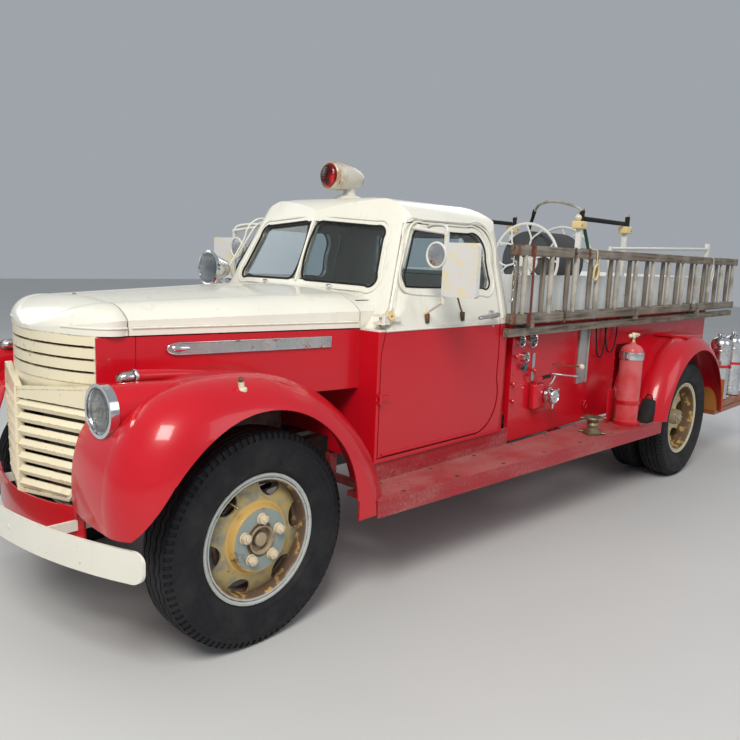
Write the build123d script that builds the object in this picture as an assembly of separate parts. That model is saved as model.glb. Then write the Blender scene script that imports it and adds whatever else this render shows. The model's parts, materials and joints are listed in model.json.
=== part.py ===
from build123d import *
from math import cos, sin, radians, sqrt, hypot
import os

# Everything is in millimetres. +X is forward, +Y is the left side, +Z is up. The ground is at Z 0, and the
# origin is on it, halfway between the bumper's front and the tailboard's end.

# Overall layout
WHEELBASE = 4064
FRONT_OVERHANG = 760
REAR_OVERHANG = 1656
FRONT_AXLE_X = (FRONT_OVERHANG + WHEELBASE + REAR_OVERHANG) / 2 - FRONT_OVERHANG
REAR_AXLE_X = FRONT_AXLE_X - WHEELBASE
TAIL_X = REAR_AXLE_X - REAR_OVERHANG
FIT = 0.3

# Tyres and wheels
TYRE_R = 465
TYRE_W = 205
BEAD_R = 254
RIM_FLANGE_R = 282
RIM_HALF_W = 75
RIM_T = 8
AXLE_Z = TYRE_R
FRONT_TYRE_Y = 745
DUAL_INNER_Y = 715
DUAL_OUTER_Y = 955
HUB_R = 68
HUB_FLANGE_R = 112
HAND_HOLE_R = 33
HAND_HOLE_PITCH_R = 184
HAND_HOLES = 5
DISC_T = 9
DRUM_R = 190
SPINDLE_R = 28
REAR_SPINDLE_R = 40

# Steering
KINGPIN_Y = 640
KINGPIN_R = 15
AXLE_EYE_R = 34
AXLE_EYE_Z0 = 425
AXLE_EYE_Z1 = 505
FORK_T = 25
STEERING_ARM = 150
ARM_W = 26
ARM_T = 20

# Frame
RAIL_Y = 400
RAIL_Z0 = 530
RAIL_Z1 = 710
RAIL_FLANGE = 65
RAIL_T = 8
RAIL_FRONT_X = FRONT_AXLE_X + 470
RAIL_REAR_X = TAIL_X + 330
CROSSMEMBERS_X = [RAIL_FRONT_X - 60, FRONT_AXLE_X - 1400, 300, -900, REAR_AXLE_X - 640, RAIL_REAR_X + 60]
CROSSMEMBER_W = 60
CROSSMEMBER_Z0 = 625

# Springs
FRONT_SPRING_Y = 370
FRONT_SPRING_W = 50
FRONT_SPRING_HALF = 450
REAR_SPRING_Y = 485
REAR_SPRING_W = 60
REAR_SPRING_HALF = 600
LEAF_T = 10

# Hood, nose and grilles
HOOD_FRONT_X = FRONT_AXLE_X + 500
HOOD_SPLIT_X = FRONT_AXLE_X + 380
HOOD_REAR_X = FRONT_AXLE_X - 752
HOOD_EDGE_Z = 1300
HOOD_FRONT_HALF = 408
HOOD_REAR_HALF = 625
HOOD_FRONT_CROWN_Z = 1428
HOOD_REAR_CROWN_Z = 1478
HOOD_T = 8
BELT_H = 32
BELT_PROUD = 5
HOOD_GAP = 6
HINGE_Y = 15
HINGE_STRIP_HALF = 8
HINGE_ROD_R = 4
HINGE_DROP = 5
NOSE_X = FRONT_AXLE_X + 605
GRILLE_TOP_Z = 1300
GRILLE_MID_Z = 1108
UPPER_BARS = 4
UPPER_SLOT = 10
BAR_DEPTH = 24
KEEL_X = FRONT_AXLE_X + 660
KEEL_HALF = 11
PROW_SLOPE = 0.28
LOUVRES = 7
LOUVRE_GAP = 16
GRILLE_FRAME = 13
GRILLE_PANEL_Z = 1015
GRILLE_DIP = 44

# Fenders, lamps and bumper
SHEET_T = 8
FENDER_OUT_Y = 950
BUMPER_TOP_Z = 578
BUMPER_H = 126
BUMPER_HALF = 870
BUMPER_PLAN_R = 2000
BUMPER_T = 12
BUMPER_END_R = 45
HEADLAMP_Y = 600
HEADLAMP_Z = 1050
HEADLAMP_X = FRONT_AXLE_X + 560
HEADLAMP_R = 103

# Cab
CAB_HALF = 755
CAB_FRONT_X = FRONT_AXLE_X - 752
CAB_REAR_X = FRONT_AXLE_X - 1965
CAB_BOTTOM_Z = 635
BELT_Z = 1300
CAB_TOP_Z = 2000
CAB_WALL = 40
FLOOR_Z = RAIL_Z1
FLOOR_T = 25
DOOR_GAP = 7
DOOR_HINGE_X = CAB_FRONT_X - 14
DOOR_HINGE_Y = CAB_HALF + 12
DOOR_HINGES_Z = [961, 1350]
DOOR_PIN_R = 6
DOOR_KNUCKLE_R = 10
DOOR_KNUCKLE_H = 24
GLASS_T = 6
GLASS_IN = 16

# Running boards and body
BOARD_TOP_Z = 535
BOARD_T = 26
BOARD_SKIRT = 85
BOARD_FRONT_X = FRONT_AXLE_X - 580
BOARD_REAR_X = REAR_AXLE_X + 610
BOARD_FRONT_Y = 950
BOARD_REAR_Y = 1110
SILL_Y = 745
BODY_FRONT_X = FRONT_AXLE_X - 1995
BODY_REAR_X = TAIL_X + 470
BODY_HALF = 720
BODY_BOTTOM_Z = 540
BED_BOTTOM_Z = 1290
BED_TOP_Z = 1568
BED_HALF = BODY_HALF - 20
BODY_WALL = 25
WHEELHOUSE_Y = BODY_HALF - 160
WHEELHOUSE_R = 640
REAR_FENDER_Y = 1135
REAR_FENDER_R = 690
REAR_LIP_R = 590
TAIL_STEP_Z = 445
TAIL_STEP_T = 40
TAIL_STEP_HALF = 1060

# Ladders
LADDER_FRONT_X = FRONT_AXLE_X - 1822
LADDER_LENGTH = 3860
LADDER_TOP_Z = 1745
LADDER_LOW_Z = 1345
STRINGER_H = 62
STRINGER_T = 28
RUNG_R = 15
RUNG_PITCH = 305
RUNGS = 13
LADDER_Y = [BODY_HALF + 56, BODY_HALF + 86]

# Hose reel
REEL_X = FRONT_AXLE_X - 3510
REEL_Z = 1652
REEL_FLANGE_R = 300
REEL_HALF = 275
REEL_HOSE_R = 235
REEL_DRUM_R = 110
AXLE_ROD_R = 20


def block(x0, x1, y0, y1, z0, z1):
    middle = Pos((x0 + x1) / 2, (y0 + y1) / 2, (z0 + z1) / 2)
    return middle * Box(abs(x1 - x0), abs(y1 - y0), abs(z1 - z0))


def rod(start, end, radius):
    axis = Vector(*end) - Vector(*start)
    return extrude(Plane(origin=start, z_dir=axis) * Circle(radius), amount=axis.length)


def cone(start, end, radius_start, radius_end):
    axis = Vector(*end) - Vector(*start)
    place = Plane(origin=start, z_dir=axis)
    return place * Cone(radius_start, radius_end, axis.length, align=(Align.CENTER, Align.CENTER, Align.MIN))


def at_x(x):
    return lambda y, z: (x, y, z)


def at_y(y):
    return lambda x, z: (x, y, z)


def at_z(z):
    return lambda x, y: (x, y, z)


def face(place, start, *steps):
    """Closed face. A step of two numbers is a line to that point, of four an arc through the first pair."""
    edges = []
    here = start
    for step in steps:
        there = tuple(step[-2:])
        if len(step) == 2:
            edges.append(Line(place(*here), place(*there)))
        else:
            edges.append(ThreePointArc(place(*here), place(*step[:2]), place(*there)))
        here = there
    if here != tuple(start):
        edges.append(Line(place(*here), place(*start)))
    return make_face(edges)


def slab_y(y0, y1, start, *steps):
    return extrude(face(at_y(y0), start, *steps), amount=y1 - y0, dir=(0, 1, 0))


def slab_x(x0, x1, start, *steps):
    return extrude(face(at_x(x0), start, *steps), amount=x1 - x0, dir=(1, 0, 0))


def slab_z(z0, z1, start, *steps):
    return extrude(face(at_z(z0), start, *steps), amount=z1 - z0, dir=(0, 0, 1))


def turned(start, *steps):
    """Solid turned about the Y axis from a profile of (radius, y) points."""
    return revolve(face(at_z(0), start, *steps), axis=Axis.Y)


def mirrored(solid):
    return mirror(solid, about=Plane.XZ)


def both_sides(solid):
    return [solid, mirrored(solid)]


def fuse(pieces):
    whole = pieces[0]
    for piece in pieces[1:]:
        whole = whole + piece
    return whole


nodes = {}


# Frame: two channels, open inwards, and crossmembers between their webs
def frame_rails():
    pieces = []
    for side in (1, -1):
        web = block(RAIL_REAR_X, RAIL_FRONT_X, side * (RAIL_Y - RAIL_T), side * RAIL_Y, RAIL_Z0, RAIL_Z1)
        pieces.append(web)
        for z in (RAIL_Z0, RAIL_Z1 - RAIL_T):
            flange_y = side * (RAIL_Y - RAIL_FLANGE)
            pieces.append(block(RAIL_REAR_X, RAIL_FRONT_X, flange_y, side * RAIL_Y, z, z + RAIL_T))
    for x in CROSSMEMBERS_X:
        inner = RAIL_Y - RAIL_T
        low = CROSSMEMBER_Z0
        pieces.append(block(x - CROSSMEMBER_W / 2, x - CROSSMEMBER_W / 2 + RAIL_T, -inner, inner, low, RAIL_Z1))
        pieces.append(block(x - CROSSMEMBER_W / 2, x + CROSSMEMBER_W / 2, -inner, inner, RAIL_Z1 - RAIL_T, RAIL_Z1))
        pieces.append(block(x - CROSSMEMBER_W / 2, x + CROSSMEMBER_W / 2, -inner, inner, low, low + RAIL_T))
    return fuse(pieces)


nodes["frame_rails"] = frame_rails()

# Front axle: an I-beam dropped between the springs, with an eye at each end for the kingpin
BEAM_Z0 = 352
BEAM_Z1 = 438
BEAM_HALF_X = 32
BEAM_DROP_Y = 520


def front_axle():
    half = slab_x(
        FRONT_AXLE_X - BEAM_HALF_X,
        FRONT_AXLE_X + BEAM_HALF_X,
        (0, BEAM_Z0),
        (BEAM_DROP_Y, BEAM_Z0),
        (KINGPIN_Y - 42, AXLE_EYE_Z0 + 3),
        (KINGPIN_Y, AXLE_EYE_Z0 + 3),
        (KINGPIN_Y, AXLE_EYE_Z1 - 3),
        (KINGPIN_Y - 50, AXLE_EYE_Z1 - 3),
        (BEAM_DROP_Y, BEAM_Z1),
        (0, BEAM_Z1),
    )
    web_cut = 14
    for side in (1, -1):
        pocket = block(
            FRONT_AXLE_X + side * 8,
            FRONT_AXLE_X + side * (BEAM_HALF_X + 1),
            -1,
            BEAM_DROP_Y - 20,
            BEAM_Z0 + web_cut,
            BEAM_Z1 - web_cut,
        )
        half = half - pocket
    eye = rod((FRONT_AXLE_X, KINGPIN_Y, AXLE_EYE_Z0), (FRONT_AXLE_X, KINGPIN_Y, AXLE_EYE_Z1), AXLE_EYE_R)
    half = half + eye
    bore = rod((FRONT_AXLE_X, KINGPIN_Y, AXLE_EYE_Z0 - 1), (FRONT_AXLE_X, KINGPIN_Y, AXLE_EYE_Z1 + 1), KINGPIN_R + FIT)
    half = half - bore
    return half + mirrored(half)


nodes["front_axle"] = front_axle()


# Steering knuckle: a fork round the axle's eye, the kingpin, the spindle and the steering arm
def knuckle():
    x = FRONT_AXLE_X
    low0 = AXLE_EYE_Z0 - FIT - FORK_T
    high1 = AXLE_EYE_Z1 + FIT + FORK_T
    web_y0 = KINGPIN_Y + AXLE_EYE_R + 7
    web_y1 = web_y0 + 20
    pieces = [block(x - AXLE_EYE_R, x + AXLE_EYE_R, web_y0, web_y1, low0, high1)]
    for z in (low0, AXLE_EYE_Z1 + FIT):
        pieces.append(rod((x, KINGPIN_Y, z), (x, KINGPIN_Y, z + FORK_T), AXLE_EYE_R))
        pieces.append(block(x - AXLE_EYE_R, x + AXLE_EYE_R, KINGPIN_Y, web_y1, z, z + FORK_T))
    pieces.append(rod((x, KINGPIN_Y, low0), (x, KINGPIN_Y, high1), KINGPIN_R))
    pieces.append(rod((x, web_y1 - 5, AXLE_Z), (x, FRONT_TYRE_Y + 55, AXLE_Z), SPINDLE_R))
    arm_x = x - STEERING_ARM
    pieces.append(block(arm_x, x, KINGPIN_Y - ARM_W / 2, KINGPIN_Y + ARM_W / 2, low0, low0 + ARM_T))
    pieces.append(rod((arm_x, KINGPIN_Y, low0), (arm_x, KINGPIN_Y, low0 + ARM_T), ARM_W * 0.8))
    return fuse(pieces)


nodes["knuckle_left"] = knuckle()
nodes["knuckle_right"] = mirrored(nodes["knuckle_left"])


# Tie rod: a bar behind the axle with an eye under each steering arm
def tie_rod():
    top = AXLE_EYE_Z0 - FIT - FORK_T - 0.5
    x = FRONT_AXLE_X - STEERING_ARM
    bar = rod((x, -KINGPIN_Y, top - 12), (x, KINGPIN_Y, top - 12), 11)
    eyes = [rod((x, side * KINGPIN_Y, top - 24), (x, side * KINGPIN_Y, top), ARM_W * 0.8) for side in (1, -1)]
    return fuse([bar] + eyes)


nodes["tie_rod"] = tie_rod()


# Leaf springs: each leaf is a piece of a circle, and each lower leaf is shorter
def leaf_pack(x, y, width, seat_z, half_length, rise, leaves):
    main_r = (half_length**2 + rise**2) / (2 * rise)
    centre_z = seat_z + (leaves - 1) * LEAF_T + main_r
    pieces = []
    for i in range(leaves):
        reach = half_length * (1 - 0.72 * i / leaves)
        inner = main_r + i * LEAF_T - LEAF_T
        outer = main_r + i * LEAF_T
        end_in = centre_z - sqrt(inner**2 - reach**2)
        end_out = centre_z - sqrt(outer**2 - reach**2)
        pieces.append(
            slab_y(
                y - width / 2,
                y + width / 2,
                (x - reach, end_in),
                (x, centre_z - inner, x + reach, end_in),
                (x + reach, end_out),
                (x, centre_z - outer, x - reach, end_out),
            )
        )
    return fuse(pieces), centre_z - sqrt((main_r - LEAF_T) ** 2 - half_length**2)


def leaf_springs():
    front, front_end_z = leaf_pack(FRONT_AXLE_X, FRONT_SPRING_Y, FRONT_SPRING_W, BEAM_Z1, FRONT_SPRING_HALF, 34, 4)
    y0 = FRONT_SPRING_Y - FRONT_SPRING_W / 2
    y1 = FRONT_SPRING_Y + FRONT_SPRING_W / 2
    for side in (1, -1):
        x = FRONT_AXLE_X + side * (FRONT_SPRING_HALF - 25)
        front = front + block(x - 25, x + 25, y0, y1, front_end_z - 14, RAIL_Z0)
    rear, rear_end_z = leaf_pack(REAR_AXLE_X, REAR_SPRING_Y, REAR_SPRING_W, AXLE_Z + 60, REAR_SPRING_HALF, 62, 6)
    for side in (1, -1):
        x = REAR_AXLE_X + side * (REAR_SPRING_HALF - 30)
        rear = rear + block(x - 30, x + 30, RAIL_Y, REAR_SPRING_Y + REAR_SPRING_W / 2, rear_end_z - 14, rear_end_z + 40)
    return both_sides(front) + both_sides(rear)


nodes["leaf_springs"] = leaf_springs()

# Rear axle: differential housing, tubes, spindles and the drive shaft from the gearbox
AXLE_TUBE_R = 60
GEARBOX_REAR_X = FRONT_AXLE_X - 1330
DRIVE_Z = 560


def rear_axle():
    x = REAR_AXLE_X
    spindle_r = REAR_SPINDLE_R
    tube = turned(
        (0, -870), (spindle_r, -870), (spindle_r, -600), (AXLE_TUBE_R, -600),
        (AXLE_TUBE_R, 600), (spindle_r, 600), (spindle_r, 870), (0, 870),
    )
    pieces = [
        Pos(x, 0, AXLE_Z) * tube,
        Pos(x, 0, AXLE_Z) * scale(Sphere(180), (1, 0.75, 1)),
        cone((x + 120, 0, AXLE_Z + 6), (x + 330, 0, AXLE_Z + 16), 110, 50),
        rod((x + 300, 0, AXLE_Z + 14), (GEARBOX_REAR_X - 50, 0, DRIVE_Z), 38),
        rod((GEARBOX_REAR_X - 74, 0, DRIVE_Z - 1), (GEARBOX_REAR_X - 26, 0, DRIVE_Z), 46),
        rod((GEARBOX_REAR_X - 50, 0, DRIVE_Z), (GEARBOX_REAR_X, 0, DRIVE_Z), 38),
    ]
    return fuse(pieces)


nodes["rear_axle"] = rear_axle()


# Wheels
def rim(centre_y):
    inner = BEAD_R - RIM_T
    w = RIM_HALF_W
    return turned(
        (inner, centre_y - w),
        (RIM_FLANGE_R, centre_y - w),
        (RIM_FLANGE_R, centre_y - w + RIM_T),
        (BEAD_R, centre_y - w + RIM_T),
        (BEAD_R, centre_y + w - RIM_T),
        (RIM_FLANGE_R, centre_y + w - RIM_T),
        (RIM_FLANGE_R, centre_y + w),
        (inner, centre_y + w),
    )


def disc(rim_y, hub_y, thickness):
    """Pressed disc from the rim to the hub flange, thickness measured towards the vehicle."""
    edge_r = BEAD_R - RIM_T + 2
    knee_r = 215
    knee_y = rim_y + (hub_y - rim_y) * 0.35
    return turned(
        (edge_r, rim_y),
        (knee_r, knee_y),
        ((knee_r + HUB_FLANGE_R) / 2, knee_y + (hub_y - knee_y) * 0.62, HUB_FLANGE_R, hub_y),
        (HUB_R - 6, hub_y),
        (HUB_R - 6, hub_y - thickness),
        (HUB_FLANGE_R, hub_y - thickness),
        ((knee_r + HUB_FLANGE_R) / 2, knee_y + (hub_y - knee_y) * 0.62 - thickness, knee_r, knee_y - thickness),
        (edge_r, rim_y - thickness),
    )


def hand_holes(y0, y1):
    holes = []
    for i in range(HAND_HOLES):
        angle = radians(90 + 360 * i / HAND_HOLES)
        x = HAND_HOLE_PITCH_R * cos(angle)
        z = HAND_HOLE_PITCH_R * sin(angle)
        holes.append(rod((x, y0, z), (x, y1, z), HAND_HOLE_R))
    return holes


def tyre(centre_y):
    bead_half = RIM_HALF_W - RIM_T - FIT
    half = TYRE_W / 2
    tread = 74
    return turned(
        (BEAD_R, centre_y - bead_half),
        (RIM_FLANGE_R, centre_y - bead_half),
        (350, centre_y - half, 440, centre_y - half + 14),
        (458, centre_y - tread - 6, TYRE_R - 3, centre_y - tread),
        (TYRE_R, centre_y, TYRE_R - 3, centre_y + tread),
        (458, centre_y + tread + 6, 440, centre_y + half - 14),
        (350, centre_y + half, RIM_FLANGE_R, centre_y + bead_half),
        (BEAD_R, centre_y + bead_half),
    )


def front_wheel():
    c = FRONT_TYRE_Y
    hub_y = c + 58
    wheel = rim(c) + (disc(c + 12, hub_y, DISC_T) - fuse(hand_holes(c - 40, c + 90)))
    bore_end = c + 55 + FIT + 5
    hub = turned((0, c - 40), (HUB_R, c - 40), (HUB_R, hub_y + 8), (48, hub_y + 22), (40, hub_y + 34), (0, hub_y + 34))
    drum = turned((HUB_R - 2, c - 32), (DRUM_R, c - 32), (DRUM_R, c + 24), (HUB_R - 2, c + 24))
    hub = hub + drum - turned((0, c - 41), (SPINDLE_R + 0.5, c - 41), (SPINDLE_R + 0.5, bore_end), (0, bore_end))
    return wheel + hub


def rear_wheel():
    mid = (DUAL_INNER_Y + DUAL_OUTER_Y) / 2
    outer = rim(DUAL_OUTER_Y) + (disc(DUAL_OUTER_Y - 30, mid + 22, DISC_T) - fuse(hand_holes(mid, DUAL_OUTER_Y)))
    inner = rim(DUAL_INNER_Y) + disc(DUAL_INNER_Y + 30, mid + 22 - DISC_T, DISC_T)
    start = 622
    end = mid + 165
    hub = turned((0, start), (HUB_R + 12, start), (HUB_R + 12, mid + 60), (60, mid + 70), (60, end), (0, end))
    drum = turned((HUB_R, start + 20), (DRUM_R + 15, start + 20), (DRUM_R + 15, start + 110), (HUB_R, start + 110))
    bore = turned((0, start - 1), (REAR_SPINDLE_R + 0.5, start - 1), (REAR_SPINDLE_R + 0.5, 876), (0, 876))
    return outer + inner + hub + drum - bore


front_place = Pos(FRONT_AXLE_X, 0, AXLE_Z)
rear_place = Pos(REAR_AXLE_X, 0, AXLE_Z)
nodes["wheel_front_left"] = front_place * front_wheel()
nodes["tyre_front_left"] = front_place * tyre(FRONT_TYRE_Y)
nodes["wheel_rear_left"] = rear_place * rear_wheel()
nodes["tyres_rear_left"] = [rear_place * tyre(DUAL_INNER_Y), rear_place * tyre(DUAL_OUTER_Y)]
for name in ("wheel_front", "tyre_front", "wheel_rear"):
    nodes[name + "_right"] = mirrored(nodes[name + "_left"])
nodes["tyres_rear_right"] = [mirrored(t) for t in nodes["tyres_rear_left"]]

# Engine and gearbox as one plain mass on two cross arms, radiator, fuel tank and exhaust
ENGINE_X0 = FRONT_AXLE_X - 640
ENGINE_X1 = FRONT_AXLE_X + 260
ENGINE_HALF = 170
RADIATOR_X = FRONT_AXLE_X + 340
RADIATOR_T = 80


def engine():
    pieces = [
        block(ENGINE_X0, ENGINE_X1, -ENGINE_HALF, ENGINE_HALF, 520, 1130),
    ]
    for x in (ENGINE_X0 + 60, ENGINE_X1 - 60):
        inner = RAIL_Y - RAIL_T
        pieces.append(block(x - 30, x + 30, -inner, inner, 600, 650))
    gearbox = [
        cone((ENGINE_X0, 0, DRIVE_Z), (ENGINE_X0 - 160, 0, DRIVE_Z), 105, 80),
        block(GEARBOX_REAR_X + 40, ENGINE_X0 - 150, -75, 75, DRIVE_Z - 90, DRIVE_Z + 85),
        rod((ENGINE_X0 - 200, 0, DRIVE_Z), (GEARBOX_REAR_X, 0, DRIVE_Z), 45),
    ]
    return [fuse(pieces), fuse(gearbox)]


nodes["engine"] = engine()
RADIATOR_HALF = 290
RADIATOR_TOP_Z = 1240
nodes["radiator"] = block(RADIATOR_X, RADIATOR_X + RADIATOR_T, -RADIATOR_HALF, RADIATOR_HALF, RAIL_Z1, RADIATOR_TOP_Z)
TANK_X1 = CROSSMEMBERS_X[4] - CROSSMEMBER_W / 2
nodes["fuel_tank"] = fillet(
    block(TANK_X1 - 520, TANK_X1, -320, 320, 470, 690).edges().filter_by(Axis.Y), 40
)


def exhaust():
    y = -250
    z = 500
    start = (ENGINE_X0 - 80, y, z)
    pieces = [
        rod((ENGINE_X0 + 25, -ENGINE_HALF + 20, 640), (start[0] - 8, start[1] - 6, start[2] - 10), 26),
        rod((start[0] + 22, y, z), (REAR_AXLE_X + 720, y, z), 26),
        rod((900, y, z), (200, y, z), 80),
        block(295, 305, y - 20, y + 20, z + 70, CROSSMEMBER_Z0),
    ]
    line = fuse(pieces) - nodes["engine"][0]
    return line - rod((REAR_AXLE_X + 719, y, z), (REAR_AXLE_X + 850, y, z), 23)


nodes["exhaust"] = exhaust()


# Bumper: a bowed plate on two irons bolted to the frame's ends
def bumper():
    bow = BUMPER_HALF**2 / (2 * BUMPER_PLAN_R)
    x_mid = FRONT_AXLE_X + FRONT_OVERHANG
    z0 = BUMPER_TOP_Z - BUMPER_H
    plate = slab_z(
        z0,
        BUMPER_TOP_Z,
        (x_mid - bow, -BUMPER_HALF),
        (x_mid, 0, x_mid - bow, BUMPER_HALF),
        (x_mid - bow - BUMPER_T, BUMPER_HALF),
        (x_mid - BUMPER_T, 0, x_mid - bow - BUMPER_T, -BUMPER_HALF),
    )
    r = BUMPER_END_R
    w = BUMPER_HALF
    for corner_z, inwards in ((z0, 1), (BUMPER_TOP_Z, -1)):
        waste = slab_x(
            x_mid - bow - 50,
            x_mid,
            (w - r, corner_z),
            (w - r, corner_z - 2 * inwards),
            (w + 2, corner_z - 2 * inwards),
            (w + 2, corner_z + r * inwards),
            (w, corner_z + r * inwards),
            (w - r * 0.293, corner_z + r * 0.293 * inwards, w - r, corner_z),
        )
        plate = plate - waste - mirrored(waste)
    iron_x = x_mid - BUMPER_T - RAIL_Y**2 / (2 * BUMPER_PLAN_R)
    irons = [
        block(RAIL_FRONT_X, iron_x + 3, side * (RAIL_Y - 14), side * RAIL_Y, RAIL_Z0, BUMPER_TOP_Z - 6)
        for side in (1, -1)
    ]
    return fuse([plate] + irons)


nodes["bumper"] = bumper()


# Hood: one shell from the nose to the cowl, parted along the crown
def hood_section(x, half, crown_z, inset):
    h = half - inset
    top = crown_z - inset
    shoulder_z = HOOD_EDGE_Z + (crown_z - HOOD_EDGE_Z) * 0.45
    return face(
        at_x(x),
        (-20, HOOD_EDGE_Z - inset * 4),
        (h, HOOD_EDGE_Z - inset * 4),
        (h, shoulder_z - inset),
        (h * 0.86, shoulder_z - inset + (top - shoulder_z + inset) * 0.58, h * 0.6, top - (top - shoulder_z + inset) * 0.17),
        (h * 0.3, top - (top - shoulder_z + inset) * 0.035, -20, top),
    )


def hood_outer(inset, x0, x1):
    sections = []
    for x in (x0, x1):
        t = (x - HOOD_REAR_X) / (HOOD_FRONT_X - HOOD_REAR_X)
        half = HOOD_REAR_HALF + (HOOD_FRONT_HALF - HOOD_REAR_HALF) * t
        crown = HOOD_REAR_CROWN_Z + (HOOD_FRONT_CROWN_Z - HOOD_REAR_CROWN_Z) * t
        sections.append(hood_section(x, half, crown, inset))
    return loft(sections, ruled=True)


def crown_z(x):
    t = (x - HOOD_REAR_X) / (HOOD_FRONT_X - HOOD_REAR_X)
    return HOOD_REAR_CROWN_Z + (HOOD_FRONT_CROWN_Z - HOOD_REAR_CROWN_Z) * t


def hinge_point(x, y):
    return (x, y, crown_z(x) - HINGE_DROP)


HOOD_X0 = HOOD_REAR_X + HOOD_GAP
HOOD_X1 = HOOD_SPLIT_X - HOOD_GAP


def panel_line(x):
    """Half width of the hood's side at this place."""
    t = (x - HOOD_REAR_X) / (HOOD_FRONT_X - HOOD_REAR_X)
    return HOOD_REAR_HALF + (HOOD_FRONT_HALF - HOOD_REAR_HALF) * t


def belt(x0, x1):
    """Raised band along the hood's lower edge."""
    out = BELT_PROUD
    return slab_z(
        HOOD_EDGE_Z,
        HOOD_EDGE_Z + BELT_H,
        (x0, panel_line(x0) - 3),
        (x1, panel_line(x1) - 3),
        (x1, panel_line(x1) + out),
        (x0, panel_line(x0) + out),
    )


def hood_left():
    shell = hood_outer(0, HOOD_X0, HOOD_X1) - hood_outer(HOOD_T, HOOD_X0 - 1, HOOD_X1 + 1)
    start = HINGE_Y + HINGE_ROD_R + FIT
    shell = shell & block(HOOD_X0 - 10, HOOD_X1 + 10, start, CAB_HALF, HOOD_EDGE_Z, HOOD_REAR_CROWN_Z + 20)
    return shell + belt(HOOD_X0, HOOD_X1)


nodes["hood_left"] = hood_left()
nodes["hood_right"] = mirrored(nodes["hood_left"])


# Red side panels under the hood, standing in the fenders' inner edges
PANEL_Z0 = 1000
PANEL_Z1 = HOOD_EDGE_Z - HOOD_GAP


PANEL_X0 = CAB_FRONT_X
PANEL_X1 = HOOD_FRONT_X
side_panel = slab_z(
    PANEL_Z0,
    PANEL_Z1,
    (PANEL_X0, panel_line(PANEL_X0)),
    (PANEL_X1, panel_line(PANEL_X1)),
    (PANEL_X1, panel_line(PANEL_X1) - SHEET_T),
    (PANEL_X0, panel_line(PANEL_X0) - SHEET_T),
)
PANEL_SEAM_X = FRONT_AXLE_X + 345
seam = slab_z(
    PANEL_Z0 - 1,
    PANEL_Z1 + 1,
    (PANEL_SEAM_X, panel_line(PANEL_SEAM_X) - 4),
    (PANEL_SEAM_X + 4, panel_line(PANEL_SEAM_X) - 4),
    (PANEL_SEAM_X + 4, panel_line(PANEL_SEAM_X) + 4),
    (PANEL_SEAM_X, panel_line(PANEL_SEAM_X) + 4),
)
nodes["hood_sides"] = both_sides(side_panel - seam)

# Bright strip along each side panel, ending in points
STRIP_X0 = FRONT_AXLE_X - 500
STRIP_X1 = FRONT_AXLE_X + 330
STRIP_Z = 1250
STRIP_H = 54
STRIP_T = 12


def side_strip():
    bar = slab_z(
        STRIP_Z - STRIP_H / 2,
        STRIP_Z + STRIP_H / 2,
        (STRIP_X0, panel_line(STRIP_X0)),
        (STRIP_X1, panel_line(STRIP_X1)),
        (STRIP_X1, panel_line(STRIP_X1) + STRIP_T),
        (STRIP_X0, panel_line(STRIP_X0) + STRIP_T),
    )
    pointed = slab_y(
        0,
        CAB_HALF,
        (STRIP_X0, STRIP_Z),
        (STRIP_X0 + 90, STRIP_Z - STRIP_H * 0.36),
        (STRIP_X1 - 100, STRIP_Z - STRIP_H / 2),
        (STRIP_X1 - 20, STRIP_Z - STRIP_H * 0.42, STRIP_X1, STRIP_Z),
        (STRIP_X1 - 20, STRIP_Z + STRIP_H * 0.42, STRIP_X1 - 100, STRIP_Z + STRIP_H / 2),
        (STRIP_X0 + 90, STRIP_Z + STRIP_H * 0.36),
    )
    return bar & pointed


nodes["side_strips"] = both_sides(side_strip())


# Nose: a cap over the upper grille, with the hood's hinge rod
# Sections of the nose: place, half width and crown height
NOSE_SECTIONS = [
    (HOOD_SPLIT_X, panel_line(HOOD_SPLIT_X), crown_z(HOOD_SPLIT_X)),
    (FRONT_AXLE_X + 492, 400, 1416),
    (FRONT_AXLE_X + 548, 296, 1384),
    (FRONT_AXLE_X + 586, 160, 1346),
    (NOSE_X, 40, 1318),
]


def nose_form(inset):
    """Left half of the nose, rolled over the top and round the corner, drawn a little past the middle."""
    sections = []
    for x, half, crown in NOSE_SECTIONS:
        sections.append(hood_section(x - inset, half, crown, inset))
    return loft(sections)


def nose_cap():
    half = nose_form(0) - Pos(-2, 0, 0) * nose_form(SHEET_T)
    half = half & block(HOOD_SPLIT_X, NOSE_X + 5, 0, CAB_HALF, HOOD_EDGE_Z - 8, HOOD_REAR_CROWN_Z)
    half = half + belt(HOOD_SPLIT_X, HOOD_FRONT_X - 25)
    shell = half + mirrored(half)
    strip = slab_y(
        -HINGE_STRIP_HALF,
        HINGE_STRIP_HALF,
        (HOOD_REAR_X, crown_z(HOOD_REAR_X)),
        (HOOD_SPLIT_X + 4, crown_z(HOOD_SPLIT_X)),
        (HOOD_SPLIT_X + 4, crown_z(HOOD_SPLIT_X) - SHEET_T),
        (HOOD_REAR_X, crown_z(HOOD_REAR_X) - SHEET_T),
    )
    web = slab_y(
        -HINGE_Y,
        HINGE_Y,
        (HOOD_REAR_X, crown_z(HOOD_REAR_X) - HINGE_DROP + 2),
        (HOOD_SPLIT_X + 4, crown_z(HOOD_SPLIT_X) - HINGE_DROP + 2),
        (HOOD_SPLIT_X + 4, crown_z(HOOD_SPLIT_X) - HINGE_DROP - 2),
        (HOOD_REAR_X, crown_z(HOOD_REAR_X) - HINGE_DROP - 2),
    )
    rods = [rod(hinge_point(HOOD_REAR_X, y), hinge_point(HOOD_SPLIT_X, y), HINGE_ROD_R) for y in (HINGE_Y, -HINGE_Y)]
    return fuse([shell, strip, web] + rods)


nodes["nose_cap"] = nose_cap()


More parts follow.
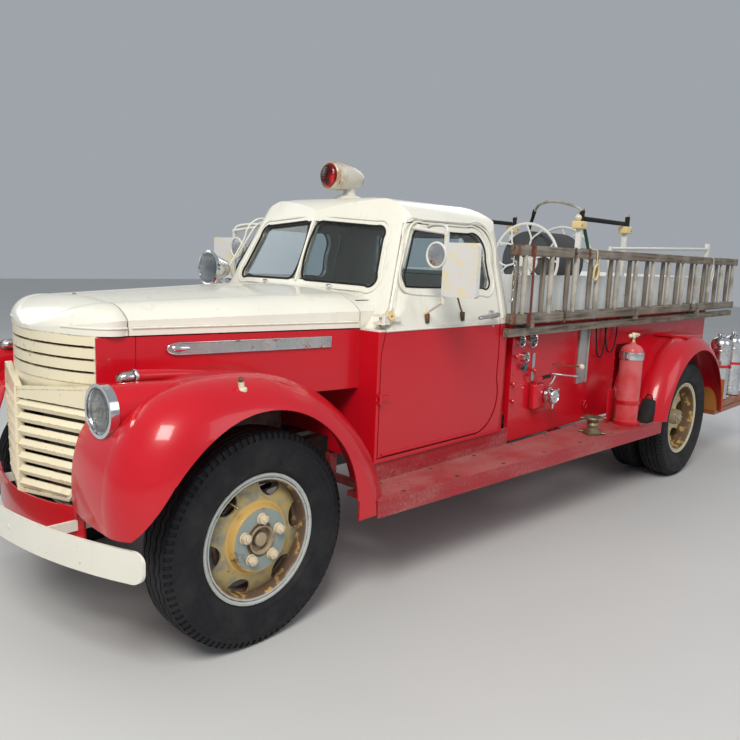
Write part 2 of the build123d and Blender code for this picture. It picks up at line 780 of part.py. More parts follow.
# Upper grille: bowed bars between two end posts
def grille_arc(z0, z1, depth_in, depth):
    x_end = HOOD_FRONT_X - 4
    y_end = HOOD_FRONT_HALF - SHEET_T - 3
    return slab_z(
        z0,
        z1,
        (x_end - depth_in, -y_end),
        (NOSE_X - 4 - depth_in, 0, x_end - depth_in, y_end),
        (x_end - depth_in - depth, y_end),
        (NOSE_X - 4 - depth_in - depth, 0, x_end - depth_in - depth, -y_end),
    )


def grille_upper():
    pitch = (GRILLE_TOP_Z - GRILLE_MID_Z + UPPER_SLOT) / UPPER_BARS
    pieces = []
    for i in range(UPPER_BARS):
        z0 = GRILLE_MID_Z + i * pitch
        pieces.append(grille_arc(z0, z0 + pitch - UPPER_SLOT, 0, BAR_DEPTH))
    pieces.append(grille_arc(GRILLE_MID_Z, GRILLE_TOP_Z, 14, 8) & block(HOOD_FRONT_X - 60, NOSE_X, -30, 30, 1000, 1400))
    for side in (1, -1):
        y = side * (HOOD_FRONT_HALF - SHEET_T - 3)
        post = block(HOOD_FRONT_X - 28, HOOD_FRONT_X - 4, y, y - side * 22, GRILLE_MID_Z, GRILLE_TOP_Z)
        pieces.append(post)
    return fuse(pieces)


nodes["grille_upper"] = grille_upper()

# Lower grille: a ship's prow of bent louvres in a frame, narrowing downwards, with a keel at its centre
PROW = [(1104, 402), (1050, 424), (1000, 428), (910, 386), (800, 352), (690, 342), (618, 296)]
PROW_BOTTOM_DROP = 10
LOUVRE_BEND = 15


def prow_outline(x0, x1, inset):
    """Front view of the lower grille, drawn as a plate across the vehicle."""
    right = [(-(w - inset), z) for z, w in PROW]
    left = [(w - inset, z) for z, w in PROW]
    top = PROW[0][0] - inset
    low = PROW[-1][0] + inset
    right[0] = (right[0][0], top)
    left[0] = (left[0][0], top)
    right[-1] = (right[-1][0], low)
    left[-1] = (left[-1][0], low)
    points = [(0, top - GRILLE_DIP)] + left + [(0, low - PROW_BOTTOM_DROP)] + right[::-1]
    return slab_x(x0, x1, points[0], *points[1:])


def prow_slab(front, depth):
    wide = 450
    x_front = KEEL_X - front
    drop = PROW_SLOPE * wide
    return slab_z(
        550,
        1150,
        (x_front, 0),
        (x_front - drop, wide),
        (x_front - drop - depth, wide),
        (x_front - depth, 0),
        (x_front - drop - depth, -wide),
        (x_front - drop, -wide),
    )


def louvre(z0, height):
    """Half louvre from the keel outwards, its face bent forward along the middle."""
    wide = 450
    drop = PROW_SLOPE * wide
    start = (KEEL_X - LOUVRE_BEND, 0)
    profile = make_face(
        Polyline(
            (start[0], 0, z0),
            (start[0] + LOUVRE_BEND, 0, z0 + height * 0.5),
            (start[0] - 2, 0, z0 + height),
            (start[0] - 8, 0, z0 + height),
            (start[0] + LOUVRE_BEND - 9, 0, z0 + height * 0.5),
            (start[0] - 7, 0, z0),
            (start[0], 0, z0),
        )
    )
    half = extrude(profile, amount=hypot(wide, drop), dir=(-drop, wide, 0))
    return half


def grille_lower():
    box_x0 = KEEL_X - 260
    box_x1 = KEEL_X + 20
    low = PROW[-1][0]
    high = PROW[0][0]
    pitch = (GRILLE_PANEL_Z - low) / LOUVRES
    bars = []
    for i in range(LOUVRES):
        half = louvre(low + i * pitch + LOUVRE_GAP / 2, pitch - LOUVRE_GAP)
        bars.append(half)
        bars.append(mirrored(half))
    bars = [bar & prow_outline(box_x0, box_x1, GRILLE_FRAME / 2) for bar in bars]
    panel = prow_slab(6, 12) & prow_outline(box_x0, box_x1, 0)
    panel = panel & block(box_x0, box_x1, -450, 450, GRILLE_PANEL_Z, high)
    frame = prow_slab(4, 30) & (prow_outline(box_x0, box_x1, 0) - prow_outline(box_x0 - 1, box_x1 + 1, GRILLE_FRAME))
    keel = slab_z(
        low - PROW_BOTTOM_DROP + 4,
        high - GRILLE_DIP - 2,
        (KEEL_X, 0),
        (KEEL_X - 6, KEEL_HALF),
        (KEEL_X - 34, KEEL_HALF),
        (KEEL_X - 34, -KEEL_HALF),
        (KEEL_X - 6, -KEEL_HALF),
    )
    return fuse([frame, panel, keel] + bars)


nodes["grille_lower"] = grille_lower()


# Front fenders: crowned shells over the wheels, with the headlamp pods faired into them
# Crest of the fender seen from the side, from the front's lower tip over the wheel to the tail
FENDER_CREST = [
    (FRONT_AXLE_X + 596, 430),
    (FRONT_AXLE_X + 632, 640),
    (FRONT_AXLE_X + 618, 870),
    (FRONT_AXLE_X + 520, 1050),
    (FRONT_AXLE_X + 340, 1140),
    (FRONT_AXLE_X + 100, 1162),
    (FRONT_AXLE_X - 180, 1122),
    (FRONT_AXLE_X - 430, 982),
    (FRONT_AXLE_X - 620, 782),
    (FRONT_AXLE_X - 715, 600),
    (FRONT_AXLE_X - 745, 430),
]
CREST_Y = 700
SHOULDER_FALL = 190
SHOULDER_END = 235


def fender_skin():
    """Crowned band with a rounded outer shoulder, swept along the crest, and the flat side of the tail."""
    t = SHEET_T
    out = FENDER_OUT_Y
    path = Spline([(x, 0, z) for x, z in FENDER_CREST])
    across = Plane(origin=path @ 0, x_dir=(0, 1, 0), z_dir=path % 0)

    def place(y, fall):
        return across.from_local_coords((y, fall, 0))

    band = face(
        place,
        (395, 30),
        (560, 6, CREST_Y, 0),
        (876, 52, out, SHOULDER_FALL),
        (out, SHOULDER_END),
        (out - t, SHOULDER_END),
        (out - t, SHOULDER_FALL),
        (876 - t * 0.7, 52 + t * 0.7, CREST_Y, t),
        (560, 6 + t, 395, 30 + t),
    )
    tail_side = slab_y(
        out - t,
        out,
        (FRONT_AXLE_X - 560, 430),
        (FRONT_AXLE_X - 430, 430),
        (FRONT_AXLE_X - 430, 700),
        (FRONT_AXLE_X - 470, 700),
        (FRONT_AXLE_X - 540, 600),
    )
    return sweep(band, path=path) + tail_side


def lamp_pod():
    """Torpedo behind a headlamp, ending in a dome on the fender."""
    start = Vector(HEADLAMP_X, HEADLAMP_Y, HEADLAMP_Z)
    axis = Vector(FRONT_AXLE_X + 150, 690, 1085) - start
    wide = HEADLAMP_R - 8
    end = axis.length
    profile = face(at_y(0), (0, 0), (wide, 0), (wide * 0.86, end * 0.5, 46, end), (40, end + 24, 22, end + 36), (0, end + 36))
    return Plane(origin=start, z_dir=axis) * revolve(profile, axis=Axis.Z)


PARK_X = FRONT_AXLE_X + 430
PARK_Y = 570
PARK_Z = 1160
PARK_R = 27
PARK_LENGTH = 300


def park_pod():
    """Spear behind a parking lamp, low on the fender's top."""
    start = Vector(PARK_X, PARK_Y, PARK_Z)
    axis = Vector(PARK_X - PARK_LENGTH, PARK_Y + 36, PARK_Z - 8) - start
    end = axis.length
    profile = face(at_y(0), (0, 0), (PARK_R, 0), (PARK_R * 0.8, end * 0.5, 9, end), (0, end))
    return Plane(origin=start, z_dir=axis) * revolve(profile, axis=Axis.Z)


LIP_X = FRONT_AXLE_X + 60
LIP_Z = 535
LIP_R = 505


def fender_front():
    f = FRONT_AXLE_X
    shell = fender_skin()
    opening = rod((LIP_X, 860, LIP_Z), (LIP_X, 1100, LIP_Z), LIP_R)
    opening = opening + slab_y(
        430,
        1100,
        (f - 455, 300),
        (f - 455, 560),
        (f + 330, 560 + 370),
        (f + 480, 820),
        (f + 600, 620),
        (f + 700, 600),
        (f + 700, 300),
    )
    shell = shell - opening
    floor_cut = block(f - 800, f + 800, 100, 1100, 300, 470)
    floor_cut = floor_cut + block(f + 400, f + 800, 100, 1100, 300, BUMPER_TOP_Z + 12)
    floor_cut = floor_cut + block(f - 800, BOARD_FRONT_X, 100, 1100, 300, BOARD_TOP_Z)
    shell = shell - floor_cut
    inner_cut = slab_z(
        300,
        1400,
        (f - 900, 0),
        (f + 900, 0),
        (f + 900, panel_line(f + 900)),
        (f - 900, panel_line(f - 900)),
    )
    shell = shell - inner_cut
    shell = shell + (lamp_pod() - inner_cut) + (park_pod() - inner_cut)
    shell = shell - rod((HEADLAMP_X, HEADLAMP_Y, HEADLAMP_Z), (f + 700, HEADLAMP_Y, HEADLAMP_Z), HEADLAMP_R + FIT)
    return shell - prow_outline(KEEL_X - 400, KEEL_X + 100, 0)


fender_left = fender_front()
VALANCE_Z0 = 470


def valance():
    f = FRONT_AXLE_X
    skin = slab_z(
        VALANCE_Z0,
        PROW[-1][0] - PROW_BOTTOM_DROP + 16,
        (f + 575, -430),
        (f + 655, 0, f + 575, 430),
        (f + 575 - SHEET_T, 430),
        (f + 655 - SHEET_T, 0, f + 575 - SHEET_T, -430),
    )
    return skin - prow_outline(KEEL_X - 400, KEEL_X + 100, 0)


nodes["valance"] = valance() - nodes["bumper"] - fender_left - mirrored(fender_left)


# Lamps at the front: bright rings with lenses, and small parking lamps on the fenders
def headlamp_rings():
    ring = rod((HEADLAMP_X + FIT, HEADLAMP_Y, HEADLAMP_Z), (HEADLAMP_X + 34, HEADLAMP_Y, HEADLAMP_Z), HEADLAMP_R)
    ring = ring - rod((HEADLAMP_X + 12, HEADLAMP_Y, HEADLAMP_Z), (HEADLAMP_X + 40, HEADLAMP_Y, HEADLAMP_Z), HEADLAMP_R - 14)
    return ring


def headlamp_lens():
    r = HEADLAMP_R - 14 - FIT
    profile = face(at_y(0), (12 + FIT, 0), (12 + FIT, r), (22, r), (33, r * 0.5, 37, 5), (37, 0))
    return Pos(HEADLAMP_X, HEADLAMP_Y, HEADLAMP_Z) * revolve(profile, axis=Axis.X)


nodes["headlamp_rings"] = both_sides(headlamp_rings())
nodes["headlamp_lenses"] = both_sides(headlamp_lens())


# Cab: a lower tub and a tapering upper half with a crowned roof
def cab_lower(inset):
    tub = block(CAB_REAR_X + inset, CAB_FRONT_X - inset, -CAB_HALF + inset, CAB_HALF - inset, 300, BELT_Z)
    rear = tub.edges().filter_by(Axis.Z).group_by(Axis.X)[0]
    tub = fillet(rear, 130 - inset)
    front = tub.edges().filter_by(Axis.Z).group_by(Axis.X)[-1]
    return fillet(front, 8)


def corner_arc(before, corner, after):
    """Middle and end of an arc that rounds a corner between two points at equal distances from it."""
    blend = 1 - sqrt(0.5)
    mid = tuple(c + (p - c + q - c) * blend for p, c, q in zip(before, corner, after))
    return (*mid, *after)


def cab_plan(z, x_mid, x_corner, half, x_rear, inset, front_r):
    """Plan of the cab at one height: pointed front, rounded corners, flat sides and back."""
    x_mid = x_mid - inset
    x_corner = x_corner - inset
    x_rear = x_rear + inset
    half = half - inset
    slope = (x_mid - x_corner) / half
    front_r = front_r - inset / 2
    rear_r = 130 - inset
    front = (x_corner + front_r * slope, half - front_r)
    steps = [front, corner_arc(front, (x_corner, half), (x_corner - front_r, half))]
    steps.append((x_rear + rear_r, half))
    steps.append(corner_arc((x_rear + rear_r, half), (x_rear, half), (x_rear, half - rear_r)))
    steps.append((x_rear, -half + rear_r))
    steps.append(corner_arc((x_rear, -half + rear_r), (x_rear, -half), (x_rear + rear_r, -half)))
    steps.append((x_corner - front_r, -half))
    steps.append(corner_arc((x_corner - front_r, -half), (x_corner, -half), (front[0], -front[1])))
    return face(at_z(z), (x_mid, 0), *steps)


SHOULDER_Z = 1400


def cab_upper(inset):
    """Upper half between the belt and the roof, drawn in towards the top."""
    f = FRONT_AXLE_X
    low = cab_plan(BELT_Z, f - 775, f - 790, CAB_HALF, CAB_REAR_X, inset, 45)
    shoulder = cab_plan(SHOULDER_Z, f - 832, f - 880, CAB_HALF - 22, CAB_REAR_X + 4, inset, 90)
    top = cab_plan(CAB_TOP_Z, f - 1056, f - 1165, 590, CAB_REAR_X + 30, inset, 90)
    return loft([low, shoulder], ruled=True) + loft([shoulder, top], ruled=True)


def roof_former(inset):
    f = FRONT_AXLE_X
    side = slab_y(
        -900,
        900,
        (f - 600, 300),
        (f - 600, 1800),
        (f - 985 - inset, 1840 - inset),
        (f - 1065, 1932 - inset, f - 1230, 1962 - inset),
        (f - 1480, 1988 - inset, f - 1700, 1962 - inset),
        (f - 1895 + inset, 1880 - inset, CAB_REAR_X + inset, 1690),
        (CAB_REAR_X + inset, 300),
    )
    across = slab_x(
        f - 2200,
        f - 500,
        (-900, 300),
        (900, 300),
        (900, 1690),
        (664 - inset, 1690),
        (598 - inset, 1868 - inset, 370 - inset, 1955 - inset),
        (0, 1990 - inset, -370 + inset, 1955 - inset),
        (-598 + inset, 1868 - inset, -664 + inset, 1690),
        (-900, 1690),
    )
    return side & across


def cab_form(inset):
    return (cab_lower(inset) + cab_upper(inset)) & roof_former(inset)


COWL_TOP_Z = HOOD_REAR_CROWN_Z


def cowl(inset):
    """Cowl between the hood's rear edge and the windshield."""
    x0 = FRONT_AXLE_X - 900
    x1 = CAB_FRONT_X - inset
    half = hood_section(x0, HOOD_REAR_HALF, HOOD_REAR_CROWN_Z, inset)
    side = extrude(half, amount=x1 - x0, dir=(1, 0, 0))
    return side + mirrored(side)


def side_keep(depth):
    """Everything outside a surface this deep under the cab's side."""
    return slab_x(
        CAB_REAR_X - 100,
        CAB_FRONT_X + 100,
        (CAB_HALF - depth, 300),
        (CAB_HALF - depth, BELT_Z),
        (CAB_HALF - 22 - depth, SHOULDER_Z),
        (590 - depth, CAB_TOP_Z),
        (1000, CAB_TOP_Z),
        (1000, 300),
    )


cab_outer = cab_form(0)
cab_inner = cab_form(CAB_WALL)


def door_prism(grow):
    """Side view of the door, grown or shrunk all round."""
    f = FRONT_AXLE_X
    g = grow
    r = grow * 1.8
    outline = slab_y(
        350,
        900,
        (f - 775 + g, 662 - g),
        (f - 775 + g, 1180),
        (f - 818 + g, 1352),
        (f - 1025 + g, 1730 + g),
        (f - 1075, 1812 + g, f - 1165, 1822 + g),
        (f - 1610, 1826 + g),
        (f - 1755 - r, 1795 + g, f - 1780 - r, 1640),
        (f - 1786 - r, 1100),
        (f - 1782 - r, 960),
        (f - 1755 - r, 745 - g, f - 1590, 662 - g),
    )
    return outline & side_keep(CAB_WALL + g + 3)


def side_window(grow):
    f = FRONT_AXLE_X
    g = grow
    return slab_y(
        560,
        900,
        (f - 990 + g, 1500 - g),
        (f - 984 + g, 1545, f - 1010 + g, 1600),
        (f - 1095 + g, 1755),
        (f - 1116 + g, 1782 + g, f - 1180, 1790 + g),
        (f - 1580, 1790 + g),
        (f - 1690 - g, 1770 + g, f - 1715 - g, 1650),
        (f - 1722 - g, 1560),
        (f - 1715 - g, 1500 - g, f - 1650, 1495 - g),
    )


def front_pane(grow):
    """Front view of one windshield pane, left half."""
    g = grow
    return slab_x(
        FRONT_AXLE_X - 1150,
        FRONT_AXLE_X - 700,
        (14 - g, 1506 - g),
        (495 + g, 1500 - g),
        (540 + g, 1500 - g, 545 + g, 1560),
        (505 + g, 1740),
        (495 + g, 1790 + g, 440, 1805 + g),
        (14 - g, 1832 + g),
    )


def rear_pane(grow):
    g = grow
    return slab_x(
        CAB_REAR_X - 100,
        CAB_REAR_X + 200,
        (-330 - g, 1540 - g),
        (330 + g, 1540 - g),
        (380 + g, 1545 - g, 380 + g, 1600),
        (370 + g, 1720),
        (360 + g, 1775 + g, 300, 1780 + g),
        (-300, 1780 + g),
        (-360 - g, 1775 + g, -370 - g, 1720),
        (-380 - g, 1600),
        (-380 - g, 1545 - g, -330 - g, 1540 - g),
    )


cab_skin = cab_outer - cab_inner
door_outline = door_prism(0)


def hinge_lugs(z):
    """Fixed lugs above and below a door's knuckle, with the pin through them."""
    x = DOOR_HINGE_X
    y = DOOR_HINGE_Y
    x0 = x - 2 if z < BELT_Z else FRONT_AXLE_X - 811
    inner_y = CAB_HALF - 20 if z < BELT_Z else CAB_HALF - 45
    half = DOOR_KNUCKLE_H / 2 + FIT
    pieces = [rod((x, y, z - half - 12), (x, y, z + half + 12), DOOR_PIN_R)]
    for z0 in (z - half - 12, z + half):
        pieces.append(rod((x, y, z0), (x, y, z0 + 12), DOOR_KNUCKLE_R))
        pieces.append(block(x0, CAB_FRONT_X, inner_y, y, z0, z0 + 12))
    return fuse(pieces)


def hinge_leaf(z):
    """Knuckle and strap on the door."""
    x = DOOR_HINGE_X
    y = DOOR_HINGE_Y
    half = DOOR_KNUCKLE_H / 2
    reach = 70 if z < BELT_Z else 130
    skin_y = CAB_HALF if z < BELT_Z else CAB_HALF - 20
    leaf = rod((x, y, z - half), (x, y, z + half), DOOR_KNUCKLE_R)
    leaf = leaf + block(x - reach, x, skin_y, y - 2, z - half, z + half)
    return leaf - rod((x, y, z - half - 1), (x, y, z + half + 1), DOOR_PIN_R + FIT)


def cab_shell():
    cowl_shell = (cowl(0) & block(CAB_REAR_X, CAB_FRONT_X, -900, 900, BELT_Z - 300, 1600)) - cab_inner
    shell = cab_skin + (cowl_shell - block(0, CAB_FRONT_X - 30, -560, 560, 900, 1430))
    shell = shell - block(CAB_REAR_X - 50, CAB_FRONT_X + 50, -900, 900, 200, CAB_BOTTOM_Z)
    opening = door_prism(DOOR_GAP)
    shell = shell - opening - mirrored(opening)
    shell = shell - front_pane(0) - mirrored(front_pane(0)) - rear_pane(0)
    inner_half = CAB_HALF - CAB_WALL
    floor = block(CAB_REAR_X + 5, CAB_FRONT_X - 5, -inner_half + 12, inner_half - 12, FLOOR_Z, FLOOR_Z + FLOOR_T)
    under = block(CAB_REAR_X + CAB_WALL, CAB_FRONT_X - CAB_WALL, -inner_half, inner_half, 200, FLOOR_Z)
    tunnel = block(CAB_REAR_X - 60, CAB_FRONT_X + 60, -(RAIL_Y + 20), RAIL_Y + 20, 200, FLOOR_Z)
    shell = shell + (floor - opening - mirrored(opening)) - under - tunnel
    for z in DOOR_HINGES_Z:
        shell = shell + hinge_lugs(z) + mirrored(hinge_lugs(z))
    return shell


nodes["cab_shell"] = cab_shell()


def door():
    panel = cab_skin & door_outline
    return fuse([panel - side_window(0)] + [hinge_leaf(z) for z in DOOR_HINGES_Z])


nodes["door_left"] = door()
nodes["door_right"] = mirrored(nodes["door_left"])


def side_glass():
    """Flat pane set a little inside the cab's side."""
    low_y = CAB_HALF - 22 - GLASS_IN
    top_y = 590 - GLASS_IN
    layer = slab_x(
        CAB_REAR_X,
        CAB_FRONT_X,
        (low_y, SHOULDER_Z),
        (top_y, CAB_TOP_Z),
        (top_y - GLASS_T, CAB_TOP_Z),
        (low_y - GLASS_T, SHOULDER_Z),
    )
    return layer & side_window(0)


def front_glass():
    """Pane of the windshield's left half, parallel to the cab's front."""
    f = FRONT_AXLE_X
    rows = [(SHOULDER_Z, f - 832, f - 880, CAB_HALF - 22), (CAB_TOP_Z, f - 1056, f - 1165, 590)]
    sections = []
    for z, x_mid, x_corner, half in rows:
        x_mid = x_mid - GLASS_IN
        x_corner = x_corner - GLASS_IN
        sections.append(
            face(
                at_z(z),
                (x_mid, 0),
                (x_corner, half),
                (x_corner - GLASS_T, half),
                (x_mid - GLASS_T, 0),
            )
        )
    return loft(sections, ruled=True) & front_pane(0)


def rear_glass():
    low_x = CAB_REAR_X + 4 + GLASS_IN
    top_x = CAB_REAR_X + 30 + GLASS_IN
    layer = slab_y(
        -CAB_HALF,
        CAB_HALF,
        (low_x, SHOULDER_Z),
        (top_x, CAB_TOP_Z),
        (top_x + GLASS_T, CAB_TOP_Z),
        (low_x + GLASS_T, SHOULDER_Z),
    )
    return layer & rear_pane(0)


nodes["door_glass_left"] = side_glass()
nodes["door_glass_right"] = mirrored(nodes["door_glass_left"])
nodes["windshield"] = both_sides(front_glass())
nodes["rear_glass"] = rear_glass()

# Cab inside: bench seat, dash with the steering column, and the steering wheel
SEAT_X0 = CAB_REAR_X + CAB_WALL + 12
SEAT_HALF = 600
SEAT_Z = 1010


def seat():
    base = block(SEAT_X0, SEAT_X0 + 470, -SEAT_HALF, SEAT_HALF, FLOOR_Z + FLOOR_T, SEAT_Z - 140)
    cushion = fillet(
        block(SEAT_X0 + 60, SEAT_X0 + 500, -SEAT_HALF, SEAT_HALF, SEAT_Z - 140, SEAT_Z).edges().filter_by(Axis.Y), 40
    )
    back = slab_y(
        -SEAT_HALF,
        SEAT_HALF,
        (SEAT_X0, SEAT_Z - 140),
        (SEAT_X0 + 150, SEAT_Z - 140),
        (SEAT_X0 + 110, SEAT_Z + 400),
        (SEAT_X0 + 55, SEAT_Z + 440, SEAT_X0, SEAT_Z + 400),
    )
    return fuse([base, cushion, back])


nodes["seat"] = seat()

WHEEL_CENTRE = (FRONT_AXLE_X - 1230, 340, 1330)
COLUMN_LEAN = 34
STEERING_R = 208
STEERING_TUBE = 12


def column_point(distance):
    """Point on the column's axis, measured down from the steering wheel's centre."""
    return (
        WHEEL_CENTRE[0] + distance * sin(radians(COLUMN_LEAN)),
        WHEEL_CENTRE[1],
        WHEEL_CENTRE[2] - distance * cos(radians(COLUMN_LEAN)),
    )


def dash():
    f = FRONT_AXLE_X
    half = 625
    panel = slab_y(
        -half,
        half,
        (f - 900, 1290),
        (f - 1000, 1300),
        (f - 1010, 1420),
        (f - 985, 1450, f - 900, 1460),
        (f - 870, 1440),
        (f - 870, 1300),
    )
    length = (WHEEL_CENTRE[2] - FLOOR_Z - FLOOR_T) / cos(radians(COLUMN_LEAN))
    column = rod(column_point(30 + FIT), column_point(length - 4), 22)
    bracket = block(f - 1010, f - 870, WHEEL_CENTRE[1] - 20, WHEEL_CENTRE[1] + 20, 1200, 1300)
    return (panel + bracket) - cab_skin, column


dash_panel, column = dash()
nodes["dash"] = (dash_panel + column) - nodes["cab_shell"]


def steering_wheel():
    plane = Plane(origin=WHEEL_CENTRE, z_dir=(-sin(radians(COLUMN_LEAN)), 0, cos(radians(COLUMN_LEAN))))
    ring = Torus(STEERING_R, STEERING_TUBE)
    hub = Pos(0, 0, -12) * Cylinder(36, 36)
    spokes = [Rot(0, 0, 90 + 120 * i) * Pos(STEERING_R / 2, 0, -4) * Box(STEERING_R - 4, 22, 10) for i in range(3)]
    return plane * fuse([ring, hub] + spokes)


nodes["steering_wheel"] = steering_wheel()


# Running boards on brackets from the frame, with the sills under the cab and body
def running_board():
    slab = slab_z(
        BOARD_TOP_Z - BOARD_T,
        BOARD_TOP_Z,
        (BOARD_FRONT_X, SILL_Y),
        (BOARD_FRONT_X, BOARD_FRONT_Y),
        (BOARD_REAR_X, BOARD_REAR_Y),
        (BOARD_REAR_X, SILL_Y),
    )
    skirt = slab_z(
        BOARD_TOP_Z - BOARD_SKIRT,
        BOARD_TOP_Z - 1,
        (BOARD_FRONT_X, BOARD_FRONT_Y),
        (BOARD_REAR_X, BOARD_REAR_Y),
        (BOARD_REAR_X, BOARD_REAR_Y - SHEET_T),
        (BOARD_FRONT_X, BOARD_FRONT_Y - SHEET_T),
    )
    pieces = [slab, skirt]
    for x in (BOARD_FRONT_X - 200, 700, -250, BOARD_REAR_X + 120):
        pieces.append(block(x - 22, x + 22, RAIL_Y, BOARD_FRONT_Y - 40, BOARD_TOP_Z - BOARD_T - 34, BOARD_TOP_Z - BOARD_T))
        pieces.append(block(x - 22, x + 22, RAIL_Y, RAIL_Y + 40, BOARD_TOP_Z - BOARD_T - 34, RAIL_Z0 + 90))
    sill_x1 = FRONT_AXLE_X - 755
    pieces.append(block(CAB_REAR_X, sill_x1, SILL_Y - 20, SILL_Y, BOARD_TOP_Z - BOARD_T, CAB_BOTTOM_Z))
    pieces.append(block(CAB_REAR_X, sill_x1, SILL_Y - 20, SILL_Y + 4, BOARD_TOP_Z - BOARD_T, BOARD_TOP_Z))
    return fuse(pieces)


board_left = running_board()
nodes["running_boards"] = both_sides(board_left)
nodes["fenders_front"] = both_sides(fender_left)


# Lower body: walled box with the pump room in front and a house over each pair of rear wheels
def body_lower():
    w = BODY_WALL
    outer = block(BODY_REAR_X, BODY_FRONT_X, -BODY_HALF, BODY_HALF, BODY_BOTTOM_Z, BED_BOTTOM_Z)
    inner = block(BODY_REAR_X + w, BODY_FRONT_X - w, -BODY_HALF + w, BODY_HALF - w, RAIL_Z1 + w, BED_BOTTOM_Z + 1)
    shell = outer - inner
    under = block(BODY_REAR_X - 1, BODY_FRONT_X + 1, -BODY_HALF + w, BODY_HALF - w, BODY_BOTTOM_Z - 1, RAIL_Z1)
    shell = shell - under
    arch_z0 = 1060
    x0 = REAR_AXLE_X - WHEELHOUSE_R
    x1 = REAR_AXLE_X + WHEELHOUSE_R
    for side in (1, -1):
        y_in = side * WHEELHOUSE_Y
        y_out = side * (BODY_HALF + 5)
        shell = shell + block(x0 - w, x1 + w, y_in - side * w, side * (BODY_HALF - 2), RAIL_Z1 + 2, arch_z0 + w)
        shell = shell - block(x0, x1, y_in, y_out, BODY_BOTTOM_Z - 5, arch_z0)
    return shell


nodes["body_lower"] = body_lower()


def hose_bed():
    w = 22
    x0 = BODY_REAR_X
    x1 = BODY_FRONT_X - 70
    outer = block(x0, x1, -BED_HALF, BED_HALF, BED_BOTTOM_Z, BED_TOP_Z)
    inner = block(x0 + w, x1 - w, -BED_HALF + w, BED_HALF - w, BED_BOTTOM_Z + w, BED_TOP_Z + 1)
    deck = block(x0, BODY_FRONT_X, -BODY_HALF, BODY_HALF, BED_BOTTOM_Z, BED_BOTTOM_Z + w)
    return (outer - inner) + deck


nodes["hose_bed"] = hose_bed()


# Rear fenders: turned sections round the axle's line, with a flat step plate on top
def rear_fender():
    centre = Pos(REAR_AXLE_X, 0, 430)
    t = SHEET_T
    ring = turned(
        (REAR_FENDER_R, BODY_HALF),
        (REAR_FENDER_R, 930),
        (REAR_FENDER_R - 22, 1085, REAR_LIP_R, REAR_FENDER_Y),
        (REAR_LIP_R, REAR_FENDER_Y - t),
        (REAR_FENDER_R - 22 - t, 1085 - t, REAR_FENDER_R - t, 930),
        (REAR_FENDER_R - t, BODY_HALF),
    )
    ring = centre * ring
    keep = block(REAR_AXLE_X - 800, REAR_AXLE_X + 800, BODY_HALF, 1200, BOARD_TOP_Z, 1300)
    keep = keep + block(REAR_AXLE_X - 800, REAR_AXLE_X, BODY_HALF, 1200, 455, 1300)
    ring = ring & keep
    return ring


nodes["rear_fenders"] = both_sides(rear_fender())


# Rear step across the tail, hung from the frame, with side steps beside the body's end
def tailboard():
    z1 = TAIL_STEP_Z
    z0 = z1 - TAIL_STEP_T
    front = BODY_REAR_X + 520
    plate = block(TAIL_X, BODY_REAR_X, -TAIL_STEP_HALF, TAIL_STEP_HALF, z0, z1)
    pieces = [plate]
    for side in (1, -1):
        pieces.append(block(BODY_REAR_X - 1, front, side * (BODY_HALF + 30), side * TAIL_STEP_HALF, z0, z1))
        for x in (BODY_REAR_X - 50, RAIL_REAR_X + 40):
            pieces.append(block(x - 20, x + 20, side * (RAIL_Y - RAIL_FLANGE + 5), side * RAIL_Y, z1 - 1, RAIL_Z0))
        y0 = side * RAIL_Y
        y1 = side * (BODY_HALF + 60)
        pieces.append(block(BODY_REAR_X + 180, BODY_REAR_X + 230, y0, y1, z0 + 5, z1 - 5))
        pieces.append(block(BODY_REAR_X + 180, BODY_REAR_X + 230, y0, y0 + side * 30, z0 + 5, RAIL_Z0 + 60))
    return fuse(pieces)


nodes["tailboard"] = tailboard()


# Ladders on the left side, lying on edge: two stringers and the rungs between them
def ladder(y, front_x, length):
    rear_x = front_x - length
    pieces = []
    for z1 in (LADDER_TOP_Z, LADDER_LOW_Z):
        pieces.append(block(rear_x, front_x, y - STRINGER_T / 2, y + STRINGER_T / 2, z1 - STRINGER_H, z1))
    for i in range(RUNGS):
        x = front_x - 110 - i * RUNG_PITCH
        pieces.append(rod((x, y, LADDER_LOW_Z - 5), (x, y, LADDER_TOP_Z - STRINGER_H + 5), RUNG_R))
    return fuse(pieces)


nodes["ladders"] = [
    ladder(LADDER_Y[1], LADDER_FRONT_X, LADDER_LENGTH),
    ladder(LADDER_Y[0], LADDER_FRONT_X - 60, LADDER_LENGTH - 30),
]
LADDER_RACK_X = [BODY_FRONT_X - 30, BODY_FRONT_X - 1500, BODY_FRONT_X - 2750]
RACK_Z = LADDER_LOW_Z - STRINGER_H


def ladder_rack():
    pieces = [block(LADDER_FRONT_X - 3900, LADDER_FRONT_X, BODY_HALF + 38, BODY_HALF + 78, RACK_Z - 72, RACK_Z - 25)]
    for x in LADDER_RACK_X:
        pieces.append(block(x - 20, x + 20, BODY_HALF, LADDER_Y[1] + 24, RACK_Z - 25, RACK_Z))
        pieces.append(block(x - 20, x + 20, BODY_HALF, BODY_HALF + 38, RACK_Z - 70, RACK_Z))
        pieces.append(block(x - 20, x + 20, LADDER_Y[1] + 16, LADDER_Y[1] + 24, RACK_Z, RACK_Z + 60))
    return fuse(pieces)


nodes["ladder_rack"] = ladder_rack()

# Hand rails along the bed's top edges, each on flat posts
HANDRAIL_Z = 1800
HANDRAIL_Y = BED_HALF - 11
HANDRAIL_R = 14


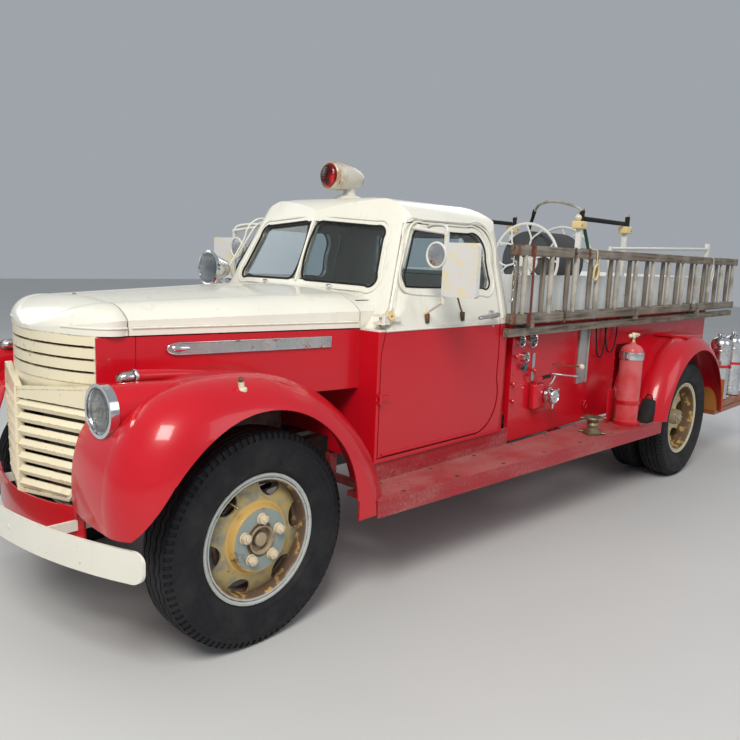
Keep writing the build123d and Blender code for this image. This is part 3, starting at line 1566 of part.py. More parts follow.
def handrail():
    x0 = BODY_REAR_X + 130
    x1 = REEL_X + 260
    pieces = [rod((x0, HANDRAIL_Y, HANDRAIL_Z), (x1, HANDRAIL_Y, HANDRAIL_Z), HANDRAIL_R)]
    for x, wide in ((x0, 70), (x1 - 12, 24)):
        pieces.append(block(x, x + wide, HANDRAIL_Y - 9, HANDRAIL_Y + 9, BED_TOP_Z, HANDRAIL_Z + 16))
    return fuse(pieces)


nodes["handrails"] = both_sides(handrail())


# Hose reel: two spoked flanges on a drum, turning on a rod between two stands
def reel_flange(x):
    spokes = []
    for i in range(6):
        spokes.append(Rot(60 * i, 0, 0) * block(-6, 6, -11, 11, 50, REEL_FLANGE_R - 12))
    ring = rod((-6, 0, 0), (6, 0, 0), REEL_FLANGE_R) - rod((-7, 0, 0), (7, 0, 0), REEL_FLANGE_R - 24)
    hub = rod((-6, 0, 0), (6, 0, 0), 70)
    inner = rod((-6, 0, 0), (6, 0, 0), REEL_DRUM_R + 8)
    return Pos(x, 0, REEL_Z) * fuse([ring, hub, inner] + spokes)


def hose_reel():
    pieces = [reel_flange(REEL_X + REEL_HALF), reel_flange(REEL_X - REEL_HALF)]
    pieces.append(rod((REEL_X - REEL_HALF, 0, REEL_Z), (REEL_X + REEL_HALF, 0, REEL_Z), REEL_DRUM_R))
    reel = fuse(pieces)
    bore = rod((REEL_X - REEL_HALF - 10, 0, REEL_Z), (REEL_X + REEL_HALF + 10, 0, REEL_Z), AXLE_ROD_R + 0.5)
    return reel - bore


nodes["hose_reel"] = hose_reel()
HOSE_R = 17


def hose_winding():
    """Wound hose as one ridged sleeve over the drum."""
    inner = REEL_DRUM_R + FIT
    length = 2 * REEL_HALF - 12 - 2 * FIT
    turns = int(length / (2 * HOSE_R))
    start = REEL_X - turns * HOSE_R
    steps = []
    for i in range(turns):
        x = start + 2 * HOSE_R * i
        steps.append((x + HOSE_R * 0.6, REEL_HOSE_R))
        steps.append((x + HOSE_R * 1.4, REEL_HOSE_R))
        steps.append((x + HOSE_R * 2, REEL_HOSE_R - HOSE_R * 0.6))
    steps.append((start + turns * 2 * HOSE_R, inner))
    steps.append((start, inner))
    profile = face(at_y(0), (start, REEL_HOSE_R - HOSE_R * 0.6), *steps)
    return Pos(0, 0, REEL_Z) * revolve(profile, axis=Axis.X)


nodes["hose_winding"] = hose_winding()
GUIDE_Y = 520
GUIDE_HALF = 375
GUIDE_Z = 1925
GUIDE_POST = 36


def reel_frame():
    """Stands of the reel with its rod, and the posts and rollers of the hose guides on both sides."""
    deck = BED_BOTTOM_Z + 22
    pieces = [rod((REEL_X - REEL_HALF - 60, 0, REEL_Z), (REEL_X + REEL_HALF + 60, 0, REEL_Z), AXLE_ROD_R)]
    for side in (1, -1):
        x = REEL_X + side * (REEL_HALF + 40)
        pieces.append(
            slab_x(
                x - 8,
                x + 8,
                (-180, deck),
                (180, deck),
                (45, REEL_Z + 30),
                (0, REEL_Z + 50, -45, REEL_Z + 30),
            )
        )
        y = side * GUIDE_Y
        for end in (1, -1):
            gx = REEL_X + end * GUIDE_HALF
            pieces.append(
                block(gx - GUIDE_POST / 2, gx + GUIDE_POST / 2, y - GUIDE_POST / 2, y + GUIDE_POST / 2, deck, GUIDE_Z - 30)
            )
            pieces.append(block(gx - 55, gx + 55, y - 35, y + 35, GUIDE_Z - 30, GUIDE_Z + 25))
    return fuse(pieces)


nodes["reel_frame"] = reel_frame()
ROLLER_R = 20
ROLLER_H = 75


def guide_rollers():
    """Rollers on the guide posts: an upright one on each block and a level one between the blocks."""
    top = GUIDE_Z + 25
    pieces = []
    for side in (1, -1):
        y = side * GUIDE_Y
        x0 = REEL_X - GUIDE_HALF
        x1 = REEL_X + GUIDE_HALF
        level = [rod((x0, y, top + ROLLER_R), (x1, y, top + ROLLER_R), ROLLER_R - 3)]
        upright = [rod((x, y, top), (x, y, top + ROLLER_H), ROLLER_R) for x in (x0, x1)]
        pieces.append(fuse(level + upright))
    return pieces


nodes["guide_rollers"] = guide_rollers()


# Pump fittings on the left side of the body
OUTLET_X = 110
OUTLET_Z = 800
OUTLET_R = 50
OUTLET_NECK = 70
OUTLET_CAP = 45


def pump_fittings():
    y = BODY_HALF
    pieces = []
    for x, z, r in ((393, 1165, 34), (276, 1168, 46), (350, 1068, 28)):
        pieces.append(rod((x, y, z), (x, y + 26, z), r))
    x, z = OUTLET_X, OUTLET_Z
    neck = rod((x, y, z), (x, y + OUTLET_NECK, z), OUTLET_R - 6)
    cap = rod((x, y + OUTLET_NECK, z), (x, y + OUTLET_NECK + OUTLET_CAP, z), OUTLET_R)
    pieces.append(fuse([neck, cap]))
    pieces.append(block(225, 245, y, y + 22, 900, 1080))
    pieces.append(block(-430, -400, y, y + 16, 870, 1240))
    return pieces


nodes["pump_fittings"] = pump_fittings()


# Extinguishers: one on the left running board, two on the left rear step
def extinguisher(x, y, z, radius, height):
    body = rod((x, y, z), (x, y, z + height), radius)
    dome = Pos(x, y, z + height) * scale(Sphere(radius), (1, 1, 0.7))
    neck = rod((x, y, z + height + radius * 0.6), (x, y, z + height + radius * 0.7 + 45), 16)
    return fuse([body, dome, neck])


nodes["extinguisher_board"] = extinguisher(FRONT_AXLE_X - 3200, 925, BOARD_TOP_Z, 86, 430)
nodes["extinguishers"] = [
    extinguisher(FRONT_AXLE_X - 5080, 945, TAIL_STEP_Z, 88, 500),
    extinguisher(FRONT_AXLE_X - 5430, 945, TAIL_STEP_Z, 88, 500),
]

# Roof beacon: a bullet lamp on a pedestal
BEACON_Z = 2090
BEACON_R = 78


def beacon():
    f = FRONT_AXLE_X
    body = Pos(f - 1140, 0, BEACON_Z) * Rot(0, -90, 0) * Cone(BEACON_R, 40, 230, align=(Align.CENTER, Align.CENTER, Align.MIN))
    lens = rod((f - 1140, 0, BEACON_Z), (f - 1112, 0, BEACON_Z), BEACON_R - 6)
    stem = rod((f - 1270, 0, 1960), (f - 1270, 0, BEACON_Z), 34)
    return (fuse([body, lens, stem])) - cab_outer


nodes["beacon"] = beacon()


# Spotlight at the right windshield post, and the left door's mirrors
def spotlight():
    f = FRONT_AXLE_X
    x, y, z = f - 800, -735, 1535
    head = cone((x - 110, y, z), (x, y, z), 55, 105)
    arm = rod((x - 80, y, z - 40), (f - 900, -690, 1400), 14)
    return fuse([head, arm]) - cab_outer


nodes["spotlight"] = spotlight()


def mirrors():
    f = FRONT_AXLE_X
    tube_x = f - 1085
    tube_y = 870
    corners = [(f - 1115, 720, 1356), (tube_x, tube_y, 1440), (tube_x, tube_y, 1775), (f - 1105, 640, 1800)]
    pieces = [rod(a, b, 9) for a, b in zip(corners, corners[1:])]
    pieces = pieces + [rod((x, y, z - 12), (x, y, z + 12), 11) for x, y, z in corners[1:3]]
    pieces.append(rod((tube_x - 22, 828, 1655), (tube_x + 6, 828, 1655), 56))
    head = block(tube_x - 14, tube_x + 12, tube_y - 5, tube_y + 205, 1465, 1730)
    pieces.append(fillet(head.edges().filter_by(Axis.X), 18))
    return fuse(pieces) - cab_form(0)


nodes["mirror_left"] = mirrors()
nodes["mirror_right"] = mirrored(nodes["mirror_left"])

def solids_of(item):
    return [solid for piece in (item if isinstance(item, list) else [item]) for solid in piece.solids()]


os.makedirs("parts", exist_ok=True)
for name, item in nodes.items():
    solids = solids_of(item)
    export_step(solids[0] if len(solids) == 1 else Compound(solids), f"parts/{name}.step")
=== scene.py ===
import sys

import json
import math

import bmesh
import bpy
from bpy.props import FloatProperty, FloatVectorProperty, PointerProperty
from mathutils import Matrix, Vector
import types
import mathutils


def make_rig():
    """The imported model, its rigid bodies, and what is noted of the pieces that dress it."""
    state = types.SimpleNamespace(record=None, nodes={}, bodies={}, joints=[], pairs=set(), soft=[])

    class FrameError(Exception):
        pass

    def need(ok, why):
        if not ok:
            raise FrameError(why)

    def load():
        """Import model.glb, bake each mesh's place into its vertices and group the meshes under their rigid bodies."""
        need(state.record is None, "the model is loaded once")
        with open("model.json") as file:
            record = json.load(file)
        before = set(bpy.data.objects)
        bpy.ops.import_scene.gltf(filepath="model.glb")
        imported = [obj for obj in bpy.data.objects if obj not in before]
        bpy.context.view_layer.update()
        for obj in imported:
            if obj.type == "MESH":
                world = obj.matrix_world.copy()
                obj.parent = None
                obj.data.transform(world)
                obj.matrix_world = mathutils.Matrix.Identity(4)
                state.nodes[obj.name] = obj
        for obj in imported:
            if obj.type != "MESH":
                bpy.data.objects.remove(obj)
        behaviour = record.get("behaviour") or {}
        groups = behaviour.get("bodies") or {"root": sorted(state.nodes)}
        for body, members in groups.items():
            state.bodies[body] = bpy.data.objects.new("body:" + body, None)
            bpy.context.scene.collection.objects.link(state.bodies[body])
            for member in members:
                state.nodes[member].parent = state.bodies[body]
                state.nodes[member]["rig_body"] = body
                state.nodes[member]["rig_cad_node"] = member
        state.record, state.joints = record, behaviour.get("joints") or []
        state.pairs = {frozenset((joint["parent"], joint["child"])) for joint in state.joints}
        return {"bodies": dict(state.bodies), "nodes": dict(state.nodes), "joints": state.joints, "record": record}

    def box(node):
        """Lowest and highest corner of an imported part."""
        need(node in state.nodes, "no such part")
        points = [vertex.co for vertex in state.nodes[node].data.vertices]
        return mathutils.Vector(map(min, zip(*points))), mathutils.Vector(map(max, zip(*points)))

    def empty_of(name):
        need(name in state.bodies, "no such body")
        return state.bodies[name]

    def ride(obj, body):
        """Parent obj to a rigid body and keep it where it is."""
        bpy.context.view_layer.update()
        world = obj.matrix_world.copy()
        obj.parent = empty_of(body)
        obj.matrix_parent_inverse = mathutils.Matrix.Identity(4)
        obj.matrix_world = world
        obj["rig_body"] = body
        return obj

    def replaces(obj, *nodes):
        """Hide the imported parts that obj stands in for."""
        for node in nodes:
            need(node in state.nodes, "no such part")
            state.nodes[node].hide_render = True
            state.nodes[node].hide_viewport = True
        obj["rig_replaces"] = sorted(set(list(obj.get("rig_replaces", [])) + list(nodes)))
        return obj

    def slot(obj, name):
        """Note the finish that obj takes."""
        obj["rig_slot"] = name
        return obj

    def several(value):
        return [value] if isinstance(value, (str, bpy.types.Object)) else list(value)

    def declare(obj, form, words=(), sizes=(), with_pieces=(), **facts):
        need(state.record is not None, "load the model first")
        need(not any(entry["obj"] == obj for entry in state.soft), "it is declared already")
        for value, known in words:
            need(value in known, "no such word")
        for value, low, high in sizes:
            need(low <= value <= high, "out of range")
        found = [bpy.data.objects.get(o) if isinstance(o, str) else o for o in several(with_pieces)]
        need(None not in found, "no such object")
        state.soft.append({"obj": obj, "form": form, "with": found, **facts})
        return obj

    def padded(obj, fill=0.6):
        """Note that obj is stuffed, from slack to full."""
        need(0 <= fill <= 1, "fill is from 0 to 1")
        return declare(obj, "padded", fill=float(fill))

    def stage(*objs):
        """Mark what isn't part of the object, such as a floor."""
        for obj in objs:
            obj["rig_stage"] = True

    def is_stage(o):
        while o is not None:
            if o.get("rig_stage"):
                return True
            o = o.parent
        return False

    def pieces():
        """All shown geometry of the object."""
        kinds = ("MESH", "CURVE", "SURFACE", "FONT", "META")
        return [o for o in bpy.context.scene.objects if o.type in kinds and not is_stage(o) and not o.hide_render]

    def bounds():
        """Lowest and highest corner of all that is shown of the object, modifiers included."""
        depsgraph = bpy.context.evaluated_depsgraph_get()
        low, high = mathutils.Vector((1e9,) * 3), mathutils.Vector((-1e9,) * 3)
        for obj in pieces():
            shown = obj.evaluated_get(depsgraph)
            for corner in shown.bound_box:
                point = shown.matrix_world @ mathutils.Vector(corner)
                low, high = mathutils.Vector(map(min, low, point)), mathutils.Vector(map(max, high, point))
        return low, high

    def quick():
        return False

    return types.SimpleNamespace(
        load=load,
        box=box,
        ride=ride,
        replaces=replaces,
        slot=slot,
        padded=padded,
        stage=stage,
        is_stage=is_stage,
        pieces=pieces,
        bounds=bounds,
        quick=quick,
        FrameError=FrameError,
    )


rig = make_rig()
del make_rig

bl_info = {
    "name": "Fire Engine Finish",
    "version": (1, 0, 0),
    "blender": (4, 5, 0),
    "location": "View3D > Sidebar > Fire engine",
    "description": "Paint, wheels, lamps, cab trim, ladders, hose gear and seat of an open-bed fire engine",
    "category": "Object",
}

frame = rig.load()
CAD_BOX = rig.bounds()
NODES = frame["nodes"]

# Main places in metres, as in the frame: +X forward, +Y the left side
AXLE_X = 2.48
REAR_AXLE_X = -1.584
AXLE_Z = 0.465
FRONT_WHEEL_Y = 0.745
OUTER_WHEEL_Y = 0.955
INNER_WHEEL_Y = 0.715
BODY_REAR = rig.box("body_lower")[0][0]
BODY_SIDE = 0.72
BOARD_TOP = 0.535
BELT_Z = 1.292
REEL_X = AXLE_X - 3.51
REEL_Z = 1.652
RAIL_TOPS = (1.745, 1.345)
CLAMP_X = 0.488
STRIP_Z = 1.2385
STRIP_HALF = 0.0265
DOORS = ("door_left", "door_right")


# Materials
class Finish:
    """One procedural material on Blender's Principled shader."""

    def __init__(self, name, colour, roughness, metallic=0.0, coat=0.0):
        self.material = bpy.data.materials.new(name)
        self.material.use_nodes = True
        self.nodes = self.material.node_tree.nodes
        self.links = self.material.node_tree.links
        self.shader = self.nodes["Principled BSDF"]
        self.place = self.nodes.new("ShaderNodeTexCoord").outputs["Object"]
        self.set("Base Color", (*colour, 1))
        self.set("Roughness", roughness)
        self.set("Metallic", metallic)
        if coat:
            self.set("Coat Weight", coat)
            self.set("Coat Roughness", 0.1)
        self.colour = (*colour, 1)
        self.roughness = roughness
        self.normal = None

    def set(self, socket, value):
        if isinstance(value, bpy.types.NodeSocket):
            self.links.new(value, self.shader.inputs[socket])
        else:
            self.shader.inputs[socket].default_value = value

    def node(self, kind, inputs, output=0, **settings):
        node = self.nodes.new("ShaderNode" + kind)
        for key, value in settings.items():
            setattr(node, key, value)
        for key, value in inputs.items():
            if isinstance(value, bpy.types.NodeSocket):
                self.links.new(value, node.inputs[key])
            else:
                node.inputs[key].default_value = value
        return node.outputs[output]

    def maths(self, operation, a, b=0.0, c=0.0):
        return self.node("Math", {0: a, 1: b, 2: c}, operation=operation)

    def noise(self, scale, detail=3.0, stretch=(1, 1, 1)):
        place = self.node("Mapping", {"Vector": self.place, "Scale": stretch})
        return self.node("TexNoise", {"Vector": place, "Scale": scale, "Detail": detail})

    def between(self, value, low, high, to_low=0.0, to_high=1.0):
        limits = {"Value": value, "From Min": low, "From Max": high, "To Min": to_low, "To Max": to_high}
        return self.node("MapRange", limits, clamp=True)

    def patches(self, scale, detail, low, high):
        """A noise spread between two of its values."""
        return self.between(self.noise(scale, detail), low, high)

    def edges(self, radius):
        """Near 1 on edges, 0 on flat places."""
        rounded = self.node("Bevel", {"Radius": radius}, samples=4)
        flat = self.node("NewGeometry", {}, output="Normal")
        same = self.node("VectorMath", {0: rounded, 1: flat}, output="Value", operation="DOT_PRODUCT")
        return self.between(same, 0.99, 0.86)

    def corners(self, distance):
        """Near 1 in corners and seams where shade falls, from ambient occlusion: used for painted shade with grime."""
        open_part = self.node("AmbientOcclusion", {"Distance": distance}, output="AO", samples=4)
        return self.between(open_part, 0.75, 0.25)

    def axes(self):
        """The place's X, Y and Z."""
        parts = self.nodes.new("ShaderNodeSeparateXYZ")
        self.links.new(self.place, parts.inputs[0])
        return parts.outputs

    def height(self):
        return self.axes()["Z"]

    def both(self, a, b):
        return self.maths("MULTIPLY", a, b)

    def band(self, value, low, high, soft=0.002):
        """1 between two values, 0 outside."""
        return self.both(self.between(value, low - soft, low + soft), self.between(value, high + soft, high - soft))

    def lay(self, mask, colour, amount=1.0):
        """Lays a colour over what is there, where the mask is."""
        if amount != 1.0:
            mask = self.both(mask, amount)
        self.colour = self.node("Mix", {0: mask, 6: self.colour, 7: (*colour, 1)}, output=2, data_type="RGBA")
        self.set("Base Color", self.colour)

    def tone(self, value, low, high):
        """Darkens and lightens the colour with a pattern."""
        grey = self.between(value, 0.3, 0.7, low, high)
        shade = self.node("CombineColor", {0: grey, 1: grey, 2: grey})
        mixed = {0: 1.0, 6: self.colour, 7: shade}
        self.colour = self.node("Mix", mixed, output=2, data_type="RGBA", blend_type="MULTIPLY")
        self.set("Base Color", self.colour)

    def dull(self, mask, roughness):
        """Changes the gloss where the mask is."""
        mixed = {0: mask, 2: self.roughness, 3: roughness}
        self.roughness = self.node("Mix", mixed, data_type="FLOAT")
        self.set("Roughness", self.roughness)

    def unmetal(self, mask, metallic):
        self.set("Metallic", self.between(mask, 0.0, 1.0, metallic, 0.0))

    def relief(self, height, distance, strength=1.0):
        inputs = {"Height": height, "Distance": distance, "Strength": strength}
        if self.normal is not None:
            inputs["Normal"] = self.normal
        self.normal = self.node("Bump", inputs)
        self.set("Normal", self.normal)


def paint(name, colour, chip, dirt=0.5, chips=0.5, streaks=0.0, gloss=1.0, peel=0.00012):
    """Old enamel: slight waves, painted shade with grime in the seams, chipped edges and streaks running down."""
    f = Finish(name, colour, 0.32, coat=0.55 * gloss)
    f.set("Specular IOR Level", 0.3)
    f.tone(f.noise(1.7, 4), 0.93, 1.05)
    if streaks:
        runs = f.both(f.between(f.noise(22, 4, (1, 1, 0.05)), 0.55, 0.75), f.patches(2.5, 2, 0.42, 0.66))
        f.lay(runs, (0.42, 0.27, 0.12), streaks)
        f.dull(runs, 0.55)
    # Painted shade: ambient occlusion darkens the seams and corners, broken up by patches of grime.
    grime = f.both(f.corners(0.05), f.patches(9, 5, 0.3, 0.65))
    f.lay(grime, (0.06, 0.045, 0.035), dirt)
    f.dull(grime, 0.7)
    spots = f.patches(55, 6, 0.68 - 0.04 * chips, 0.72 - 0.04 * chips)
    worn_edges = f.both(f.edges(0.006), f.patches(38, 5, 0.52, 0.6))
    worn_spots = f.both(spots, f.patches(4, 3, 0.5, 0.62))
    worn = f.maths("MAXIMUM", worn_edges, worn_spots)
    f.lay(worn, chip, chips)
    f.dull(worn, 0.75)
    f.relief(f.noise(320, 2), peel)
    f.relief(f.noise(4.5, 2), 0.0012, 0.35)
    return f


def metal(name, colour, roughness, rust=0.0, pits=0.3):
    """Bare or plated metal with fine scratches, tarnish and some rust."""
    f = Finish(name, colour, roughness, metallic=1.0)
    f.tone(f.noise(14, 5), 0.85, 1.08)
    f.dull(f.patches(60, 6, 0.35, 0.7), min(1, roughness + 0.14))
    if rust:
        patches = f.both(f.patches(17, 8, 0.62 - 0.2 * rust, 0.7 - 0.14 * rust), f.patches(90, 6, 0.3, 0.5))
        f.lay(patches, (0.21, 0.075, 0.025))
        f.unmetal(patches, 1.0)
        f.dull(patches, 0.85)
    f.relief(f.noise(180, 4), 0.0002, pits)
    return f


def wood(name, along):
    """Weathered wood with its grain along one axis."""
    stretch = [24, 24, 24]
    stretch[along] = 0.9
    f = Finish(name, (0.2, 0.165, 0.125), 0.75)
    grain = f.noise(3.2, 8, stretch)
    f.lay(f.between(grain, 0.42, 0.66), (0.07, 0.05, 0.035))
    f.lay(f.patches(5, 5, 0.45, 0.72), (0.32, 0.29, 0.25), 0.7)
    f.lay(f.both(f.edges(0.004), f.patches(30, 3, 0.4, 0.6)), (0.46, 0.41, 0.33), 0.6)
    f.relief(grain, 0.0016, 0.8)
    return f


def rubber(name, colour=(0.013, 0.013, 0.016), dust=0.2):
    """Rubber or dull plastic with some grey dust on it."""
    f = Finish(name, colour, 0.62)
    f.set("Specular IOR Level", 0.25)
    f.lay(f.patches(7, 5, 0.45, 0.75), (0.09, 0.085, 0.08), dust)
    f.dull(f.patches(30, 4, 0.4, 0.7), 0.82)
    f.relief(f.noise(240, 4), 0.0004, 0.5)
    return f


def glass(name, colour, roughness=0.0, flutes=0.0):
    """Glass with faint smears, and with upright ribs where it is fluted."""
    f = Finish(name, colour, roughness)
    f.set("Transmission Weight", 1.0)
    f.set("IOR", 1.45)
    f.dull(f.patches(3.5, 5, 0.5, 0.8), roughness + 0.06)
    if flutes:
        ribs = f.node("TexWave", {"Vector": f.place, "Scale": flutes, "Distortion": 0.0}, output=1, bands_direction="Y")
        f.relief(ribs, 0.0014, 0.9)
    return f


def tread_plate(f, pitch, depth):
    """Raised lozenges in two directions, on flat and upright faces alike."""
    parts = f.axes()
    across = f.maths("ADD", parts["Y"], parts["Z"])
    u = f.maths("DIVIDE", parts["X"], pitch)
    v = f.maths("DIVIDE", across, pitch)
    odd = f.maths("MODULO", f.maths("ABSOLUTE", f.maths("ADD", f.maths("FLOOR", u), f.maths("FLOOR", v))), 2.0)
    turn = f.maths("MULTIPLY_ADD", odd, 2.0, -1.0)
    a = f.maths("SUBTRACT", f.maths("FRACT", u), 0.5)
    b = f.maths("MULTIPLY", f.maths("SUBTRACT", f.maths("FRACT", v), 0.5), turn)
    along = f.maths("ADD", a, b)
    beside = f.maths("SUBTRACT", a, b)
    reach = f.maths("ADD", f.both(f.both(along, along), 1.6), f.both(f.both(beside, beside), 26.0))
    raised = f.between(reach, 0.9, 0.45)
    f.relief(raised, depth)
    return raised


def wheel_finish(name, centre_x, colour, rings):
    """Wheel paint with rings of other colours round the axle: two radii, a colour and how much it covers."""
    f = paint(name, colour, (0.2, 0.075, 0.02), dirt=0.7, chips=0.9, gloss=0.25)
    parts = f.axes()
    x = f.maths("SUBTRACT", parts["X"], centre_x)
    z = f.maths("SUBTRACT", parts["Z"], AXLE_Z)
    out = f.maths("SQRT", f.maths("ADD", f.both(x, x), f.both(z, z)))
    for low, high, ring, cover in rings:
        mask = f.band(out, low, high)
        if cover < 1:
            mask = f.both(mask, f.patches(19, 6, 0.66 - 0.32 * cover, 0.78 - 0.32 * cover))
        f.lay(mask, ring, 0.92)
        f.dull(mask, 0.6)
    return f


def seat_cover():
    """Brown vinyl with a fine grain, rubbed pale on its edges."""
    f = Finish("Bench_vinyl", (0.11, 0.07, 0.05), 0.5)
    cells = f.node("TexVoronoi", {"Vector": f.place, "Scale": 420.0}, feature="DISTANCE_TO_EDGE")
    f.relief(f.between(cells, 0.0, 0.25), 0.0005, 0.7)
    f.tone(f.noise(11, 5), 0.75, 1.15)
    f.lay(f.both(f.edges(0.012), f.patches(26, 3, 0.45, 0.62)), (0.3, 0.22, 0.16), 0.7)
    return f


def two_tone(name, upper, lower, border, chip):
    """Cab enamel: cream above a line, red below it."""
    f = paint(name, upper, chip, dirt=0.45, chips=0.35, streaks=0.2)
    below = f.between(f.height(), border + 0.0015, border - 0.0015)
    f.lay(below, lower)
    # Painted shade in the red part's seams and corners, broken up by grime patches.
    grime = f.both(below, f.both(f.corners(0.05), f.patches(9, 5, 0.35, 0.7)))
    f.lay(grime, (0.05, 0.02, 0.015), 0.6)
    rust = f.both(f.band(f.height(), border - 0.004, border + 0.01, 0.003), f.patches(14, 5, 0.55, 0.7))
    f.lay(rust, (0.42, 0.25, 0.12), 0.6)
    return f


def red_lens():
    """Dark red glass with ribs in rings."""
    f = glass("Red_lens", (0.55, 0.005, 0.01), 0.12)
    ribs = f.node("TexWave", {"Vector": f.place, "Scale": 26.0}, output=1, wave_type="RINGS", rings_direction="X")
    f.relief(ribs, 0.001, 0.6)
    return f


def make_finishes(colours):
    """Makes every material. Each paint has its colour first, then the colour of its chips."""
    red = tuple(colours.red)
    cream = tuple(colours.cream)
    cream_chip = (0.42, 0.22, 0.09)
    white_chip = (0.3, 0.17, 0.08)
    red_border = 1.29
    # Each paint's name, colour, colour of its chips, painted seam shade with grime, chips, streaks and gloss
    rows = (
        ("Red_paint", red, (0.12, 0.02, 0.015), 0.55, 0.45, 0.0, 1.0),
        ("Cream_paint", cream, cream_chip, 0.45, 0.45, 0.3, 1.0),
        ("Grille_paint", (0.83, 0.75, 0.54), (0.5, 0.24, 0.06), 0.65, 0.95, 0.45, 0.5),
        ("Beacon_paint", (0.6, 0.57, 0.5), (0.32, 0.17, 0.06), 0.7, 1.0, 0.8, 0.3),
        ("Mirror_back", (0.72, 0.72, 0.7), white_chip, 0.35, 0.4, 0.0, 0.4),
        ("Board_brown", (0.3, 0.085, 0.035), (0.42, 0.27, 0.15), 0.6, 1.0, 0.0, 0.15),
        ("Flap_brown", (0.36, 0.15, 0.035), (0.2, 0.08, 0.03), 0.5, 0.9, 0.5, 0.15),
        ("Clamp_red", (0.17, 0.045, 0.035), (0.28, 0.12, 0.06), 0.7, 0.9, 0.0, 0.15),
        ("Bed_paint", tuple(colours.bed), (0.33, 0.2, 0.1), 0.7, 0.7, 0.5, 0.15),
        ("Black_frame", (0.022, 0.021, 0.02), (0.12, 0.05, 0.025), 0.3, 0.8, 0.0, 0.1),
        ("Green_paint", (0.02, 0.075, 0.04), (0.2, 0.13, 0.07), 0.5, 0.8, 0.0, 0.3),
        ("Grey_paint", (0.34, 0.35, 0.34), (0.2, 0.12, 0.07), 0.5, 0.6, 0.0, 0.2),
        ("Worn_red", (red[0] * 0.8, red[1] + 0.02, red[2] + 0.02), (0.3, 0.2, 0.18), 0.6, 0.9, 0.0, 0.25),
        ("White_paint", (0.74, 0.73, 0.68), white_chip, 0.4, 0.6, 0.0, 0.4),
        ("Guide_cream", (0.8, 0.62, 0.3), (0.3, 0.2, 0.1), 0.6, 0.7, 0.0, 0.3),
        ("Faded_red", (0.62, 0.05, 0.055), (0.55, 0.3, 0.28), 0.4, 0.8, 0.0, 0.2),
        ("Blue_enamel", (0.02, 0.07, 0.1), (0.1, 0.1, 0.1), 0.5, 0.4, 0.0, 0.5),
        ("Nut_steel", (0.72, 0.6, 0.42), (0.38, 0.22, 0.1), 0.6, 0.8, 0.0, 0.4),
        ("Hub_rust", (0.38, 0.3, 0.2), (0.2, 0.08, 0.03), 0.7, 1.0, 0.7, 0.1),
    )
    paints = {row[0]: paint(*row) for row in rows}
    shell = paints["Beacon_paint"]
    shell.lay(shell.patches(9, 6, 0.48, 0.62), (0.42, 0.22, 0.07), 0.85)
    plate = paints["Mirror_back"]
    plate.lay(plate.between(plate.noise(13, 3, (1, 1, 1.6)), 0.5, 0.62), (0.8, 0.7, 0.24), 0.5)
    worn = paints["Worn_red"]
    scuffs = worn.both(worn.between(worn.noise(6, 8, (0.35, 1, 1)), 0.42, 0.62), worn.patches(60, 4, 0.3, 0.6))
    worn.lay(scuffs, (0.5, 0.2, 0.19), 0.7)
    worn.dull(scuffs, 0.75)
    raised = tread_plate(worn, 0.034, 0.0016)
    # Darker red between the raised lozenges: painted shade in the low parts of the plate.
    worn.lay(worn.maths("SUBTRACT", 1.0, raised), (0.2, 0.012, 0.014), 0.35)
    # Upward faces are laid lighter and pinkish: partly dust and fading, partly a painted highlight on the top faces.
    normal = worn.node("NewGeometry", {}, output="Normal")
    up = worn.between(worn.node("SeparateXYZ", {0: normal}, output="Z"), 0.5, 0.9)
    worn.lay(worn.both(up, worn.patches(3.5, 6, 0.3, 0.6)), (0.42, 0.15, 0.14), 0.8)
    two_tone("Cab_paint", cream, red, red_border, cream_chip)
    faded = paints["Faded_red"]
    faded.lay(faded.patches(7, 6, 0.35, 0.62), (0.66, 0.18, 0.19), 0.7)
    metal("Chrome", (0.78, 0.79, 0.8), 0.09, rust=0.12, pits=0.2)
    metal("Bright_steel", (0.62, 0.61, 0.6), 0.26, rust=0.25)
    metal("Aged_bright", (0.55, 0.56, 0.57), 0.24, rust=0.1)
    metal("Silver_shell", (0.72, 0.73, 0.74), 0.2, rust=0.05)
    metal("Brass", (0.62, 0.43, 0.17), 0.28, rust=0.1)
    metal("Dull_bronze", (0.33, 0.3, 0.2), 0.45, rust=0.2, pits=0.6)
    metal("Cast_metal", (0.25, 0.25, 0.25), 0.55, rust=0.55, pits=0.8)
    metal("Rusty_steel", (0.16, 0.13, 0.11), 0.65, rust=1.0, pits=1.0)
    mirror = metal("Mirror_glass", (0.85, 0.87, 0.88), 0.02, pits=0.0)
    mirror.dull(mirror.patches(30, 5, 0.6, 0.8), 0.2)
    wood("Wood_along", 0)
    wood("Wood_upright", 2)
    rubber("Tyre_rubber")
    pale = wood("Pale_wood", 2)
    pale.lay(pale.patches(8, 5, 0.25, 0.6), (0.55, 0.52, 0.45), 0.8)
    rubber("Hose_rubber", (0.07, 0.072, 0.078), 0.4)
    rubber("Black_rubber", (0.013, 0.013, 0.013), 0.1)
    rubber("Black_plastic", (0.02, 0.02, 0.022), 0.05)
    rubber("Floor_mat", (0.03, 0.028, 0.026), 0.5)
    glass("Window_glass", (0.72, 0.8, 0.82))
    glass("Frosted_lens", (0.88, 0.88, 0.84), 0.3)
    glass("Lamp_glass", (0.9, 0.92, 0.92), 0.02, flutes=42.0)
    glass("Clear_glass", (0.9, 0.92, 0.92))
    red_lens()
    ochre, blue_grey, rust = (0.6, 0.38, 0.11), (0.25, 0.31, 0.31), (0.15, 0.06, 0.02)
    stain, dark_rust = (0.25, 0.24, 0.19), (0.1, 0.045, 0.018)
    front = (
        (0.0, 0.25, stain, 0.6), (0.0, 0.131, blue_grey, 1), (0.135, 0.16, ochre, 1), (0.0, 0.25, rust, 0.12),
        (0.05, 0.075, rust, 0.8),
    )
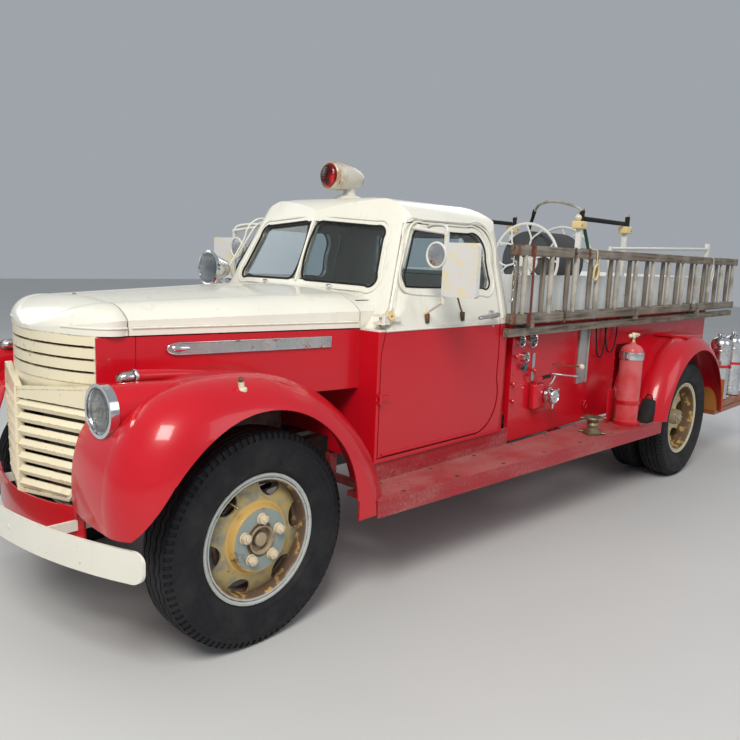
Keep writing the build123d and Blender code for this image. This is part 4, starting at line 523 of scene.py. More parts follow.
    rear = ((0.0, 0.25, ochre, 0.5), (0.0, 0.25, rust, 0.2), (0.05, 0.1, rust, 0.8))
    # The band over the rim's well is laid dark brown: rust, with painted shade in the well.
    rim = ((0.2, 0.2545, dark_rust, 1), (0.2, 0.2545, ochre, 0.35), (0.263, 0.266, rust, 0.9))
    wheel_finish("Front_wheel_paint", AXLE_X, (0.44, 0.34, 0.14), front)
    wheel_finish("Rear_wheel_paint", REAR_AXLE_X, (0.66, 0.56, 0.32), rear)
    wheel_finish("Front_rim_paint", AXLE_X, (0.46, 0.49, 0.47), rim)
    wheel_finish("Rear_rim_paint", REAR_AXLE_X, (0.6, 0.55, 0.38), rim)
    seat_cover()
    ivory = Finish("Ivory", (0.78, 0.7, 0.52), 0.35, coat=0.5)
    ivory.tone(ivory.noise(60, 4), 0.85, 1.05)
    ivory.relief(ivory.noise(200, 3), 0.0002)
    dial = Finish("Dial_white", (0.75, 0.74, 0.68), 0.45)
    dial.tone(dial.noise(25, 5), 0.8, 1.04)
    dial.relief(dial.noise(300, 3), 0.0001)
    # Black dial faces; on the pump gauges this black is a painted dark reflection in their glass.
    black = Finish("Dial_black", (0.015, 0.015, 0.016), 0.4)
    black.tone(black.noise(25, 5), 0.8, 1.2)
    black.relief(black.noise(300, 3), 0.0001)
    ground = Finish("Studio_floor", (0.62, 0.62, 0.61), 0.55)
    ground.tone(ground.noise(0.8, 5), 0.97, 1.02)
    ground.relief(ground.noise(90, 4), 0.0004, 0.3)


# Which finish each carried-over node has
NODE_FINISH = {
    "Red_paint": "fenders_front rear_fenders hood_sides body_lower valance extinguisher_board dash",
    "Board_brown": "tailboard",
    "Beacon_paint": "beacon",
    "Mirror_back": "mirror_left mirror_right",
    "Worn_red": "running_boards",
    "Cream_paint": "bumper hood_left hood_right nose_cap",
    "Cab_paint": "cab_shell door_left door_right",
    "Grille_paint": "grille_lower grille_upper",
    "Bed_paint": "hose_bed handrails",
    "Black_frame": "frame_rails front_axle rear_axle knuckle_left knuckle_right tie_rod fuel_tank radiator",
    "Rusty_steel": "leaf_springs exhaust",
    "Cast_metal": "engine",
    "Front_wheel_paint": "wheel_front_left wheel_front_right",
    "Rear_wheel_paint": "wheel_rear_left wheel_rear_right",
    "Tyre_rubber": "tyre_front_left tyre_front_right tyres_rear_left tyres_rear_right",
    "Aged_bright": "side_strips",
    "Chrome": "headlamp_rings spotlight",
    "Lamp_glass": "headlamp_lenses",
    "Window_glass": "windshield rear_glass door_glass_left door_glass_right",
    "Black_plastic": "steering_wheel",
    "Bench_vinyl": "seat",
    "Grey_paint": "pump_fittings",
    "White_paint": "reel_frame hose_reel",
    "Hose_rubber": "hose_winding",
    "Black_rubber": "guide_rollers",
    "Silver_shell": "extinguishers",
    "Wood_along": "ladders ladder_rack",
}


class FIREENGINE_PG_sizes(bpy.types.PropertyGroup):
    """Sizes that can be changed before the operators run"""

    tread_depth: FloatProperty(
        name="Tread depth", description="Depth of the grooves in the tyres", default=0.011, min=0.002, max=0.02,
        unit="LENGTH",
    )
    nut_size: FloatProperty(
        name="Wheel nut", description="Width of a wheel nut across its flats", default=0.038, min=0.02, max=0.06,
        unit="LENGTH",
    )
    bead_radius: FloatProperty(
        name="Bead radius", description="Radius of the beads and welts on the cab", default=0.006, min=0.002, max=0.015,
        unit="LENGTH",
    )


class FIREENGINE_PG_colours(bpy.types.PropertyGroup):
    """Colours that can be changed before the operators run"""

    red: FloatVectorProperty(
        name="Body red", description="Red of the fenders, the body and the lower cab", default=(0.56, 0.004, 0.014),
        subtype="COLOR", min=0, max=1,
    )
    cream: FloatVectorProperty(
        name="Upper cream", description="Cream of the hood, the upper cab and the grilles", default=(0.84, 0.82, 0.72),
        subtype="COLOR", min=0, max=1,
    )
    bed: FloatVectorProperty(
        name="Bed white", description="Chalky white of the hose bed's sides", default=(0.8, 0.83, 0.82),
        subtype="COLOR", min=0, max=1,
    )


# Modelling helpers: each does what a hand does in Blender's edit mode
def alone(obj):
    """Leaves edit mode and selects only this object."""
    if bpy.context.mode != "OBJECT":
        bpy.ops.object.mode_set(mode="OBJECT")
    bpy.ops.object.select_all(action="DESELECT")
    if obj is not None:
        obj.select_set(True)
        bpy.context.view_layer.objects.active = obj


def edit_all(obj):
    """Enters edit mode with everything selected."""
    alone(obj)
    bpy.ops.object.mode_set(mode="EDIT")
    bpy.ops.mesh.select_all(action="SELECT")


def pick(obj, kind, test):
    """Enters edit mode and selects the vertices, edges or faces whose middle passes the test."""
    alone(obj)
    bpy.ops.object.mode_set(mode="EDIT")
    bpy.ops.mesh.select_mode(type=kind)
    bpy.ops.mesh.select_all(action="DESELECT")
    mesh = bmesh.from_edit_mesh(obj.data)
    for item in {"VERT": mesh.verts, "EDGE": mesh.edges, "FACE": mesh.faces}[kind]:
        if kind == "VERT":
            middle = item.co
        elif kind == "EDGE":
            middle = (item.verts[0].co + item.verts[1].co) / 2
        else:
            middle = item.calc_center_median()
        if test(middle):
            item.select_set(True)
    mesh.select_flush_mode()
    bmesh.update_edit_mesh(obj.data)


def chain(name, points):
    """A row of joined points, drawn by extruding one vertex from place to place."""
    alone(None)
    bpy.ops.mesh.primitive_plane_add(size=0.01)
    obj = bpy.context.object
    obj.name = obj.data.name = name
    bpy.ops.object.mode_set(mode="EDIT")
    bpy.ops.mesh.select_mode(type="VERT")
    bpy.ops.mesh.merge(type="CENTER")
    bpy.ops.transform.translate(value=points[0])
    for here, there in zip(points, points[1:]):
        step = Vector(there) - Vector(here)
        bpy.ops.mesh.extrude_vertices_move(TRANSFORM_OT_translate={"value": step})
    return obj


def tidy(obj):
    """Merges doubles and turns all faces outwards."""
    edit_all(obj)
    bpy.ops.mesh.remove_doubles(threshold=0.00002)
    bpy.ops.mesh.normals_make_consistent(inside=False)
    bpy.ops.object.mode_set(mode="OBJECT")
    return obj


def modify(obj, kind, **settings):
    """Adds a modifier, sets it up and applies it."""
    alone(obj)
    bpy.ops.object.modifier_add(type=kind)
    modifier = obj.modifiers[-1]
    for key, value in settings.items():
        setattr(modifier, key, value)
    bpy.ops.object.modifier_apply(modifier=modifier.name)


AXES = {"X": (1, 0, 0), "Y": (0, 1, 0), "Z": (0, 0, 1)}


def lathe(name, rows, steps=32, centre=(0, 0, 0), axis="Z"):
    """Spins a profile of (radius, distance along) rows round an axis through the centre."""
    along = Vector(AXES[axis] if isinstance(axis, str) else axis).normalized()
    out = along.orthogonal().normalized()
    middle = Vector(centre)
    obj = chain(name, [middle + out * radius + along * distance for radius, distance in rows])
    bpy.ops.mesh.select_all(action="SELECT")
    bpy.ops.mesh.spin(steps=steps, angle=math.tau, center=middle, axis=along)
    return tidy(obj)


def mm(*rows):
    """A profile in metres from rows of (radius, distance along) in millimetres."""
    return [(radius / 1000, along / 1000) for radius, along in rows]


def rounded(radius, start, end, soft=0.002):
    """Profile of a solid round bar with softened ends."""
    return [
        (0, start), (radius - soft, start), (radius, start + soft), (radius, end - soft), (radius - soft, end),
        (0, end),
    ]


def peg(name, a, b, radius, steps=20, soft=0.0015):
    """A straight round bar between two points."""
    reach = Vector(b) - Vector(a)
    return lathe(name, rounded(radius, 0, reach.length, soft), steps, a, reach)


def behind(*points):
    """Points whose first number is the distance behind the front axle."""
    return [(AXLE_X - back, *others) for back, *others in points]


def angles(count, ends=0):
    """Angles all the way round in equal steps, with the first one again where ends is 1."""
    return [math.tau * i / count for i in range(count + ends)]


def ball_rows(radius, steps, middle=0.0):
    """Profile of a ball."""
    halves = [math.pi * i / steps for i in range(steps + 1)]
    return [(radius * math.sin(a), middle - radius * math.cos(a)) for a in halves]


def ring_rows(radius, wide, deep, steps):
    """Profile of a ring with an oval section."""
    return [(radius + wide * math.cos(a), deep * math.sin(a)) for a in angles(steps, 1)]


def plate(name, edge, thickness):
    """A flat plate: a row of points round its edge, filled with a face and extruded."""
    obj = chain(name, edge)
    bpy.ops.mesh.select_all(action="SELECT")
    bpy.ops.mesh.edge_face_add()
    bpy.ops.mesh.select_all(action="SELECT")
    bpy.ops.mesh.extrude_region_move(TRANSFORM_OT_translate={"value": thickness})
    return tidy(obj)


def bar(name, low, high, soft=0.003, segments=2):
    """A rectangular bar between two corners, its edges rounded."""
    alone(None)
    middle = [(a + b) / 2 for a, b in zip(low, high)]
    size = [abs(b - a) for a, b in zip(low, high)]
    bpy.ops.mesh.primitive_cube_add(size=1, location=middle, scale=size)
    obj = bpy.context.object
    obj.name = obj.data.name = name
    bpy.ops.object.transform_apply(location=True, rotation=True, scale=True)
    edit_all(obj)
    bpy.ops.mesh.bevel(offset=soft, segments=segments, affect="EDGES")
    bpy.ops.object.mode_set(mode="OBJECT")
    return obj


def tube(name, points, radius, closed=False, smooth=True, sides=4):
    """A bent tube along points, its ends capped."""
    alone(None)
    bpy.ops.curve.primitive_nurbs_path_add()
    obj = bpy.context.object
    obj.name = name
    curve = obj.data
    curve.splines.clear()
    spline = curve.splines.new("NURBS" if smooth else "POLY")
    spline.points.add(len(points) - 1)
    for target, place in zip(spline.points, points):
        target.co = (*place, 1)
    spline.use_cyclic_u = closed
    if smooth:
        spline.order_u = 3
        spline.use_endpoint_u = not closed
    curve.resolution_u = 5
    curve.bevel_depth = radius
    curve.bevel_resolution = sides
    curve.use_fill_caps = not closed
    bpy.ops.object.convert(target="MESH")
    return tidy(obj)


def touch(node, start, way):
    """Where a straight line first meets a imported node."""
    return NODES[node].ray_cast(Vector(start), Vector(way).normalized())[1]


def joined(name, *pieces):
    """Joins pieces into one mesh."""
    alone(pieces[0])
    for piece in pieces[1:]:
        piece.select_set(True)
    if len(pieces) > 1:
        bpy.ops.object.join()
    pieces[0].name = pieces[0].data.name = name
    return pieces[0]


def again(obj, place, name=None):
    """A copy with its own mesh, moved or mirrored by a matrix."""
    twin = obj.copy()
    twin.data = obj.data.copy()
    twin.name = name or obj.name
    bpy.context.collection.objects.link(twin)
    twin.data.transform(place)
    if place.determinant() < 0:
        twin.data.flip_normals()
    return twin


MIRROR = Matrix.Scale(-1, 4, (0, 1, 0))
# The part's material slot of each finish that stands for one
SLOTS = {
    "Red_paint": "red_paint", "Worn_red": "red_paint", "Cream_paint": "cream_paint", "Grille_paint": "grille_paint",
    "Bed_paint": "grey_white_paint", "White_paint": "white_paint", "Black_frame": "frame_black", "Tyre_rubber": "tyre",
    "Window_glass": "window_glass", "Lamp_glass": "lamp_glass", "Bench_vinyl": "seat_vinyl", "Chrome": "chrome_old",
    "Black_plastic": "black_plastic", "Black_rubber": "hose_rubber", "Hose_rubber": "hose_rubber",
    "Wood_along": "ladder_wood", "Wood_upright": "ladder_wood", "Rusty_steel": "rusty_steel", "Cast_metal": "cast_grey",
    "Silver_shell": "bright_metal", "Front_wheel_paint": "wheel_cream", "Rear_wheel_paint": "wheel_cream",
    "Front_rim_paint": "wheel_cream", "Rear_rim_paint": "wheel_cream",
}


def finished(obj, finish, body="vehicle", angle=35, replaces=()):
    """Gives a piece its finish, its smooth shading and the body that it rides on."""
    alone(obj)
    bpy.ops.object.transform_apply(location=True, rotation=True, scale=True)
    bpy.ops.object.shade_smooth_by_angle(angle=math.radians(angle))
    obj.data.materials.clear()
    obj.data.materials.append(bpy.data.materials[finish])
    if finish in SLOTS:
        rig.slot(obj, SLOTS[finish])
    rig.ride(obj, body)
    if replaces:
        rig.replaces(obj, *replaces)
    return obj


def group(name, pieces, finish, body="vehicle", angle=35, replaces=()):
    """Joins pieces and finishes them as one."""
    return finished(joined(name, *pieces), finish, body, angle, replaces)


def both_sides(obj, finish, left="vehicle", right="vehicle", angle=35, replace_left=(), replace_right=()):
    """Finishes a left piece and its mirrored twin."""
    twin = again(obj, MIRROR, obj.name + "_right")
    obj.name = obj.name + "_left"
    finished(obj, finish, left, angle, replace_left)
    finished(twin, finish, right, angle, replace_right)


def arc(a, middle, b, steps=8):
    """Points of the circle's arc through three flat points, without the first."""
    (ax, ay), (bx, by), (cx, cy) = a, middle, b
    d = 2 * (ax * (by - cy) + bx * (cy - ay) + cx * (ay - by))
    ux = ((ax * ax + ay * ay) * (by - cy) + (bx * bx + by * by) * (cy - ay) + (cx * cx + cy * cy) * (ay - by)) / d
    uy = ((ax * ax + ay * ay) * (cx - bx) + (bx * bx + by * by) * (ax - cx) + (cx * cx + cy * cy) * (bx - ax)) / d
    radius = math.hypot(ax - ux, ay - uy)
    t0 = math.atan2(ay - uy, ax - ux)
    t1 = math.atan2(by - uy, bx - ux)
    t2 = math.atan2(cy - uy, cx - ux)
    if (t1 - t0) % math.tau < (t2 - t0) % math.tau:
        sweep = (t2 - t0) % math.tau
    else:
        sweep = -((t0 - t2) % math.tau)
    return [
        (ux + radius * math.cos(t0 + sweep * i / steps), uy + radius * math.sin(t0 + sweep * i / steps))
        for i in range(1, steps + 1)
    ]


def outline(start, *steps):
    """Flat points along lines (two numbers) and arcs (four numbers, the middle and the end)."""
    points = [start]
    for step in steps:
        if len(step) == 2:
            a, b = points[-1], step
            points += [(a[0] + (b[0] - a[0]) * i / 4, a[1] + (b[1] - a[1]) * i / 4) for i in (1, 2, 3, 4)]
        else:
            points += arc(points[-1], step[:2], step[2:])
    return points


def cab_side(z):
    """Half width of the cab at a height."""
    if z < 1.3:
        return 0.755
    if z < 1.4:
        return 0.755 - 0.22 * (z - 1.3)
    return 0.733 - 0.2383 * (z - 1.4)


def cab_front(y, z):
    """How far forward the windshield's plane is at a place."""
    middle = AXLE_X - 0.832 - 0.3733 * (z - 1.4)
    corner = AXLE_X - 0.88 - 0.475 * (z - 1.4)
    return middle + (corner - middle) * abs(y) / cab_side(z)


def on_side(points, proud):
    """Lays flat points (x, z) on the cab's side, standing out by a distance."""
    return [(x, cab_side(z) + proud, z) for x, z in points]


def grown(points, by):
    """Moves a closed flat outline outwards."""
    mx = sum(p[0] for p in points) / len(points)
    mz = sum(p[1] for p in points) / len(points)
    result = []
    for i, (x, z) in enumerate(points):
        px, pz = points[i - 1]
        nx, nz = points[(i + 1) % len(points)]
        tx, tz = nx - px, nz - pz
        size = math.hypot(tx, tz) or 1
        ox, oz = tz / size, -tx / size
        if ox * (x - mx) + oz * (z - mz) < 0:
            ox, oz = -ox, -oz
        result.append((x + ox * by, z + oz * by))
    return result


SIDE_WINDOW = outline(
    (AXLE_X - 0.99, 1.5), (AXLE_X - 0.984, 1.545, AXLE_X - 1.01, 1.6), (AXLE_X - 1.095, 1.755),
    (AXLE_X - 1.116, 1.782, AXLE_X - 1.18, 1.79), (AXLE_X - 1.58, 1.79), (AXLE_X - 1.69, 1.77, AXLE_X - 1.715, 1.65),
    (AXLE_X - 1.722, 1.56), (AXLE_X - 1.715, 1.5, AXLE_X - 1.65, 1.495),
)
FRONT_WINDOW = outline(
    (0.014, 1.506), (0.495, 1.5), (0.54, 1.5, 0.545, 1.56), (0.505, 1.74), (0.495, 1.79, 0.44, 1.805), (0.014, 1.832)
)
REAR_WINDOW = outline(
    (-0.33, 1.54), (0.33, 1.54), (0.38, 1.545, 0.38, 1.6), (0.37, 1.72), (0.36, 1.775, 0.3, 1.78),
    (-0.3, 1.78), (-0.36, 1.775, -0.37, 1.72), (-0.38, 1.6), (-0.38, 1.545, -0.33, 1.54),
)


# Wheels
def tyre(centre, depth):
    """Tyre with zigzag grooves, shoulder lugs and raised rings on its walls."""
    side = mm(
        (254, 66.7), (270, 70), (284, 69), (287, 74.5), (292, 79), (302, 86.5), (306, 90), (310, 89.5), (330, 97.5),
        (350, 101), (372, 101.8), (376, 102.5), (380, 101.2), (402, 98.5), (406, 99.5), (410, 97.5), (424, 93.5),
        (428, 94.5), (432, 92), (441, 88.5), (450, 85), (457, 81), (460.5, 75),
    )
    tread = []
    for middle, half in ((0.053, 0.0035), (0.02, 0.0035)):
        tread += [(0.4625, middle + half + 0.001), (0.4625 - depth, middle + half - 0.001)]
        tread += [(0.4635 - depth, middle - half + 0.001), (0.4635, middle - half - 0.001)]
    half = side + tread + [(0.465, 0.0)]
    rows = half + [(r, -y) for r, y in reversed(half[:-1])]
    steps = 176
    obj = lathe("Tyre", rows + [rows[0]], steps, centre, "Y")

    def turn_of(place):
        return math.atan2(place.z - centre[2], place.x - centre[0]) / math.tau * steps

    for sign in (1, -1):
        pick(
            obj, "VERT",
            lambda p: math.hypot(p.x - centre[0], p.z - centre[2]) > 0.4635 - depth - 0.003
            and 0.012 < abs(p.y - centre[1]) < 0.062 and (round(turn_of(p)) % 4 < 2) == (sign > 0),
        )
        bpy.ops.transform.translate(value=(0, 0.0035 * sign, 0))
    for sign in (1, -1):
        pick(
            obj, "FACE",
            lambda p: 0.434 < math.hypot(p.x - centre[0], p.z - centre[2]) < 0.4625
            and (p.y - centre[1]) * sign > 0.0745 and math.floor(turn_of(p)) % 2 == 0,
        )
        bpy.ops.mesh.extrude_region_shrink_fatten(TRANSFORM_OT_shrink_fatten={"value": -0.006})
    bpy.ops.object.mode_set(mode="OBJECT")
    return tidy(obj)


class FIREENGINE_OT_tyres(bpy.types.Operator):
    """Tyres with grooved treads on all six rims"""

    bl_idname = "fire_engine.tyres"
    bl_label = "Tyres"

    def execute(self, context):
        depth = context.scene.fire_engine_sizes.tread_depth
        front = tyre((AXLE_X, FRONT_WHEEL_Y, AXLE_Z), depth)
        back = REAR_AXLE_X - AXLE_X
        rear = [again(front, Matrix.Translation((back, y - FRONT_WHEEL_Y, 0))) for y in (OUTER_WHEEL_Y, INNER_WHEEL_Y)]
        pair = joined("Tyres_rear", *rear)
        front.name = "Tyre_front"
        both_sides(
            front, "Tyre_rubber", "wheel_front_left", "wheel_front_right", 30, ["tyre_front_left"],
            ["tyre_front_right"],
        )
        both_sides(
            pair, "Tyre_rubber", "wheel_rear_left", "wheel_rear_right", 30, ["tyres_rear_left"], ["tyres_rear_right"],
        )
        return {"FINISHED"}


def wheel_nut(width, place):
    """Hexagon nut with a washer face and the end of its stud."""
    x, y, z = place
    nut = lathe(
        "Nut", [(0, 0), (width * 0.62, 0), (width * 0.66, 0.003), (width * 0.56, 0.006), (0, 0.006)], 24, place, "Y",
    )
    alone(None)
    bpy.ops.mesh.primitive_cylinder_add(
        vertices=6, radius=width / math.sqrt(3), depth=0.022, location=(x, y + 0.016, z), rotation=(math.pi / 2, 0, 0)
    )
    hexagon = bpy.context.object
    bpy.ops.object.transform_apply(location=True, rotation=True, scale=True)
    edit_all(hexagon)
    bpy.ops.mesh.bevel(offset=0.0022, segments=2, affect="EDGES")
    bpy.ops.object.mode_set(mode="OBJECT")
    stud = lathe("Stud", rounded(width * 0.28, 0.02, 0.034, 0.002), 14, place, "Y")
    return joined("Nut", nut, hexagon, stud)


def ring_of(piece, count, centre):
    """Copies of a piece round a wheel's axis."""
    pieces = [piece]
    for i in range(1, count):
        spin = Matrix.Rotation(-math.tau * i / count, 4, "Y")
        pieces.append(again(piece, Matrix.Translation(centre) @ spin @ Matrix.Translation(-Vector(centre))))
    return joined(piece.name, *pieces)


def wheel_rim(x, y):
    """Rim with its two flanges, a drop well and the groove of its lock ring."""
    half = mm(
        (250, 66.5), (256, 73.5), (262.5, 74.5), (264.5, 70.5), (266.5, 74.5), (274, 78.5), (281.5, 77.5),
        (283.5, 73.5), (281, 69.5), (257, 66.5), (254, 61),
    )
    inner = mm((250, -66.5), (247, -60), (247, -30), (236, -22), (236, -2), (247, 4), (247, 60))
    far = [(r, -b) for r, b in reversed(half)]
    return lathe("Rim", [(r, y + b) for r, b in half + far + inner[1:] + half[:1]], 112, (x, 0, AXLE_Z), "Y")


def wheel_disc(x, y, way):
    """Pressed disc with a raised centre and half-round hand holes at its edge."""
    rows = mm(
        (247.2, 2), (240, 4), (215, 14), (176, 24), (158, 27), (150, 31), (143, 50), (138, 56.5), (131, 58), (66, 58),
        (62, 55), (62, 49), (128, 49), (135, 44), (142, 26), (150, 19), (176, 15), (212, 5), (240, -5), (247.2, -6),
        (247.2, 2),
    )
    disc = lathe("Disc", [(r, y + way * b) for r, b in rows], 100, (x, 0, AXLE_Z), "Y")
    holes = []
    hole_middle, hole_radius = 0.24, 0.06
    for i in range(6):
        angle = math.radians(70 - 60 * i)
        place = (x - hole_middle * math.cos(angle), y, AXLE_Z + hole_middle * math.sin(angle))
        holes.append(lathe("Hole", rounded(hole_radius, -0.05, 0.07, 0.001), 36, place, "Y"))
    cutter = joined("Holes", *holes)
    modify(disc, "BOOLEAN", object=cutter)
    bpy.data.objects.remove(cutter)
    return tidy(disc)


def wheel_valve(x, y):
    """Bent valve stem with its cap."""
    angle = math.radians(52)
    base = Vector((x + 0.235 * math.cos(angle), y + 0.035, AXLE_Z + 0.235 * math.sin(angle)))
    bend = [base + Vector(place) for place in ((0, 0, 0), (-0.004, 0.022, -0.004), (-0.012, 0.045, -0.014))]
    cap = [base + Vector(place) for place in ((-0.012, 0.044, -0.014), (-0.016, 0.056, -0.019))]
    return joined("Valve", tube("Valve", bend, 0.0042), peg("Valve_cap", *cap, 0.0058, 12))


class FIREENGINE_OT_wheels(bpy.types.Operator):
    """Rims, discs with hand holes, hubs, brake drums, nuts and valves"""

    bl_idname = "fire_engine.wheels"
    bl_label = "Wheels"

    def execute(self, context):
        size = context.scene.fire_engine_sizes.nut_size
        for name, x, y, disc_y, way, face in (
            ("front", AXLE_X, FRONT_WHEEL_Y, 0.763, 1, 0.821), ("rear", REAR_AXLE_X, OUTER_WHEEL_Y, 0.925, -1, 0.876)
        ):
            centre = (x, 0, AXLE_Z)
            left, right = f"wheel_{name}_left", f"wheel_{name}_right"
            rims = [wheel_rim(x, y)]
            discs = [wheel_disc(x, disc_y, way)]
            if name == "rear":
                rims.append(wheel_rim(x, INNER_WHEEL_Y))
                discs.append(wheel_disc(x, 0.79, 1))
                hub_rows = mm((0, 625), (78, 625), (78, 893), (74, 901), (62, 905), (60, 990), (56, 998), (0, 998))
                drum_rows = mm((79, 642), (203, 642), (203, 732), (195, 738), (79, 738), (79, 642))
                parts = [lathe(
                    "Axle_flange",
                    mm((0, 998.5), (56, 998.5), (57, 1006), (48, 1009), (30, 1010), (26, 1018), (0, 1020)), 40, centre,
                    "Y",
                )]
                flange_y = 1.006
                bolt = wheel_nut(0.013, (x, flange_y, AXLE_Z + 0.043))
                there, back = Matrix.Translation((0, flange_y, 0)), Matrix.Translation((0, -flange_y, 0))
                bolt.data.transform(there @ Matrix.Scale(0.4, 4, (0, 1, 0)) @ back)
                parts.append(ring_of(bolt, 8, centre))
            else:
                hub_rows = mm(
                    (0, 705.5), (60, 705.5), (60, 820), (63.5, 824), (62, 829), (55, 829), (53, 825), (50, 802),
                    (33, 798), (31, 801), (30, 821), (26, 826), (10, 828), (0, 828),
                )
                drum_rows = mm((61, 714), (187, 714), (187, 744), (180, 749), (61, 749), (61, 714))
                parts = []
            both_sides(joined("Rim_" + name, *rims), f"{name.title()}_rim_paint", left, right, 35, [left], [right])
            both_sides(joined("Disc_" + name, *discs), f"{name.title()}_wheel_paint", left, right)
            hub = lathe("Hub", hub_rows, 48, centre, "Y")
            both_sides(joined("Hub_" + name, hub, *parts), "Hub_rust", left, right)
            both_sides(lathe("Drum_" + name, drum_rows, 64, centre, "Y"), "Cast_metal", left, right)
            nuts = ring_of(wheel_nut(size, (x, face, AXLE_Z + 0.092)), 5, centre)
            nuts.name = "Nuts_" + name
            both_sides(nuts, "Nut_steel", left, right)
            valve = wheel_valve(x, y)
            valve.name = "Valve_" + name
            both_sides(valve, "Brass", left, right)
        return {"FINISHED"}


# Lamps
class FIREENGINE_OT_lamps(bpy.types.Operator):
    """Fluted head lamps, parking lamps, beacon, spotlight and tail lamps"""

    bl_idname = "fire_engine.lamps"
    bl_label = "Lamps"

    def execute(self, context):
        head = (AXLE_X + 0.56, 0.6, 1.05)
        rows = mm(
            (88, 13), (88.5, 22), (80, 26.5), (60, 32.5), (35, 36.5), (0, 38), (0, 34.5), (35, 33), (60, 29),
            (80, 22.5), (84, 13), (88, 13),
        )
        both_sides(lathe("Headlamp_lens", rows, 64, head, "X"), "Lamp_glass", replace_left=["headlamp_lenses"])
        bowl = lathe(
            "Reflector", mm((83, 20.5), (60, 14.5), (22, 12.5), (0, 12.5), (0, 12.2), (84, 12.2), (83, 20.5)), 64, head,
            "X",
        )
        both_sides(bowl, "Mirror_glass")
        bulb = lathe("Head_bulb", mm((0, 12.5), (10, 12.5), (12, 18), (11, 26), (6, 31.5), (0, 32.5)), 24, head, "X")
        both_sides(bulb, "Clear_glass")
        bead = lathe("Headlamp_bead", mm((87.5, 23), (91, 28.5), (95.5, 27.5), (96.5, 22.5), (87.5, 23)), 72, head, "X")
        screw = peg(
            "Rim_screw", (head[0] + 0.012, head[1], head[2] - 0.1015), (head[0] + 0.026, head[1], head[2] - 0.1015),
            0.0045, 12,
        )
        both_sides(joined("Headlamp_bead", bead, screw), "Chrome")
        park = (AXLE_X + 0.43, 0.57, 1.16)
        rows = mm((24.5, 0), (25.5, 12), (24.5, 40), (20.5, 58), (13, 69), (0, 73))
        both_sides(lathe("Parking_lens", [(0, 0), *rows], 32, park, "X"), "Frosted_lens")
        core = lathe("Parking_core", [(0, 0.002), *[(r * 0.72, 0.003 + d * 0.75) for r, d in rows]], 24, park, "X")
        both_sides(core, "Mirror_glass")
        rim = lathe("Parking_rim", mm((24.5, -6), (29, -6), (30, 2), (27.5, 6), (24.5, 4), (24.5, -6)), 40, park, "X")
        both_sides(rim, "Silver_shell")
        x, z = AXLE_X - 1.112, 2.09
        dome = lathe(
            "Beacon_lens", mm((0, 2), (64, 2), (66.5, 10), (61, 24), (46, 36), (25, 43), (0, 46)), 48, (x, 0, z), "X",
        )
        finished(dome, "Red_lens")
        rim = lathe(
            "Beacon_rim", mm((62, 0), (75, -8), (77.5, -2), (76.5, 10), (71, 15.5), (65.5, 13), (62, 0)), 56, (x, 0, z),
            "X",
        )
        finished(rim, "Beacon_paint")
        shell = lathe(
            "Beacon_shell", mm(
                (74.5, -10), (76, -30), (75.5, -70), (72.5, -120), (64, -170), (52, -210), (40, -236), (22, -252),
                (0, -258), (0, -200), (50, -150), (70, -50), (74.5, -10),
            ), 56, (x, 0, z), "X",
        )
        vents = [
            lathe(
                "Band", [(0.075, d), (0.0775, d + 0.002), (0.0775, d + 0.006), (0.075, d + 0.008)], 48, (x, 0, z), "X",
            )
            for d in (-0.04, -0.06)
        ]
        finished(joined("Beacon_shell", shell, *vents), "Beacon_paint", replaces=["beacon"])
        foot = lathe(
            "Beacon_foot", mm(
                (0, 1955), (85, 1955), (87, 1972), (70, 1984), (40, 1994), (34, 2010), (36, 2040), (45, 2062),
                (0, 2066),
            ), 40, (AXLE_X - 1.262, 0, 0), "Z",
        )
        finished(foot, "Mirror_back")
        spot = (AXLE_X - 0.8, -0.735, 1.535)
        glass_front = lathe(
            "Spot_lens", mm((93, 8), (75, 16.5), (45, 22), (0, 25), (0, 21.5), (45, 18.5), (75, 13), (88, 8), (93, 8)),
            56, spot, "X",
        )
        finished(glass_front, "Lamp_glass")
        bowl = lathe(
            "Spot_bowl", mm((91, 7.5), (60, 3.5), (20, 1.8), (0, 1.6), (0, 1.2), (91.5, 1.2), (91, 7.5)), 56, spot, "X",
        )
        finished(bowl, "Mirror_glass")
        ring = lathe(
            "Spot_ring", mm((90, -2), (104, -12), (110, -4), (109, 8), (101, 14), (93, 10), (90, -2)), 64, spot, "X",
        )
        finished(ring, "Chrome")
        back = lathe(
            "Spot_back", mm((56, -108), (50, -122), (34, -134), (14, -140), (0, -141), (0, -120), (56, -108)), 48, spot,
            "X",
        )
        finished(back, "Chrome")
        tail = (BODY_REAR - 0.001, 0.56, 0.95)
        housing = lathe(
            "Tail_lamp", mm((0, 0), (62, 0), (60, -30), (55, -42), (48, -44), (48, -40), (0, -40)), 40, tail, "X",
        )
        both_sides(housing, "Chrome")
        red = lathe("Tail_lens", mm((0, -38), (47.5, -38), (47, -46), (36, -56), (18, -61), (0, -62)), 40, tail, "X")
        both_sides(red, "Red_lens")
        return {"FINISHED"}


